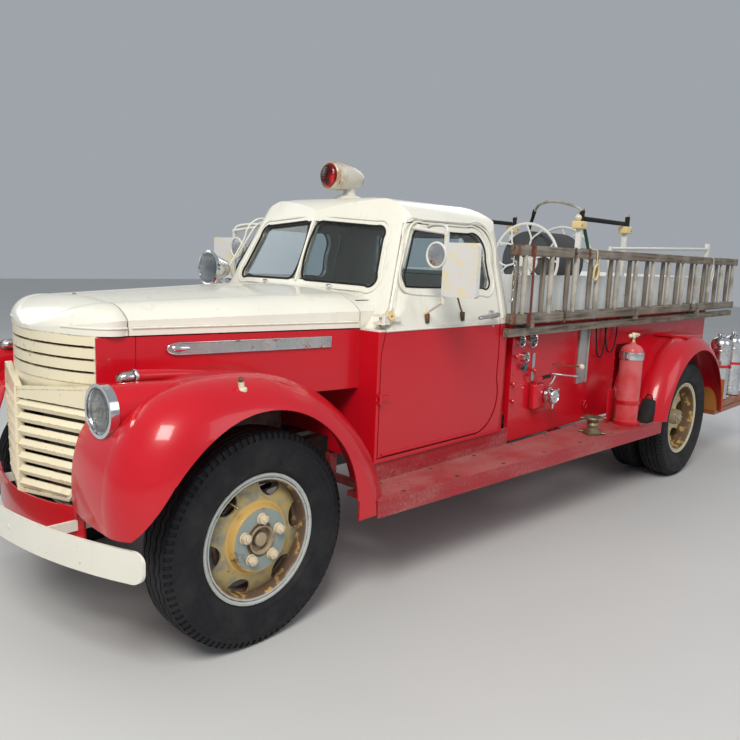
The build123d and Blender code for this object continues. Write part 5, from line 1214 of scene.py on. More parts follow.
# Cab trim
class FIREENGINE_OT_cab_trim(bpy.types.Operator):
    """Beads round the glass, divider, drip rails, handles, hinge caps and wiper posts"""

    bl_idname = "fire_engine.cab_trim"
    bl_label = "Cab trim"

    def execute(self, context):
        bead = context.scene.fire_engine_sizes.bead_radius
        front = [(cab_front(y, z) + 0.001, y, z) for y, z in FRONT_WINDOW]
        both_sides(tube("Windshield_seal", front, bead, closed=True), "Black_rubber")
        wide = [(y, z) for y, z in grown(FRONT_WINDOW, 0.03) if y > 0.02]
        frame_line = [(cab_front(y, z) + 0.002, y, z) for y, z in wide]
        loop = frame_line + [(cab_front(-y, z) + 0.002, -y, z) for y, z in reversed(wide)]
        finished(tube("Windshield_frame", loop, bead, closed=True), "Cream_paint")
        strip = tube("Divider", [(cab_front(0, z) + 0.003, 0, z) for z in (1.5, 1.62, 1.74, 1.838)], 0.008)
        finished(strip, "Cream_paint")
        side = on_side(SIDE_WINDOW, 0.0)
        both_sides(tube("Window_seal", side, bead * 0.8, closed=True), "Black_rubber", *DOORS)
        swage = on_side(grown(SIDE_WINDOW, 0.04), 0.001)
        both_sides(tube("Window_swage", swage, bead * 0.9, closed=True), "Cream_paint", *DOORS)
        rear = [(AXLE_X - 1.965 - 0.002 + (z - 1.4) * 0.0433, y, z) for y, z in REAR_WINDOW]
        finished(tube("Rear_seal", rear, bead, closed=True), "Black_rubber")
        top = outline(
            (AXLE_X - 0.838, 1.37), (AXLE_X - 1.012, 1.728), (AXLE_X - 1.062, 1.836, AXLE_X - 1.165, 1.848),
            (AXLE_X - 1.61, 1.852), (AXLE_X - 1.782, 1.818, AXLE_X - 1.812, 1.64), (AXLE_X - 1.818, 1.32),
        )
        both_sides(tube("Drip_rail", on_side(top, 0.001), bead * 0.9), "Cream_paint")
        belt_gap = behind((0.8, BELT_Z), (1.2, BELT_Z), (1.78, BELT_Z))
        both_sides(tube("Door_belt", on_side(belt_gap, 0.0), 0.006), "Cream_paint", *DOORS)
        corner = behind(
            (1.8, 0.756, BELT_Z), (1.84, 0.756, BELT_Z), (1.905, 0.74, BELT_Z), (1.95, 0.695, BELT_Z),
            (1.966, 0.63, BELT_Z),
        )
        corner += [(AXLE_X - 1.966, y, BELT_Z) for y in (0.4, 0.0)]
        both_sides(tube("Rear_belt", corner, 0.006), "Cream_paint")
        foot_bead = behind((0.8, 0.672), (1.2, 0.672), (1.6, 0.672))
        both_sides(tube("Door_foot_bead", on_side(foot_bead, 0.001), 0.007), "Red_paint", *DOORS)
        x, z = AXLE_X - 1.7, 1.345
        y = cab_side(z)
        boss = lathe(
            "Handle_boss", mm((0, 0), (23, 0), (22, 12), (13, 20), (11, 40), (0, 42)), 28, (x, y - 0.002, z), "Y",
        )
        lever = lathe(
            "Handle_lever",
            mm((0, -30), (12, -24), (16.5, 0), (13.5, 60), (10.5, 125), (11.5, 175), (7, 188), (0, 190)), 24,
            (x, y + 0.04, z), (1, 0.06, -0.06),
        )
        lock = lathe("Lock", mm((0, 0), (12, 0), (11, 6), (5, 6.5), (0, 5)), 20, (x - 0.02, y + 0.004, z - 0.062), "Y")
        both_sides(joined("Door_handle", boss, lever, lock), "Bright_steel", *DOORS)
        for name, z, finish in (("Lower_hinge_caps", 0.961, "Red_paint"), ("Upper_hinge_caps", 1.35, "Guide_cream")):
            caps = []
            for end, way in ((z + 0.0245, 1), (z - 0.0245, -1)):
                rows = mm((0, 0), (8.5, 0), (8.5, 3), (5, 5.5), (0, 6))
                caps.append(lathe("Pin_cap", rows, 20, (AXLE_X - 0.766, 0.767, end), (0, 0, way)))
            both_sides(joined(name, *caps), finish)
        ear = [bar("Ear", (AXLE_X - 0.835, 0.75, 1.325), (AXLE_X - 0.805, 0.763, 1.392), 0.003)]
        ear.append(lathe(
            "Eye", mm((6, -4), (19, -4), (20, 0), (19, 4), (6, 4), (6, -4)), 28, (AXLE_X - 0.815, 0.772, 1.366),
            (0.3, 1, 0),
        ))
        both_sides(joined("Hinge_ear", *ear), "Guide_cream", *DOORS)
        brace = tube(
            "Mirror_brace", behind((1.083, 0.96, 1.468), (1.25, 0.86, 1.402), (1.42, 0.762, 1.337)), 0.0045,
            smooth=False,
        )
        pads = [
            bar("Mirror_pad", (x0, y0, 1.318), (x0 + 0.024, y0 + 0.018, 1.368), 0.003)
            for x0, y0 in ((AXLE_X - 1.432, 0.742), (AXLE_X - 1.127, 0.742))
        ]
        both_sides(joined("Mirror_brace", brace, *pads), "Rusty_steel", *DOORS)
        arm = tube(
            "Mirror_arm", behind(
                (1.229, 0.632, 1.812), (1.205, 0.68, 1.822), (1.14, 0.8, 1.818), (1.1, 0.862, 1.806),
                (1.094, 0.872, 1.775), (1.094, 0.872, 1.73),
            ), 0.009,
        )
        both_sides(arm, "White_paint", *DOORS)
        face = bar("Mirror_face", (AXLE_X - 1.1015, 0.876, 1.477), (AXLE_X - 1.0985, 1.064, 1.718), 0.001)
        disc = lathe("Round_face", mm((0, 0), (49, 0), (48, -3), (0, -3)), 40, (AXLE_X - 1.1065, 0.828, 1.655), "X")
        both_sides(joined("Mirror_face", face, disc), "Mirror_glass", *DOORS)
        rims = [lathe(
            "Round_rim", mm((47, 1), (57, 1), (58, -4), (52, -6), (47, 1)), 40, (AXLE_X - 1.1065, 0.828, 1.655), "X",
        )]
        rims.append(tube(
            "Face_rim", [(AXLE_X - 1.1, y, z) for y, z in ((0.87, 1.475), (0.87, 1.72), (1.07, 1.72), (1.07, 1.475))],
            0.005, closed=True, smooth=False,
        ))
        both_sides(joined("Mirror_rims", *rims), "Chrome", *DOORS)
        loop = [(AXLE_X - 1.0725, 0.8235 + 0.06 * math.cos(a), 1.666 + 0.062 * math.sin(a)) for a in angles(24)]
        both_sides(tube("Round_edge", loop, 0.0065, closed=True), "White_paint", *DOORS)
        back = lathe(
            "Round_back", mm((0, 4), (30, 3.5), (55, 1), (56, -3), (0, -3)), 40, (AXLE_X - 1.073, 0.8235, 1.666), "X",
        )
        both_sides(back, "Aged_bright", *DOORS)
        wipers = []
        for side in (1, -1):
            y = 0.27 * side
            base = Vector((cab_front(y, 1.475) + 0.006, y, 1.478))
            wipers.append(lathe(
                "Wiper_post", mm((0, -10), (14, -10), (12, 12), (6, 16), (5, 32), (0, 33)), 20, base, (0.9, 0, 0.42),
            ))
        group("Wiper_posts", wipers, "Chrome")
        return {"FINISHED"}


# Inside the cab
class FIREENGINE_OT_cab_inside(bpy.types.Operator):
    """Dash dials and knobs, pedals, levers, floor mat and the steering wheel's grip"""

    bl_idname = "fire_engine.cab_inside"
    bl_label = "Cab inside"

    def execute(self, context):
        centre = Vector((AXLE_X - 1.23, 0.34, 1.33))
        lean = math.radians(34)
        up = Vector((-math.sin(lean), 0, math.cos(lean)))
        grip = lathe("Wheel_grip", ring_rows(0.208, 0.0118, 0.0118, 14), 90, centre, up)
        hub = lathe(
            "Wheel_hub", mm((36, -28), (38, -12), (34, 6), (24, 13), (22, 17), (0, 19), (0, -28), (36, -28)), 40,
            centre, up,
        )
        side = up.cross(Vector((0, 1, 0))).normalized()
        across = up.cross(side).normalized()
        spokes = []
        for i in range(3):
            angle = math.radians(90 + 120 * i)
            way = side * math.cos(angle) + across * math.sin(angle)
            for shift in (-0.009, 0.0, 0.009):
                beside = up.cross(way) * shift
                bend = [
                    centre + way * reach + beside - up * drop
                    for reach, drop in ((0.028, 0.004), (0.11, 0.008), (0.204, 0.0))
                ]
                spokes.append(tube("Spoke", bend, 0.0033, sides=2))
        finished(
            joined("Steering_grip", grip, hub, *spokes), "Black_plastic", "steering_wheel", replaces=["steering_wheel"],
        )
        panel = plate(
            "Dash_panel", [
                (AXLE_X - a, -0.56, b)
                for a, b in (
                    (0.905, 1.29), (1.000, 1.3), (1.006, 1.33), (1.01, 1.42), (1.000, 1.438), (0.985, 1.448),
                    (0.96, 1.452), (0.935, 1.44), (0.925, 1.31),
                )
            ], (0, 1.12, 0),
        )
        finished(panel, "Red_paint", replaces=["dash"])
        way = Vector((math.sin(lean), 0, -math.cos(lean)))
        column = [peg("Column", centre + way * 0.032, centre + way * 0.7, 0.022, 28)]
        column.append(lathe(
            "Collar", mm((0, 200), (29, 200), (31, 205), (31, 235), (29, 240), (0, 240)), 28, centre, way,
        ))
        column.append(bar("Bracket", (AXLE_X - 1.005, 0.32, 1.2), (AXLE_X - 0.9, 0.36, 1.3), 0.004))
        group("Steering_column", column, "Black_frame")
        dials = []
        faces = []
        x = AXLE_X - 1.0105
        for y, z, r in ((0.34, 1.372, 0.048), (0.22, 1.372, 0.034), (0.46, 1.372, 0.034), (0.0, 1.372, 0.03)):
            dials.append(lathe(
                "Dial_rim", [
                    (r - 0.004, 0.004), (r, 0.004), (r + 0.004, -0.003), (r + 0.002, -0.008), (r - 0.004, -0.006),
                    (r - 0.004, 0.004),
                ], 40, (x, y, z), "X",
            ))
            faces.append(lathe(
                "Dial_face", [(0, 0.002), (r - 0.002, 0.002), (r - 0.002, -0.002), (0, -0.002)], 32, (x, y, z), "X",
            ))
        for y in (-0.1, -0.17, -0.24, 0.11):
            dials.append(lathe(
                "Knob", mm((0, 4), (4, 4), (4, -16), (11, -18), (12, -26), (6, -30), (0, -30)), 18, (x, y, 1.35), "X",
            ))
        group("Dash_rims", dials, "Chrome")
        group("Dash_faces", faces, "Dial_black")
        shift = tube(
            "Shift_lever", behind((1.12, 0.03, 0.745), (1.16, 0.03, 0.95), (1.28, 0.05, 1.06), (1.33, 0.06, 1.13)),
            0.0075,
        )
        boot = lathe(
            "Shift_boot", mm((0, 733), (60, 733), (58, 748), (40, 758), (36, 772), (20, 792), (0, 796)), 28,
            (AXLE_X - 1.12, 0.03, 0), "Z",
        )
        ball = lathe("Shift_ball", ball_rows(0.021, 10), 24, (AXLE_X - 1.335, 0.061, 1.14), "Z")
        finished(joined("Shift_lever", shift, boot, ball), "Black_rubber")
        pedals = []
        for y in (0.24, 0.44):
            pad = bar("Pedal", (-0.006, -0.032, -0.04), (0.006, 0.032, 0.04), 0.004)
            pad.data.transform(
                Matrix.Translation((AXLE_X - 0.935, y, 0.9)) @ Matrix.Rotation(math.radians(-35), 4, "Y")
            )
            arm = tube("Pedal_arm", behind((0.93, y, 0.895), (0.86, y, 0.84), (0.82, y, 0.745)), 0.007)
            pedals += [pad, arm]
        treadle = bar("Treadle", (-0.005, -0.024, -0.085), (0.005, 0.024, 0.085), 0.003)
        treadle.data.transform(
            Matrix.Translation((AXLE_X - 0.88, 0.545, 0.822)) @ Matrix.Rotation(math.radians(38), 4, "Y")
        )
        finished(joined("Pedals", *pedals, treadle), "Black_rubber")
        mat = bar("Floor_mat", (AXLE_X - 1.36, -0.64, 0.7352), (AXLE_X - 0.84, 0.64, 0.7405), 0.002)
        edit_all(mat)
        bpy.ops.mesh.subdivide(number_cuts=3)
        bpy.ops.object.mode_set(mode="OBJECT")
        finished(mat, "Floor_mat")
        return {"FINISHED"}


CLOTH_FRAMES = 20


def cushion(name, low, high, cap):
    """A stuffed pad: a remeshed block, blown up by a cloth simulation and moved by no more than the cap."""
    obj = bar(name, low, high, 0.02, 3)
    alone(obj)
    obj.data.remesh_voxel_size = 0.014 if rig.quick() else 0.009
    bpy.ops.object.voxel_remesh()
    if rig.quick():
        return obj
    rest = [v.co.copy() for v in obj.data.vertices]
    bpy.ops.object.modifier_add(type="CLOTH")
    cloth = obj.modifiers[-1]
    cloth.settings.use_pressure = True
    cloth.settings.uniform_pressure_force = 4
    cloth.settings.effector_weights.gravity = 0
    cloth.point_cache.frame_start = 1
    cloth.point_cache.frame_end = CLOTH_FRAMES
    for number in range(1, CLOTH_FRAMES + 1):
        bpy.context.scene.frame_set(number)
    bpy.ops.object.modifier_apply(modifier=cloth.name)
    bpy.context.scene.frame_set(1)
    for vertex, start in zip(obj.data.vertices, rest):
        move = vertex.co - start
        if move.length > cap:
            vertex.co = start + move * (cap / move.length)
    return obj


class FIREENGINE_OT_seat(bpy.types.Operator):
    """Bench seat: stuffed cushion and back with welts, on a plain riser"""

    bl_idname = "fire_engine.seat"
    bl_label = "Bench seat"

    def execute(self, context):
        x0 = AXLE_X - 1.913
        seat = cushion("Bench_cushion", (x0 + 0.078, -0.585, 0.888), (x0 + 0.484, 0.585, 0.99), 0.016)
        back = cushion("Bench_backrest", (x0 + 0.012, -0.585, 0.000), (x0 + 0.1, 0.585, 0.44), 0.016)
        back.data.transform(
            Matrix.Translation((x0, 0, 0.985)) @ Matrix.Rotation(
                math.radians(-5), 4, "Y",
            ) @ Matrix.Translation((-x0, 0, 0))
        )
        for pad in (seat, back):
            modify(pad, "SUBSURF", levels=1)
            finished(pad, "Bench_vinyl", angle=80)
            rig.padded(pad, 0.9)
        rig.replaces(seat, "seat")
        riser = bar("Bench_riser", (x0, -0.6, 0.7355), (x0 + 0.46, 0.6, 0.884), 0.006)
        finished(riser, "Red_paint")
        welt = tube(
            "Bench_welt", [
                (x0 + 0.09, -0.575, 0.992), (x0 + 0.48, -0.575, 0.985), (x0 + 0.48, 0.575, 0.985),
                (x0 + 0.09, 0.575, 0.992),
            ], 0.005, closed=True,
        )
        finished(welt, "Black_rubber")
        return {"FINISHED"}


# Ladders
RUNGS = 13
RUNG_STEP = 0.305


def ladder(y, front_x, length, first):
    """One wooden ladder on edge: two stringers with a rounded section, rungs, pegs and shoes."""
    stringers = []
    rear_x = front_x - length
    for top in RAIL_TOPS:
        stringers.append(bar("Stringer", (rear_x, y - 0.014, top - 0.062), (front_x, y + 0.014, top), 0.009, 4))
    rungs = []
    pegs = []
    rows = [
        (0.012, 1.33), (0.0145, 1.345), (0.0165, 1.42), (0.0175, 1.514), (0.0165, 1.61), (0.0145, 1.683), (0.012, 1.7),
    ]
    for i in range(RUNGS):
        x = front_x - first - RUNG_STEP * i
        rungs.append(lathe("Rung", rows, 18, (x, y, 0), "Z"))
        for z, way in ((1.283, -1), (1.345, 1), (1.683, -1), (1.745, 1)):
            pegs.append(lathe("Peg", mm((0, -4), (10, -4), (9, 1.2), (0, 2)), 14, (x, y, z), (0, 0, way)))
    plates = []
    for x in (front_x - 0.018, rear_x + 0.018):
        for top in RAIL_TOPS:
            low, high = (x - 0.0175, y - 0.015, top - 0.063), (x + 0.0175, y + 0.015, top + 0.001)
            plates.append(bar("Shoe", low, high, 0.0085, 3))
    return joined(
        "Stringers", *stringers,
    ), joined("Rungs", *rungs), joined("Pegs", *pegs), joined("Ladder_shoes", *plates)


def ladder_clamp(x, top, y0, y1, wide):
    """Steel strap round both ladders' stringers, with its bolt; wide is half its width."""
    inner, outer, low, high = y0 - 0.016, y1 + 0.017, top - 0.066, top + 0.003
    ring = [(inner, low), (outer, low), (outer, high), (inner, high), (inner, low)]
    strap = chain("Strap", [(x - wide, y, z) for y, z in ring])
    bpy.ops.mesh.select_all(action="SELECT")
    bpy.ops.mesh.extrude_region_move(TRANSFORM_OT_translate={"value": (2 * wide, 0, 0)})
    modify(tidy(strap), "SOLIDIFY", thickness=0.003, offset=1.0)
    bolt = peg("Strap_bolt", (x, y1 + 0.015, top - 0.032), (x, y1 + 0.03, top - 0.032), 0.008, 14)
    return joined("Ladder_strap", strap, bolt)


class FIREENGINE_OT_ladders(bpy.types.Operator):
    """Two wooden ladders with their shoes, clamps, rings and chain"""

    bl_idname = "fire_engine.ladders"
    bl_label = "Ladders"

    def execute(self, context):
        front = AXLE_X - 1.822
        outer_y, inner_y, length = 0.806, 0.776, 3.86
        rails, rungs, pegs, shoes = ladder(outer_y, front, length, 0.11)
        rails2, rungs2, pegs2, shoes2 = ladder(inner_y, front - 0.01, length, 0.055)
        finished(joined("Ladder_rails", rails, rails2), "Wood_along", replaces=["ladders"])
        finished(rungs, "Pale_wood")
        finished(rungs2, "Wood_upright")
        finished(joined("Ladder_pegs", pegs, pegs2), "Pale_wood")
        finished(joined("Ladder_shoes", shoes, shoes2), "Rusty_steel")
        clamps = [ladder_clamp(CLAMP_X, top, inner_y, outer_y, 0.024) for top in RAIL_TOPS]
        rod_y = outer_y + 0.0225
        rod = peg("Clamp_rod", (CLAMP_X, rod_y, 1.275), (CLAMP_X, rod_y, RAIL_TOPS[0]), 0.0075, 16)
        finished(joined("Ladder_clamps", *clamps, rod), "Clamp_red")
        bands = [
            ladder_clamp(x, RAIL_TOPS[rail], inner_y, outer_y, 0.01)
            for x, rail in ((-0.02, 0), (-0.21, 0), (-2.1, 1), (0.06, 1))
        ]
        group("Ladder_bands", bands, "Rusty_steel")
        ring_z = 1.596
        for name, x, wide, tall, thick, finish in (
            ("Golden_ring", -0.31, 0.033, 0.052, 0.0065, "Guide_cream"),
            ("White_snap", -2.522, 0.03, 0.06, 0.005, "White_paint"),
        ):
            loop = [
                (x + wide * math.cos(a), outer_y + 0.021 + 0.004 * math.sin(a), ring_z + tall * math.sin(a))
                for a in angles(24)
            ]
            ring = tube(name, loop, thick, closed=True)
            hang = ((0.02, ring_z + tall), (0.022, 1.7), (0.02, 1.748), (-0.02, 1.746))
            hook = tube("Ring_hook", [(x, outer_y + out, z) for out, z in hang], 0.0035)
            finished(joined(name, ring, hook), finish)
        links = []
        x, y = 0.606, 0.776
        for i in range(8):
            z = 1.64 - 0.0235 * i
            loop = []
            for a in angles(12):
                flat, tall = 0.0075 * math.cos(a), 0.015 * math.sin(a)
                loop.append((x + flat, y, z + tall) if i % 2 else (x, y + flat, z + tall))
            links.append(tube("Link", loop, 0.0026, closed=True, sides=2))
        eye = tube(
            "Eye", [
                (0.565, 0.722, 1.665), (0.585, 0.745, 1.662), (x, y - 0.004, 1.66), (x + 0.004, y + 0.006, 1.652),
                (x, y, 1.644),
            ], 0.0045,
        )
        hook = tube(
            "Hook", [(x, y, 1.462), (x, y, 1.435), (x + 0.012, y, 1.415), (x + 0.03, y, 1.412), (x + 0.036, y, 1.43)],
            0.0042,
        )
        finished(joined("Ladder_chain", *links, eye, hook), "Silver_shell")
        return {"FINISHED"}


# Hose reel and its guides
def reel_side(x, way):
    """Cast reel flange: a round rim, a hub that points one way and arms that fork towards the rim."""
    centre = (x, 0, REEL_Z)
    rim = lathe("Rim", ring_rows(0.2875, 0.0115, 0.0075, 12), 96, centre, "X")
    rows = mm((21, -6), (64, -6), (68, 0), (64, 6), (50, 9), (36, 18), (28, 26), (21, 28), (21, -6))
    hub = lathe("Hub", [(r, way * d) for r, d in rows], 48, centre, "X")

    def at(radius, angle):
        return (x, radius * math.sin(angle), REEL_Z + radius * math.cos(angle))

    arms = []
    for a in angles(6):
        turn = a + 0.26
        arms.append(tube("Arm", [at(radius, turn) for radius in (0.055, 0.12, 0.175)], 0.0085, sides=3))
        for side in (1, -1):
            bend = ((0.165, 0), (0.195, 0.05), (0.225, 0.16), (0.258, 0.235), (0.283, 0.27))
            fork = [at(radius, turn + angle * side) for radius, angle in bend]
            arms.append(tube("Fork", fork, 0.0075, sides=3))
    return joined("Reel_flange", rim, hub, *arms)


class FIREENGINE_OT_reel(bpy.types.Operator):
    """Hose reel with forked arms, and the hose wound on it"""

    bl_idname = "fire_engine.reel"
    bl_label = "Hose reel"

    def execute(self, context):
        centre = (REEL_X, 0, REEL_Z)
        sides = [reel_side(REEL_X + way * 0.275, way) for way in (1, -1)]
        drum = lathe("Drum", mm((20.6, -272), (108, -272), (109, 272), (20.6, 272), (20.6, -272)), 48, centre, "X")
        finished(joined("Reel_flanges", *sides, drum), "White_paint", "hose_reel", replaces=["hose_reel"])
        turns, radius = 15, 0.0172
        steps, level = 40, 0.2165
        points = []
        for i in range(turns * steps + 1):
            a = math.tau * i / steps
            shift = radius * (turns - 1) * (2 * i / (steps * turns) - 1)
            points.append((REEL_X + shift, level * math.sin(a), REEL_Z + level * math.cos(a)))
        wound = tube("Wound_hose", points, radius, sides=3)
        inner = lathe(
            "Hose_under", mm((112, -262), (214, -262), (214.5, 262), (112, 262), (112, -262)), 64, centre, "X",
        )
        finished(joined("Hose_winding", wound, inner), "Hose_rubber", "hose_reel", replaces=["hose_winding"])
        return {"FINISHED"}


class FIREENGINE_OT_guides(bpy.types.Operator):
    """Reel stands, guide posts with cream blocks, black rollers, braces and the arched tube"""

    bl_idname = "fire_engine.guides"
    bl_label = "Hose guides"

    def execute(self, context):
        deck, top, forward = 1.312, 1.95, 0.045
        posts, blocks, rollers, braces, knobs = [], [], [], [], []
        for side in (1, -1):
            sx = REEL_X + side * 0.315
            for lean in (1, -1):
                posts.append(tube(
                    "Leg", [(sx, lean * 0.165, deck + 0.012), (sx, lean * 0.1, 1.48), (sx, lean * 0.022, REEL_Z)],
                    0.014, smooth=False,
                ))
                posts.append(bar(
                    "Foot", (sx - 0.035, lean * 0.165 - 0.045, deck), (sx + 0.035, lean * 0.165 + 0.045, deck + 0.012),
                    0.003,
                ))
            posts.append(lathe(
                "Bearing", mm((0, -22), (40, -22), (43, -18), (43, 18), (40, 22), (0, 22)), 32, (sx, 0, REEL_Z), "X",
            ))
            posts.append(tube("Leg_tie", [(sx, -0.105, 1.47), (sx, 0.105, 1.47)], 0.008, smooth=False))
            y = side * 0.52
            for end in (1, -1):
                gx = REEL_X + end * 0.375 + forward
                posts.append(bar("Post", (gx - 0.018, y - 0.018, deck), (gx + 0.018, y + 0.018, top - 0.05), 0.004))
                posts.append(bar("Post_foot", (gx - 0.045, y - 0.04, deck), (gx + 0.045, y + 0.04, deck + 0.01), 0.003))
                blocks.append(bar(
                    "Guide_block", (gx - 0.055, y - 0.035, top - 0.055), (gx + 0.055, y + 0.035, top), 0.008, 3,
                ))
                px = gx - 0.025
                rows = mm((0, 0), (18.5, 0), (20, 3), (18.5, 12), (18, 38), (18.5, 64), (20, 72), (17.5, 75), (0, 75))
                rollers.append(lathe("Roller", rows, 28, (px, y, top), "Z"))
                knobs.append(lathe(
                    "Roller_pin", mm((0, 74), (12, 74), (13, 79), (6, 84), (0, 85)), 20, (px, y, top), "Z",
                ))
                hook = [
                    (px, y, top + 0.083), (px - 0.014, y, top + 0.093), (px - 0.03, y, top + 0.086),
                    (px - 0.034, y, top + 0.074),
                ]
                knobs.append(tube("Roller_hook", hook, 0.0028, sides=2))
                rows = [(0, 0), (0.009, 0), (0.009, 0.004), (0.005, 0.006), (0, 0.0065)]
                for way in (-1, 1):
                    knobs.append(lathe(
                        "Block_bolt", rows, 6, (gx + 0.03 * end, y + 0.034 * way, top - 0.028), (0, way, 0),
                    ))
            level = mm((0, -345), (16.5, -345), (17.2, -340), (17.2, 315), (16.5, 320), (0, 320))
            rollers.append(lathe("Level_roller", level, 28, (REEL_X + forward, y, top + 0.02), "X"))
            braces.append(tube(
                "Brace", [(REEL_X + 0.335, y - 0.004, top - 0.05), (REEL_X, y, 1.32)], 0.012, smooth=False,
            ))
        group("Reel_posts", posts, "White_paint", replaces=["reel_frame"])
        group("Guide_blocks", blocks, "Guide_cream")
        group("Guide_rollers", rollers, "Black_rubber", replaces=["guide_rollers"])
        group("Guide_braces", braces, "Green_paint")
        group("Guide_pins", knobs, "Brass")
        shaft = peg("Reel_shaft", (REEL_X - 0.335, 0, REEL_Z), (REEL_X + 0.335, 0, REEL_Z), 0.0198, 28)
        finished(shaft, "Bright_steel")
        knob = lathe(
            "Guide_knob", ball_rows(0.024, 12, 0.024), 28, (REEL_X + 0.375 + forward + 0.03, 0.522, top - 0.002), "Z",
        )
        finished(knob, "Ivory")
        arch = tube(
            "Arched_tube", [
                (-0.635, 0.52, 2.01), (-0.61, 0.52, 2.036), (-0.63, 0.44, 2.066), (-0.67, 0.33, 2.092),
                (-0.74, 0.19, 2.106), (-0.83, 0.06, 2.1), (-0.89, -0.01, 2.075), (-0.915, -0.045, 2.035),
            ], 0.0105,
        )
        finished(arch, "Pale_wood")
        hose = tube(
            "Arch_foot", [
                (-0.915, -0.045, 2.038), (-0.935, -0.062, 2.01), (-0.95, -0.085, 1.965), (-0.955, -0.1, 1.93),
                (-0.956, -0.104, 1.902),
            ], 0.0135,
        )
        cuffs = [lathe(
            "Cuff", mm((0, -22), (14.5, -22), (15.5, 0), (14.5, 22), (0, 22)), 20, (-0.914, -0.044, 2.036),
            (-0.3, -0.4, -0.85),
        )]
        finished(joined("Arch_foot", hose, *cuffs), "Black_rubber")
        return {"FINISHED"}


# Fittings on the body's left side
def dial(x, z, r, faces, rims, hands):
    """One gauge of radius r: its rim, face, marks, numbers and hand go into the lists."""
    y = BODY_SIDE

    def at(radius, angle, proud):
        return (x - radius * math.cos(angle), y + proud, z + radius * math.sin(angle))

    rims.append(lathe(
        "Gauge_rim", [
            (r - 0.006, 0.018), (r - 0.004, 0.024), (r, 0.0255), (r + 0.001, 0.02), (r, 0.0), (0, 0.0), (0, 0.017),
            (r - 0.006, 0.018),
        ], 48, (x, y, z), "Y",
    ))
    faces.append(lathe(
        "Gauge_face", [(0, 0.0175), (r - 0.0055, 0.0175), (r - 0.0055, 0.0195), (0, 0.0195)], 40, (x, y, z), "Y",
    ))
    for i in range(11):
        a = math.radians(225 - 27 * i)
        hands.append(peg("Mark", at(r * 0.66, a, 0.0199), at(r * 0.8, a, 0.0199), r * 0.018, 6, 0.0002))
    for i, value in enumerate(("0", "50", "100", "150", "200", "250")):
        a = math.radians(225 - 54 * i)
        alone(None)
        bpy.ops.object.text_add()
        text = bpy.context.object
        text.data.body = value
        text.data.align_x = text.data.align_y = "CENTER"
        text.data.size = r * 0.24
        text.data.extrude = 0.0003
        bpy.ops.object.convert(target="MESH")
        place = Matrix.Translation(at(r * 0.5, a, 0.0198))
        text.data.transform(place @ Matrix.Rotation(math.pi, 4, "Z") @ Matrix.Rotation(math.pi / 2, 4, "X"))
        hands.append(text)
    a = math.radians(205)
    hands.append(peg("Hand", at(-r * 0.15, a, 0.0207), at(r * 0.72, a, 0.0207), r * 0.025, 6, 0.0002))
    hands.append(lathe(
        "Hand_hub", [(0, 0.019), (r * 0.09, 0.019), (r * 0.07, 0.0215), (0, 0.0222)], 14, (x, y, z), "Y",
    ))


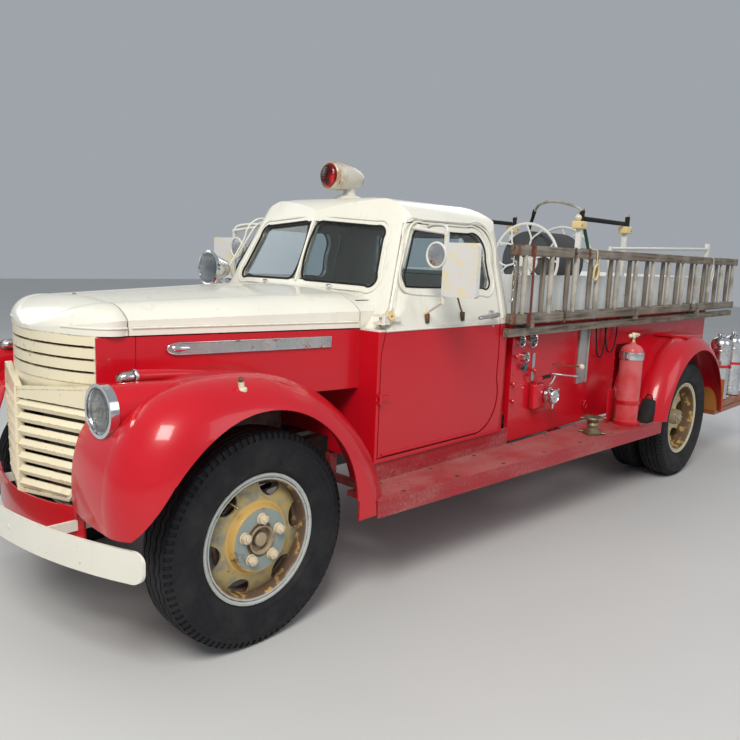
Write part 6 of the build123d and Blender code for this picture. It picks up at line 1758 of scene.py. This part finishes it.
class FIREENGINE_OT_pump_panel(bpy.types.Operator):
    """Gauges, knobs, levers, outlet, channel, straps, hose adapter and chock on the left side"""

    bl_idname = "fire_engine.pump_panel"
    bl_label = "Pump fittings"

    def execute(self, context):
        y = BODY_SIDE
        rims, faces, hands = [], [], []
        for x, z, r in ((0.412, 1.168, 0.036), (0.28, 1.166, 0.046), (0.348, 1.064, 0.031)):
            dial(x, z, r, faces, rims, hands)
        # Painted reflection: the gauge faces are black for the dark reflection in the glass over them.
        group("Gauge_faces", faces, "Dial_black")
        group("Gauge_marks", hands, "Dial_white")
        x, z = 0.11, 0.8
        cap = lathe(
            "Outlet_cap", mm(
                (0, 70), (45, 70), (47.5, 72), (49.5, 78), (49.5, 104), (46.5, 110), (44, 111), (42, 107), (20, 106),
                (14, 112), (0, 113.5),
            ), 56, (x, y, z), "Y",
        )
        lugs = []
        for i in range(3):
            a = math.tau * (i / 3 - 0.25)
            rows = mm((0, 46), (10.5, 46), (9.5, 68), (6.5, 80), (0, 81))
            lugs.append(lathe("Lug", rows, 16, (x, y + 0.091, z), (math.cos(a), 0, math.sin(a))))
        collar = lathe(
            "Outlet_collar", mm((43.5, 50), (56, 52), (58, 58), (56, 66.5), (43.5, 68.5), (43.5, 50)), 48, (x, y, z),
            "Y",
        )
        rims += [cap, collar, *lugs]
        lever = tube(
            "Chrome_lever",
            [(-0.01, 0.722, 0.925), (-0.045, 0.752, 0.92), (-0.12, 0.772, 0.909), (-0.235, 0.788, 0.893)], 0.0062,
        )
        tip = lathe(
            "Lever_tip", mm((0, -50), (6.5, -50), (10.5, -15), (11.5, 10), (8, 22), (0, 25)), 20,
            (-0.235, 0.788, 0.893), (-1, 0.14, -0.13),
        )
        rims += [lever, tip]
        rims.append(tube(
            "Valve_handle", [(x + 0.002, 0.782, 0.868), (x - 0.01, 0.8, 0.905), (x - 0.012, 0.808, 0.935)], 0.0075,
        ))
        group("Pump_chrome", rims, "Chrome", replaces=["pump_fittings"])
        neck = lathe(
            "Outlet_neck", mm((0, 0), (66, 0), (68, 6), (52, 12), (43.5, 20), (43.5, 70), (0, 70)), 48, (x, y, z), "Y",
        )
        body = bar("Valve_body", (x + 0.02, y - 0.002, z - 0.085), (x + 0.15, y + 0.048, z + 0.085), 0.018, 4)
        spindle = tube(
            "Valve_spindle", [
                (x + 0.135, 0.752, z + 0.078), (x + 0.14, 0.768, z + 0.115), (x + 0.115, 0.78, z + 0.126),
                (x + 0.085, 0.78, z + 0.126),
            ], 0.008,
        )
        knobs = [
            lathe("Red_knob", mm((0, 0), (7, 0), (7, 16), (16, 20), (18, 28), (14, 35), (0, 37)), 24, place, "Y")
            for place in ((0.462, y, 1.074), (0.247, y, 0.973), (0.478, y, 0.905), (0.478, y, 0.8))
        ]
        loop = [(-0.5 + 0.022 * math.cos(a), 0.735, 0.655 + 0.026 * math.sin(a)) for a in angles(20)]
        knobs.append(tube("Ring_pull", loop, 0.0045, closed=True))
        knobs.append(peg("Ring_stem", (-0.5, 0.718, 0.682), (-0.5, 0.74, 0.682), 0.007, 14))
        finished(joined("Pump_valve", neck, body, spindle, *knobs), "Red_paint")
        grip = lathe(
            "Black_grip", mm((0, 0), (10, 0), (12, 6), (12, 90), (9.5, 100), (0, 101)), 20, (x + 0.1, 0.78, z + 0.126),
            (-1, 0, 0.03),
        )
        bar_side = [bar("Grey_channel", (-0.488, y - 0.0005, 0.822), (-0.352, y + 0.004, 1.24), 0.001)]
        for x0 in (-0.488, -0.364):
            bar_side.append(bar("Channel_edge", (x0, y, 0.822), (x0 + 0.012, y + 0.016, 1.24), 0.002))
        finished(grip, "Black_rubber")
        plate_back = bar("Lever_plate", (0.222, y, 0.9), (0.248, y + 0.01, 1.08), 0.003)
        finished(joined("Grey_bar", *bar_side, plate_back), "Grey_paint")
        star = [lathe(
            "Drain_valve", mm((0, 0), (16, 0), (16, 10), (8, 14), (8, 30), (0, 31)), 20, (0.36, y, 0.998), "Y",
        )]
        for i in range(4):
            a = math.tau * i / 4 + 0.5
            star.append(lathe(
                "Grip", mm((0, 0), (6, 0), (8, 18), (5, 26), (0, 27)), 12, (0.36, y + 0.027, 0.998),
                (math.cos(a), 0, math.sin(a)),
            ))
        group("Drain_valve", star, "Blue_enamel")
        pull = tube(
            "Throttle_rod",
            [(-0.016, 0.72, 0.987), (-0.05, 0.745, 0.982), (-0.19, 0.772, 0.966), (-0.285, 0.78, 0.955)], 0.0038,
        )
        finished(pull, "Rusty_steel")
        white = lathe(
            "Throttle_knob", mm((0, -20), (9, -19), (19, -10), (22, 3), (18, 15), (8, 21), (0, 22)), 24,
            (-0.3, 0.782, 0.952), (-1, 0.1, -0.1),
        )
        finished(white, "Ivory")
        straps = []
        for x0, x1, low in ((-0.56, -0.72, 0.985), (-0.7, -0.9, 1.01)):
            hang = [
                (x0, 0.738, 1.262), (x0 - 0.005, 0.742, 1.15), (x0 + (x1 - x0) * 0.22, 0.745, low + 0.02),
                (x0 + (x1 - x0) * 0.5, 0.746, low), (x0 + (x1 - x0) * 0.78, 0.745, low + 0.03),
                (x1 + 0.005, 0.742, 1.15), (x1, 0.738, 1.262),
            ]
            straps.append(tube("Hanging_strap", hang, 0.0055, sides=3))
        group("Hanging_straps", straps, "Black_rubber")
        bx, by, bz = -0.19, 0.955, BOARD_TOP
        rows = mm(
            (0, 0), (50, 0), (60, 6), (61, 14), (48, 24), (36, 34), (34, 48), (40, 60), (38, 72), (34, 78), (44, 92),
            (64, 100), (68, 108), (62, 115), (46, 112), (30, 100), (0, 98),
        )
        adapter = [lathe("Adapter", rows, 48, (bx, by, bz), "Z")]
        for i in range(4):
            for height, reach, start in ((0.01, 0.088, 0.3), (0.108, 0.092, 0.9)):
                a = math.tau * i / 4 + start
                way = Vector((math.cos(a), math.sin(a), 0))
                base = Vector((bx, by, bz + height))
                adapter.append(peg("Adapter_lug", base + way * 0.055, base + way * reach, 0.007, 12))
        group("Hose_adapter", adapter, "Dull_bronze")
        chock = plate(
            "Chock", [(-0.8, 0.985, 0.536), (-0.945, 0.985, 0.536), (-0.93, 0.985, 0.69), (-0.88, 0.985, 0.7)],
            (0, 0.085, 0),
        )
        modify(chock, "BEVEL", width=0.01, segments=3)
        handle = tube(
            "Chock_handle", [
                (-0.9, 1.000, 0.694), (-0.9, 1.004, 0.724), (-0.9, 1.027, 0.732), (-0.9, 1.05, 0.724),
                (-0.9, 1.055, 0.694),
            ], 0.005,
        )
        finished(joined("Wheel_chock", chock, handle), "Black_rubber")
        return {"FINISHED"}


def bottle(x, y, z, radius, height, stout):
    """Shell, bands and domed top of an extinguisher standing on its foot ring."""
    rows = [
        (0, 0.004), (radius - 0.01, 0.004), (radius - 0.006, 0.0), (radius, 0.004), (radius, 0.022),
        (radius - 0.004, 0.026), (radius - 0.003, height * 0.5), (radius - 0.003, height - 0.03),
        (radius - 0.001, height - 0.024), (radius - 0.001, height - 0.012), (radius - 0.004, height),
    ]
    rows += [
        ((radius - 0.004) * math.cos(a), height + radius * (0.68 if stout else 0.62) * math.sin(a))
        for a in [math.radians(d) for d in (15, 30, 45, 60, 72)]
    ]
    rows += [(0.022, height + radius * 0.66), (0.019, height + radius * 0.7 + 0.01), (0, height + radius * 0.7 + 0.01)]
    return lathe("Bottle", rows, 48, (x, y, z), "Z")


class FIREENGINE_OT_extinguishers(bpy.types.Operator):
    """The red extinguisher on the running board and two silver ones on the rear step"""

    bl_idname = "fire_engine.extinguishers"
    bl_label = "Extinguishers"

    def execute(self, context):
        x, y, z, radius, height = -0.69, 0.96, BOARD_TOP, 0.081, 0.515
        finished(bottle(x, y, z + 0.004, radius, height, True), "Faded_red", replaces=["extinguisher_board"])
        collar = lathe(
            "Bottle_collar", [
                (radius - 0.006, height - 0.052), (radius + 0.002, height - 0.05), (radius + 0.003, height - 0.046),
                (radius + 0.003, height - 0.002), (radius + 0.002, height + 0.002), (radius - 0.006, height + 0.006),
                (radius - 0.006, height - 0.052),
            ], 48, (x, y, z), "Z",
        )
        ear = bar(
            "Collar_ear", (x + radius - 0.004, y - 0.012, z + height - 0.04),
            (x + radius + 0.014, y + 0.012, z + height - 0.012), 0.004,
        )
        finished(joined("Bottle_collar", collar, ear), "Silver_shell")
        top = z + height + radius * 0.7 + 0.004
        stem = lathe("Valve_stem", mm((0, 0), (18, 0), (19, 10), (14, 20), (13, 44), (0, 46)), 24, (x, y, top), "Z")
        finished(stem, "Brass")
        top += 0.01
        valve = [lathe(
            "Valve_block", mm((0, 0), (15, 0), (17, 6), (15, 30), (10, 36), (0, 37)), 24, (x, y, top + 0.03), "Z",
        )]
        valve.append(peg("Valve_arm", (x - 0.05, y, top + 0.046), (x + 0.052, y, top + 0.046), 0.0085, 16))
        for end, size in ((-0.05, 0.016), (0.052, 0.014)):
            valve.append(lathe("Valve_end", ball_rows(size, 8, size), 18, (x + end, y, top + 0.046 - size), "Z"))
        valve.append(peg("Valve_outlet", (x, y, top + 0.05), (x, y + 0.042, top + 0.056), 0.008, 16))
        group("Valve_block", valve, "Ivory")
        base = lathe(
            "Bottle_base", [
                (0, 0.0), (radius + 0.012, 0.0), (radius + 0.013, 0.004), (radius + 0.012, 0.024),
                (radius + 0.006, 0.028), (radius + 0.004, 0.01), (0, 0.009),
            ], 48, (x, y, z), "Z",
        )
        back = bar(
            "Bottle_bracket", (x + 0.01, y - radius - 0.016, z + 0.002), (x + 0.122, y - radius - 0.008, z + 0.235),
            0.004,
        )
        band = lathe(
            "Bottle_band", [
                (radius - 0.004, 0.15), (radius + 0.004, 0.15), (radius + 0.005, 0.156), (radius + 0.004, 0.172),
                (radius - 0.004, 0.173), (radius - 0.004, 0.15),
            ], 48, (x, y, z), "Z",
        )
        clip = [bar(
            "Band_clip", (x - radius - 0.03, y + 0.004, z + 0.146), (x - radius + 0.002, y + 0.03, z + 0.174), 0.005,
        )]
        clip.append(peg(
            "Band_screw", (x - radius - 0.018, y - 0.01, z + 0.16), (x - radius - 0.018, y + 0.052, z + 0.16), 0.0055,
            14,
        ))
        finished(joined("Bottle_bracket", base, back, band, *clip), "Red_paint")
        for number, x in enumerate((-2.6, -2.95)):
            y, z, radius, height = 0.945, 0.495, 0.088, 0.5
            shell = bottle(x, y, z + 0.002, radius, height, False)
            handles = [tube(
                "Handle", [
                    (x - 0.062, y, z + height + 0.05), (x - 0.064, y, z + height + 0.092), (x, y, z + height + 0.104),
                    (x + 0.064, y, z + height + 0.092), (x + 0.062, y, z + height + 0.05),
                ], 0.006,
            )]
            handles.append(lathe(
                "Filler_cap", mm((0, 0), (34, 0), (36, 6), (34, 18), (24, 23), (0, 25)), 32,
                (x, y, z + height + radius * 0.7), "Z",
            ))
            hoops = [
                lathe(
                    "Hoop", [
                        (radius - 0.004, d), (radius + 0.0015, d + 0.002), (radius + 0.0015, d + 0.008),
                        (radius - 0.004, d + 0.01),
                    ], 48, (x, y, z), "Z",
                )
                for d in (0.06, height - 0.07)
            ]
            finished(
                joined("Silver_bottle", shell, *handles, *hoops), "Silver_shell",
                replaces=["extinguishers"] if number == 0 else (),
            )
            strap = lathe(
                "Silver_strap", [
                    (radius - 0.002, 0.285), (radius + 0.003, 0.285), (radius + 0.003, 0.307), (radius - 0.002, 0.307),
                    (radius - 0.002, 0.285),
                ], 48, (x, y, z), "Z",
            )
            clip = bar(
                "Strap_clip", (x - 0.014, y + radius, z + 0.28), (x + 0.014, y + radius + 0.014, z + 0.312), 0.004,
            )
            arm = bar("Strap_arm", (x - 0.012, 0.719, z + 0.284), (x + 0.012, y - radius + 0.004, z + 0.308), 0.003)
            finished(joined("Silver_strap", strap, clip, arm), "Red_paint")
        return {"FINISHED"}


# Body trim
class FIREENGINE_OT_body_trim(bpy.types.Operator):
    """Bumper bolts, grille valance, markers, beads, side strips, steps, flaps, rails, rivets and grab handles"""

    bl_idname = "fire_engine.body_trim"
    bl_label = "Body trim"

    def execute(self, context):
        bolts = []
        for y in (-0.638, -0.146, 0.146, 0.638):
            x = AXLE_X + 0.758 - y * y / 4.0
            rows = mm((0, -6), (16, -6), (15.5, 0.5), (12, 3), (6, 4), (0, 4.5))
            bolts.append(lathe("Bumper_bolt", rows, 24, (x, y, 0.515), (1, y / 2, 0)))
        group("Bumper_bolts", bolts, "Cream_paint")
        front = [touch("grille_upper", (4, 0.065 * i, 1.12), (-1, 0, 0)) for i in range(-6, 7)]
        edge = [(p.x - 0.003, p.y, 1.03) for p in front] + [(p.x - 0.01, p.y, 1.03) for p in reversed(front)]
        finished(plate("Grille_valance", edge, (0, 0, 0.082)), "Grille_paint")
        place, way = (2.61, 0.85, 1.119), (0.2, 0.1, 1)
        rows = mm((0, -6), (22, -6), (21, 6), (13, 12), (12, 34), (0, 36))
        finished(lathe("Marker_foot", rows, 24, place, way), "Ivory")
        rows = mm((0, 35), (10, 35), (11, 46), (6, 54), (0, 55))
        finished(lathe("Marker_tip", rows, 20, place, way), "Rusty_steel")
        for name, node, x0, x1, left, right in (
            ("Hood_bead", "hood_left", 1.745, 2.842, "hood_left", "hood_right"),
            ("Nose_bead", "nose_cap", 2.862, 3.045, "vehicle", "vehicle"),
        ):
            points = []
            for i in range(13):
                x = x0 + (x1 - x0) * i / 12
                place = touch(node, (x, 2, 1.33), (0, -1, 0))
                if place is not None:
                    points.append(place + Vector((0, 0.0005, 0)))
            both_sides(tube(name, points, 0.0045, sides=3), "Cream_paint", left, right)

        slope = 0.1729

        def strip_y(x):
            return 0.5955 - slope * (x - 1.902)

        ends = [
            (2.7 - 0.052 * (1 - math.cos(a)), STRIP_HALF * math.sin(a))
            for a in [math.pi / 2 - math.pi * i / 10 for i in range(11)]
        ]
        edge = [(1.9, STRIP_HALF), *ends, (1.9, -STRIP_HALF)]
        base = plate("Strip_base", [(x, strip_y(x), STRIP_Z + z) for x, z in edge], (0.0009, 0.0052, 0))
        both_sides(base, "Bright_steel")
        rims = [tube(
            "Strip_rim", [(x + 0.001, strip_y(x) + 0.0055, STRIP_Z + z * 0.93) for x, z in edge], 0.0036, closed=True,
            smooth=False,
        )]
        rims.append(lathe(
            "Strip_nose", mm((0, -100), (6, -85), (15.5, -50), (19.5, -20), (17, 4), (8, 20), (0, 24)), 28,
            (2.665, strip_y(2.665) - 0.006, STRIP_Z), (1, -slope, 0),
        ))
        for i in range(4):
            x = 1.915 + 0.012 * i
            y = strip_y(x) + 0.0055
            rims.append(peg("Strip_rib", (x, y, 1.2205), (x, y, 1.2565), 0.0034, 12))
        both_sides(joined("Side_strip", *rims), "Chrome", replace_left=["side_strips"])
        cap = bar("Fender_step", (REAR_AXLE_X - 0.19, 0.8, 1.11), (REAR_AXLE_X + 0.15, 1.06, 1.131), 0.006)
        both_sides(cap, "Red_paint")
        rivets = []
        for x in (0.455, -0.95, -2.3, -2.72):
            for i in range(8):
                z = 0.62 + 0.085 * i
                rivets.append(lathe("Rivet", mm((0, -2), (6.5, -2), (5.5, 2), (0, 3.5)), 10, (x, 0.7205, z), "Y"))
        both_sides(joined("Body_rivets", *rivets), "Red_paint")
        plate_bolts = []
        for x in (1.7, 1.3, 0.9, 0.5, 0.1, -0.3, -0.7):
            share = (1.9 - x) / (1.9 + 0.974)
            edge_y = 0.95 + 0.16 * share
            for y in (edge_y - 0.03, 0.775):
                rows = mm((0, -1), (11, -1), (10, 3), (0, 5))
                plate_bolts.append(lathe("Board_bolt", rows, 16, (x, y, BOARD_TOP + 0.0005), "Z"))
        both_sides(joined("Board_bolts", *plate_bolts), "Rusty_steel")
        bend = ((0.002, 0.75), (0.055, 0.76), (0.06, 0.9), (0.06, 1.1), (0.055, 1.2), (0.002, 1.21))
        both_sides(tube("Rear_grab", [(BODY_REAR - out, 0.62, z) for out, z in bend], 0.011), "Chrome")
        flap = bar("Mud_flap", (-2.2492, 0.8, 0.44), (-2.2432, 1.118, 0.722), 0.002)
        both_sides(flap, "Flap_brown")
        deck = [bar("Deck", (-3.236, -1.056, 0.446), (-2.775, 1.056, 0.492), 0.005)]
        for side in (1, -1):
            low, high = sorted((side * 0.752, side * 1.056))
            deck.append(bar("Deck", (-2.774, low, 0.446), (-2.262, high, 0.492), 0.005))
        group("Step_deck", deck, "Board_brown")
        rails = []
        for side in (1, -1):
            y = side * 0.692
            rails.append(tube("Rail", [(-0.77, y, 1.764), (-2.735, y, 1.82)], 0.0125, smooth=False))
            low, high = sorted((side * 0.67, side * 0.703))
            rails.append(bar("Rail_post", (-2.768, low, 1.56), (-2.708, high, 1.868), 0.005))
            rails.append(bar("Rail_post", (-0.782, y - 0.01, 1.56), (-0.758, y + 0.01, 1.78), 0.004))
        group("Hand_rails", rails, "White_paint", replaces=["handrails"])
        stud = lathe(
            "Nose_badge_stud", mm((0, -2), (12, -2), (13, 4), (6, 10), (0, 11)), 20, (AXLE_X + 0.395, 0, 1.434), "Z",
        )
        finished(stud, "Chrome")
        return {"FINISHED"}


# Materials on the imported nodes, studio and add-on
class FIREENGINE_OT_finishes(bpy.types.Operator):
    """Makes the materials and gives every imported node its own"""

    bl_idname = "fire_engine.finishes"
    bl_label = "Paint and materials"

    def execute(self, context):
        make_finishes(context.scene.fire_engine_colours)
        for finish, names in NODE_FINISH.items():
            for name in names.split():
                mesh = NODES[name].data
                mesh.materials.clear()
                mesh.materials.append(bpy.data.materials[finish])
        return {"FINISHED"}


SKY_COLOUR = (0.86, 0.93, 1.0, 1)
SKY_STRENGTH = 0.4
# Each soft light's place, what it points at, its size, watts and colour: the sun's side first
LIGHTS = (
    ((7.5, 5.0, 8.5), (0.3, 0, 0.9), 4.0, 900, (1.0, 0.96, 0.9)),
    ((-3.0, 8.5, 5.0), (-1.0, 0, 0.9), 5.0, 130, (0.95, 0.97, 1.0)),
    ((5.0, -7.0, 5.0), (1.0, 0, 1.0), 5.0, 120, (1.0, 1.0, 1.0)),
    ((-8.0, -3.0, 5.5), (-2.0, 0, 1.0), 5.0, 120, (1.0, 1.0, 1.0)),
)
CAMERA_PLACE = (4.3183, 3.1236, 1.6606)
CAMERA_TURN = (80.998, -2.23, 133.42)
CAMERA_LENS = 35.709


class FIREENGINE_OT_studio(bpy.types.Operator):
    """Adds the floor, the soft lights and the camera"""

    bl_idname = "fire_engine.studio"
    bl_label = "Studio"

    def execute(self, context):
        bpy.ops.mesh.primitive_plane_add(size=60, location=(0, 0, -0.001))
        floor = context.object
        floor.name = "Studio_ground"
        floor.data.materials.append(bpy.data.materials["Studio_floor"])
        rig.stage(floor)
        world = bpy.data.worlds.new("Studio_sky")
        world.use_nodes = True
        sky = world.node_tree.nodes["Background"].inputs
        sky["Color"].default_value = SKY_COLOUR
        sky["Strength"].default_value = SKY_STRENGTH
        context.scene.world = world
        context.scene.view_settings.view_transform = "Standard"
        for place, aim, size, power, colour in LIGHTS:
            bpy.ops.object.light_add(type="AREA", location=place)
            light = context.object
            light.data.size = size
            light.data.energy = power
            light.data.color = colour
            light.rotation_euler = (Vector(aim) - Vector(place)).to_track_quat("-Z", "Y").to_euler()
        bpy.ops.object.camera_add(location=CAMERA_PLACE, rotation=[math.radians(turn) for turn in CAMERA_TURN])
        camera = context.object
        camera.data.lens = CAMERA_LENS
        context.scene.camera = camera
        return {"FINISHED"}


class FIREENGINE_PT_parts(bpy.types.Panel):
    """Lists the operators that finish the fire engine"""

    bl_label = "Fire engine"
    bl_idname = "FIREENGINE_PT_parts"
    bl_space_type = "VIEW_3D"
    bl_region_type = "UI"
    bl_category = "Fire engine"

    def draw(self, context):
        for group in (context.scene.fire_engine_sizes, context.scene.fire_engine_colours):
            for name in group.__annotations__:
                self.layout.prop(group, name)
        for operator in OPERATORS:
            self.layout.operator(operator.bl_idname)


OPERATORS = [value for name, value in list(globals().items()) if name.startswith("FIREENGINE_OT_")]
CLASSES = [FIREENGINE_PG_sizes, FIREENGINE_PG_colours, *OPERATORS, FIREENGINE_PT_parts]


def register():
    for cls in CLASSES:
        bpy.utils.register_class(cls)
    bpy.types.Scene.fire_engine_sizes = PointerProperty(type=FIREENGINE_PG_sizes)
    bpy.types.Scene.fire_engine_colours = PointerProperty(type=FIREENGINE_PG_colours)


def unregister():
    del bpy.types.Scene.fire_engine_colours
    del bpy.types.Scene.fire_engine_sizes
    for cls in reversed(CLASSES):
        bpy.utils.unregister_class(cls)


def main():
    register()
    bpy.ops.object.select_all(action="DESELECT")
    bpy.ops.fire_engine.finishes()
    for operator in OPERATORS:
        if operator.bl_idname not in ("fire_engine.finishes", "fire_engine.studio"):
            getattr(bpy.ops.fire_engine, operator.bl_idname.split(".")[1])()
    bpy.ops.fire_engine.studio()
    sizes = {"cad": [list(corner) for corner in CAD_BOX], "visual": [list(corner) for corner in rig.bounds()]}
    with open("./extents.json", "w") as file:
        json.dump(sizes, file)


if __name__ == "__main__":
    main()
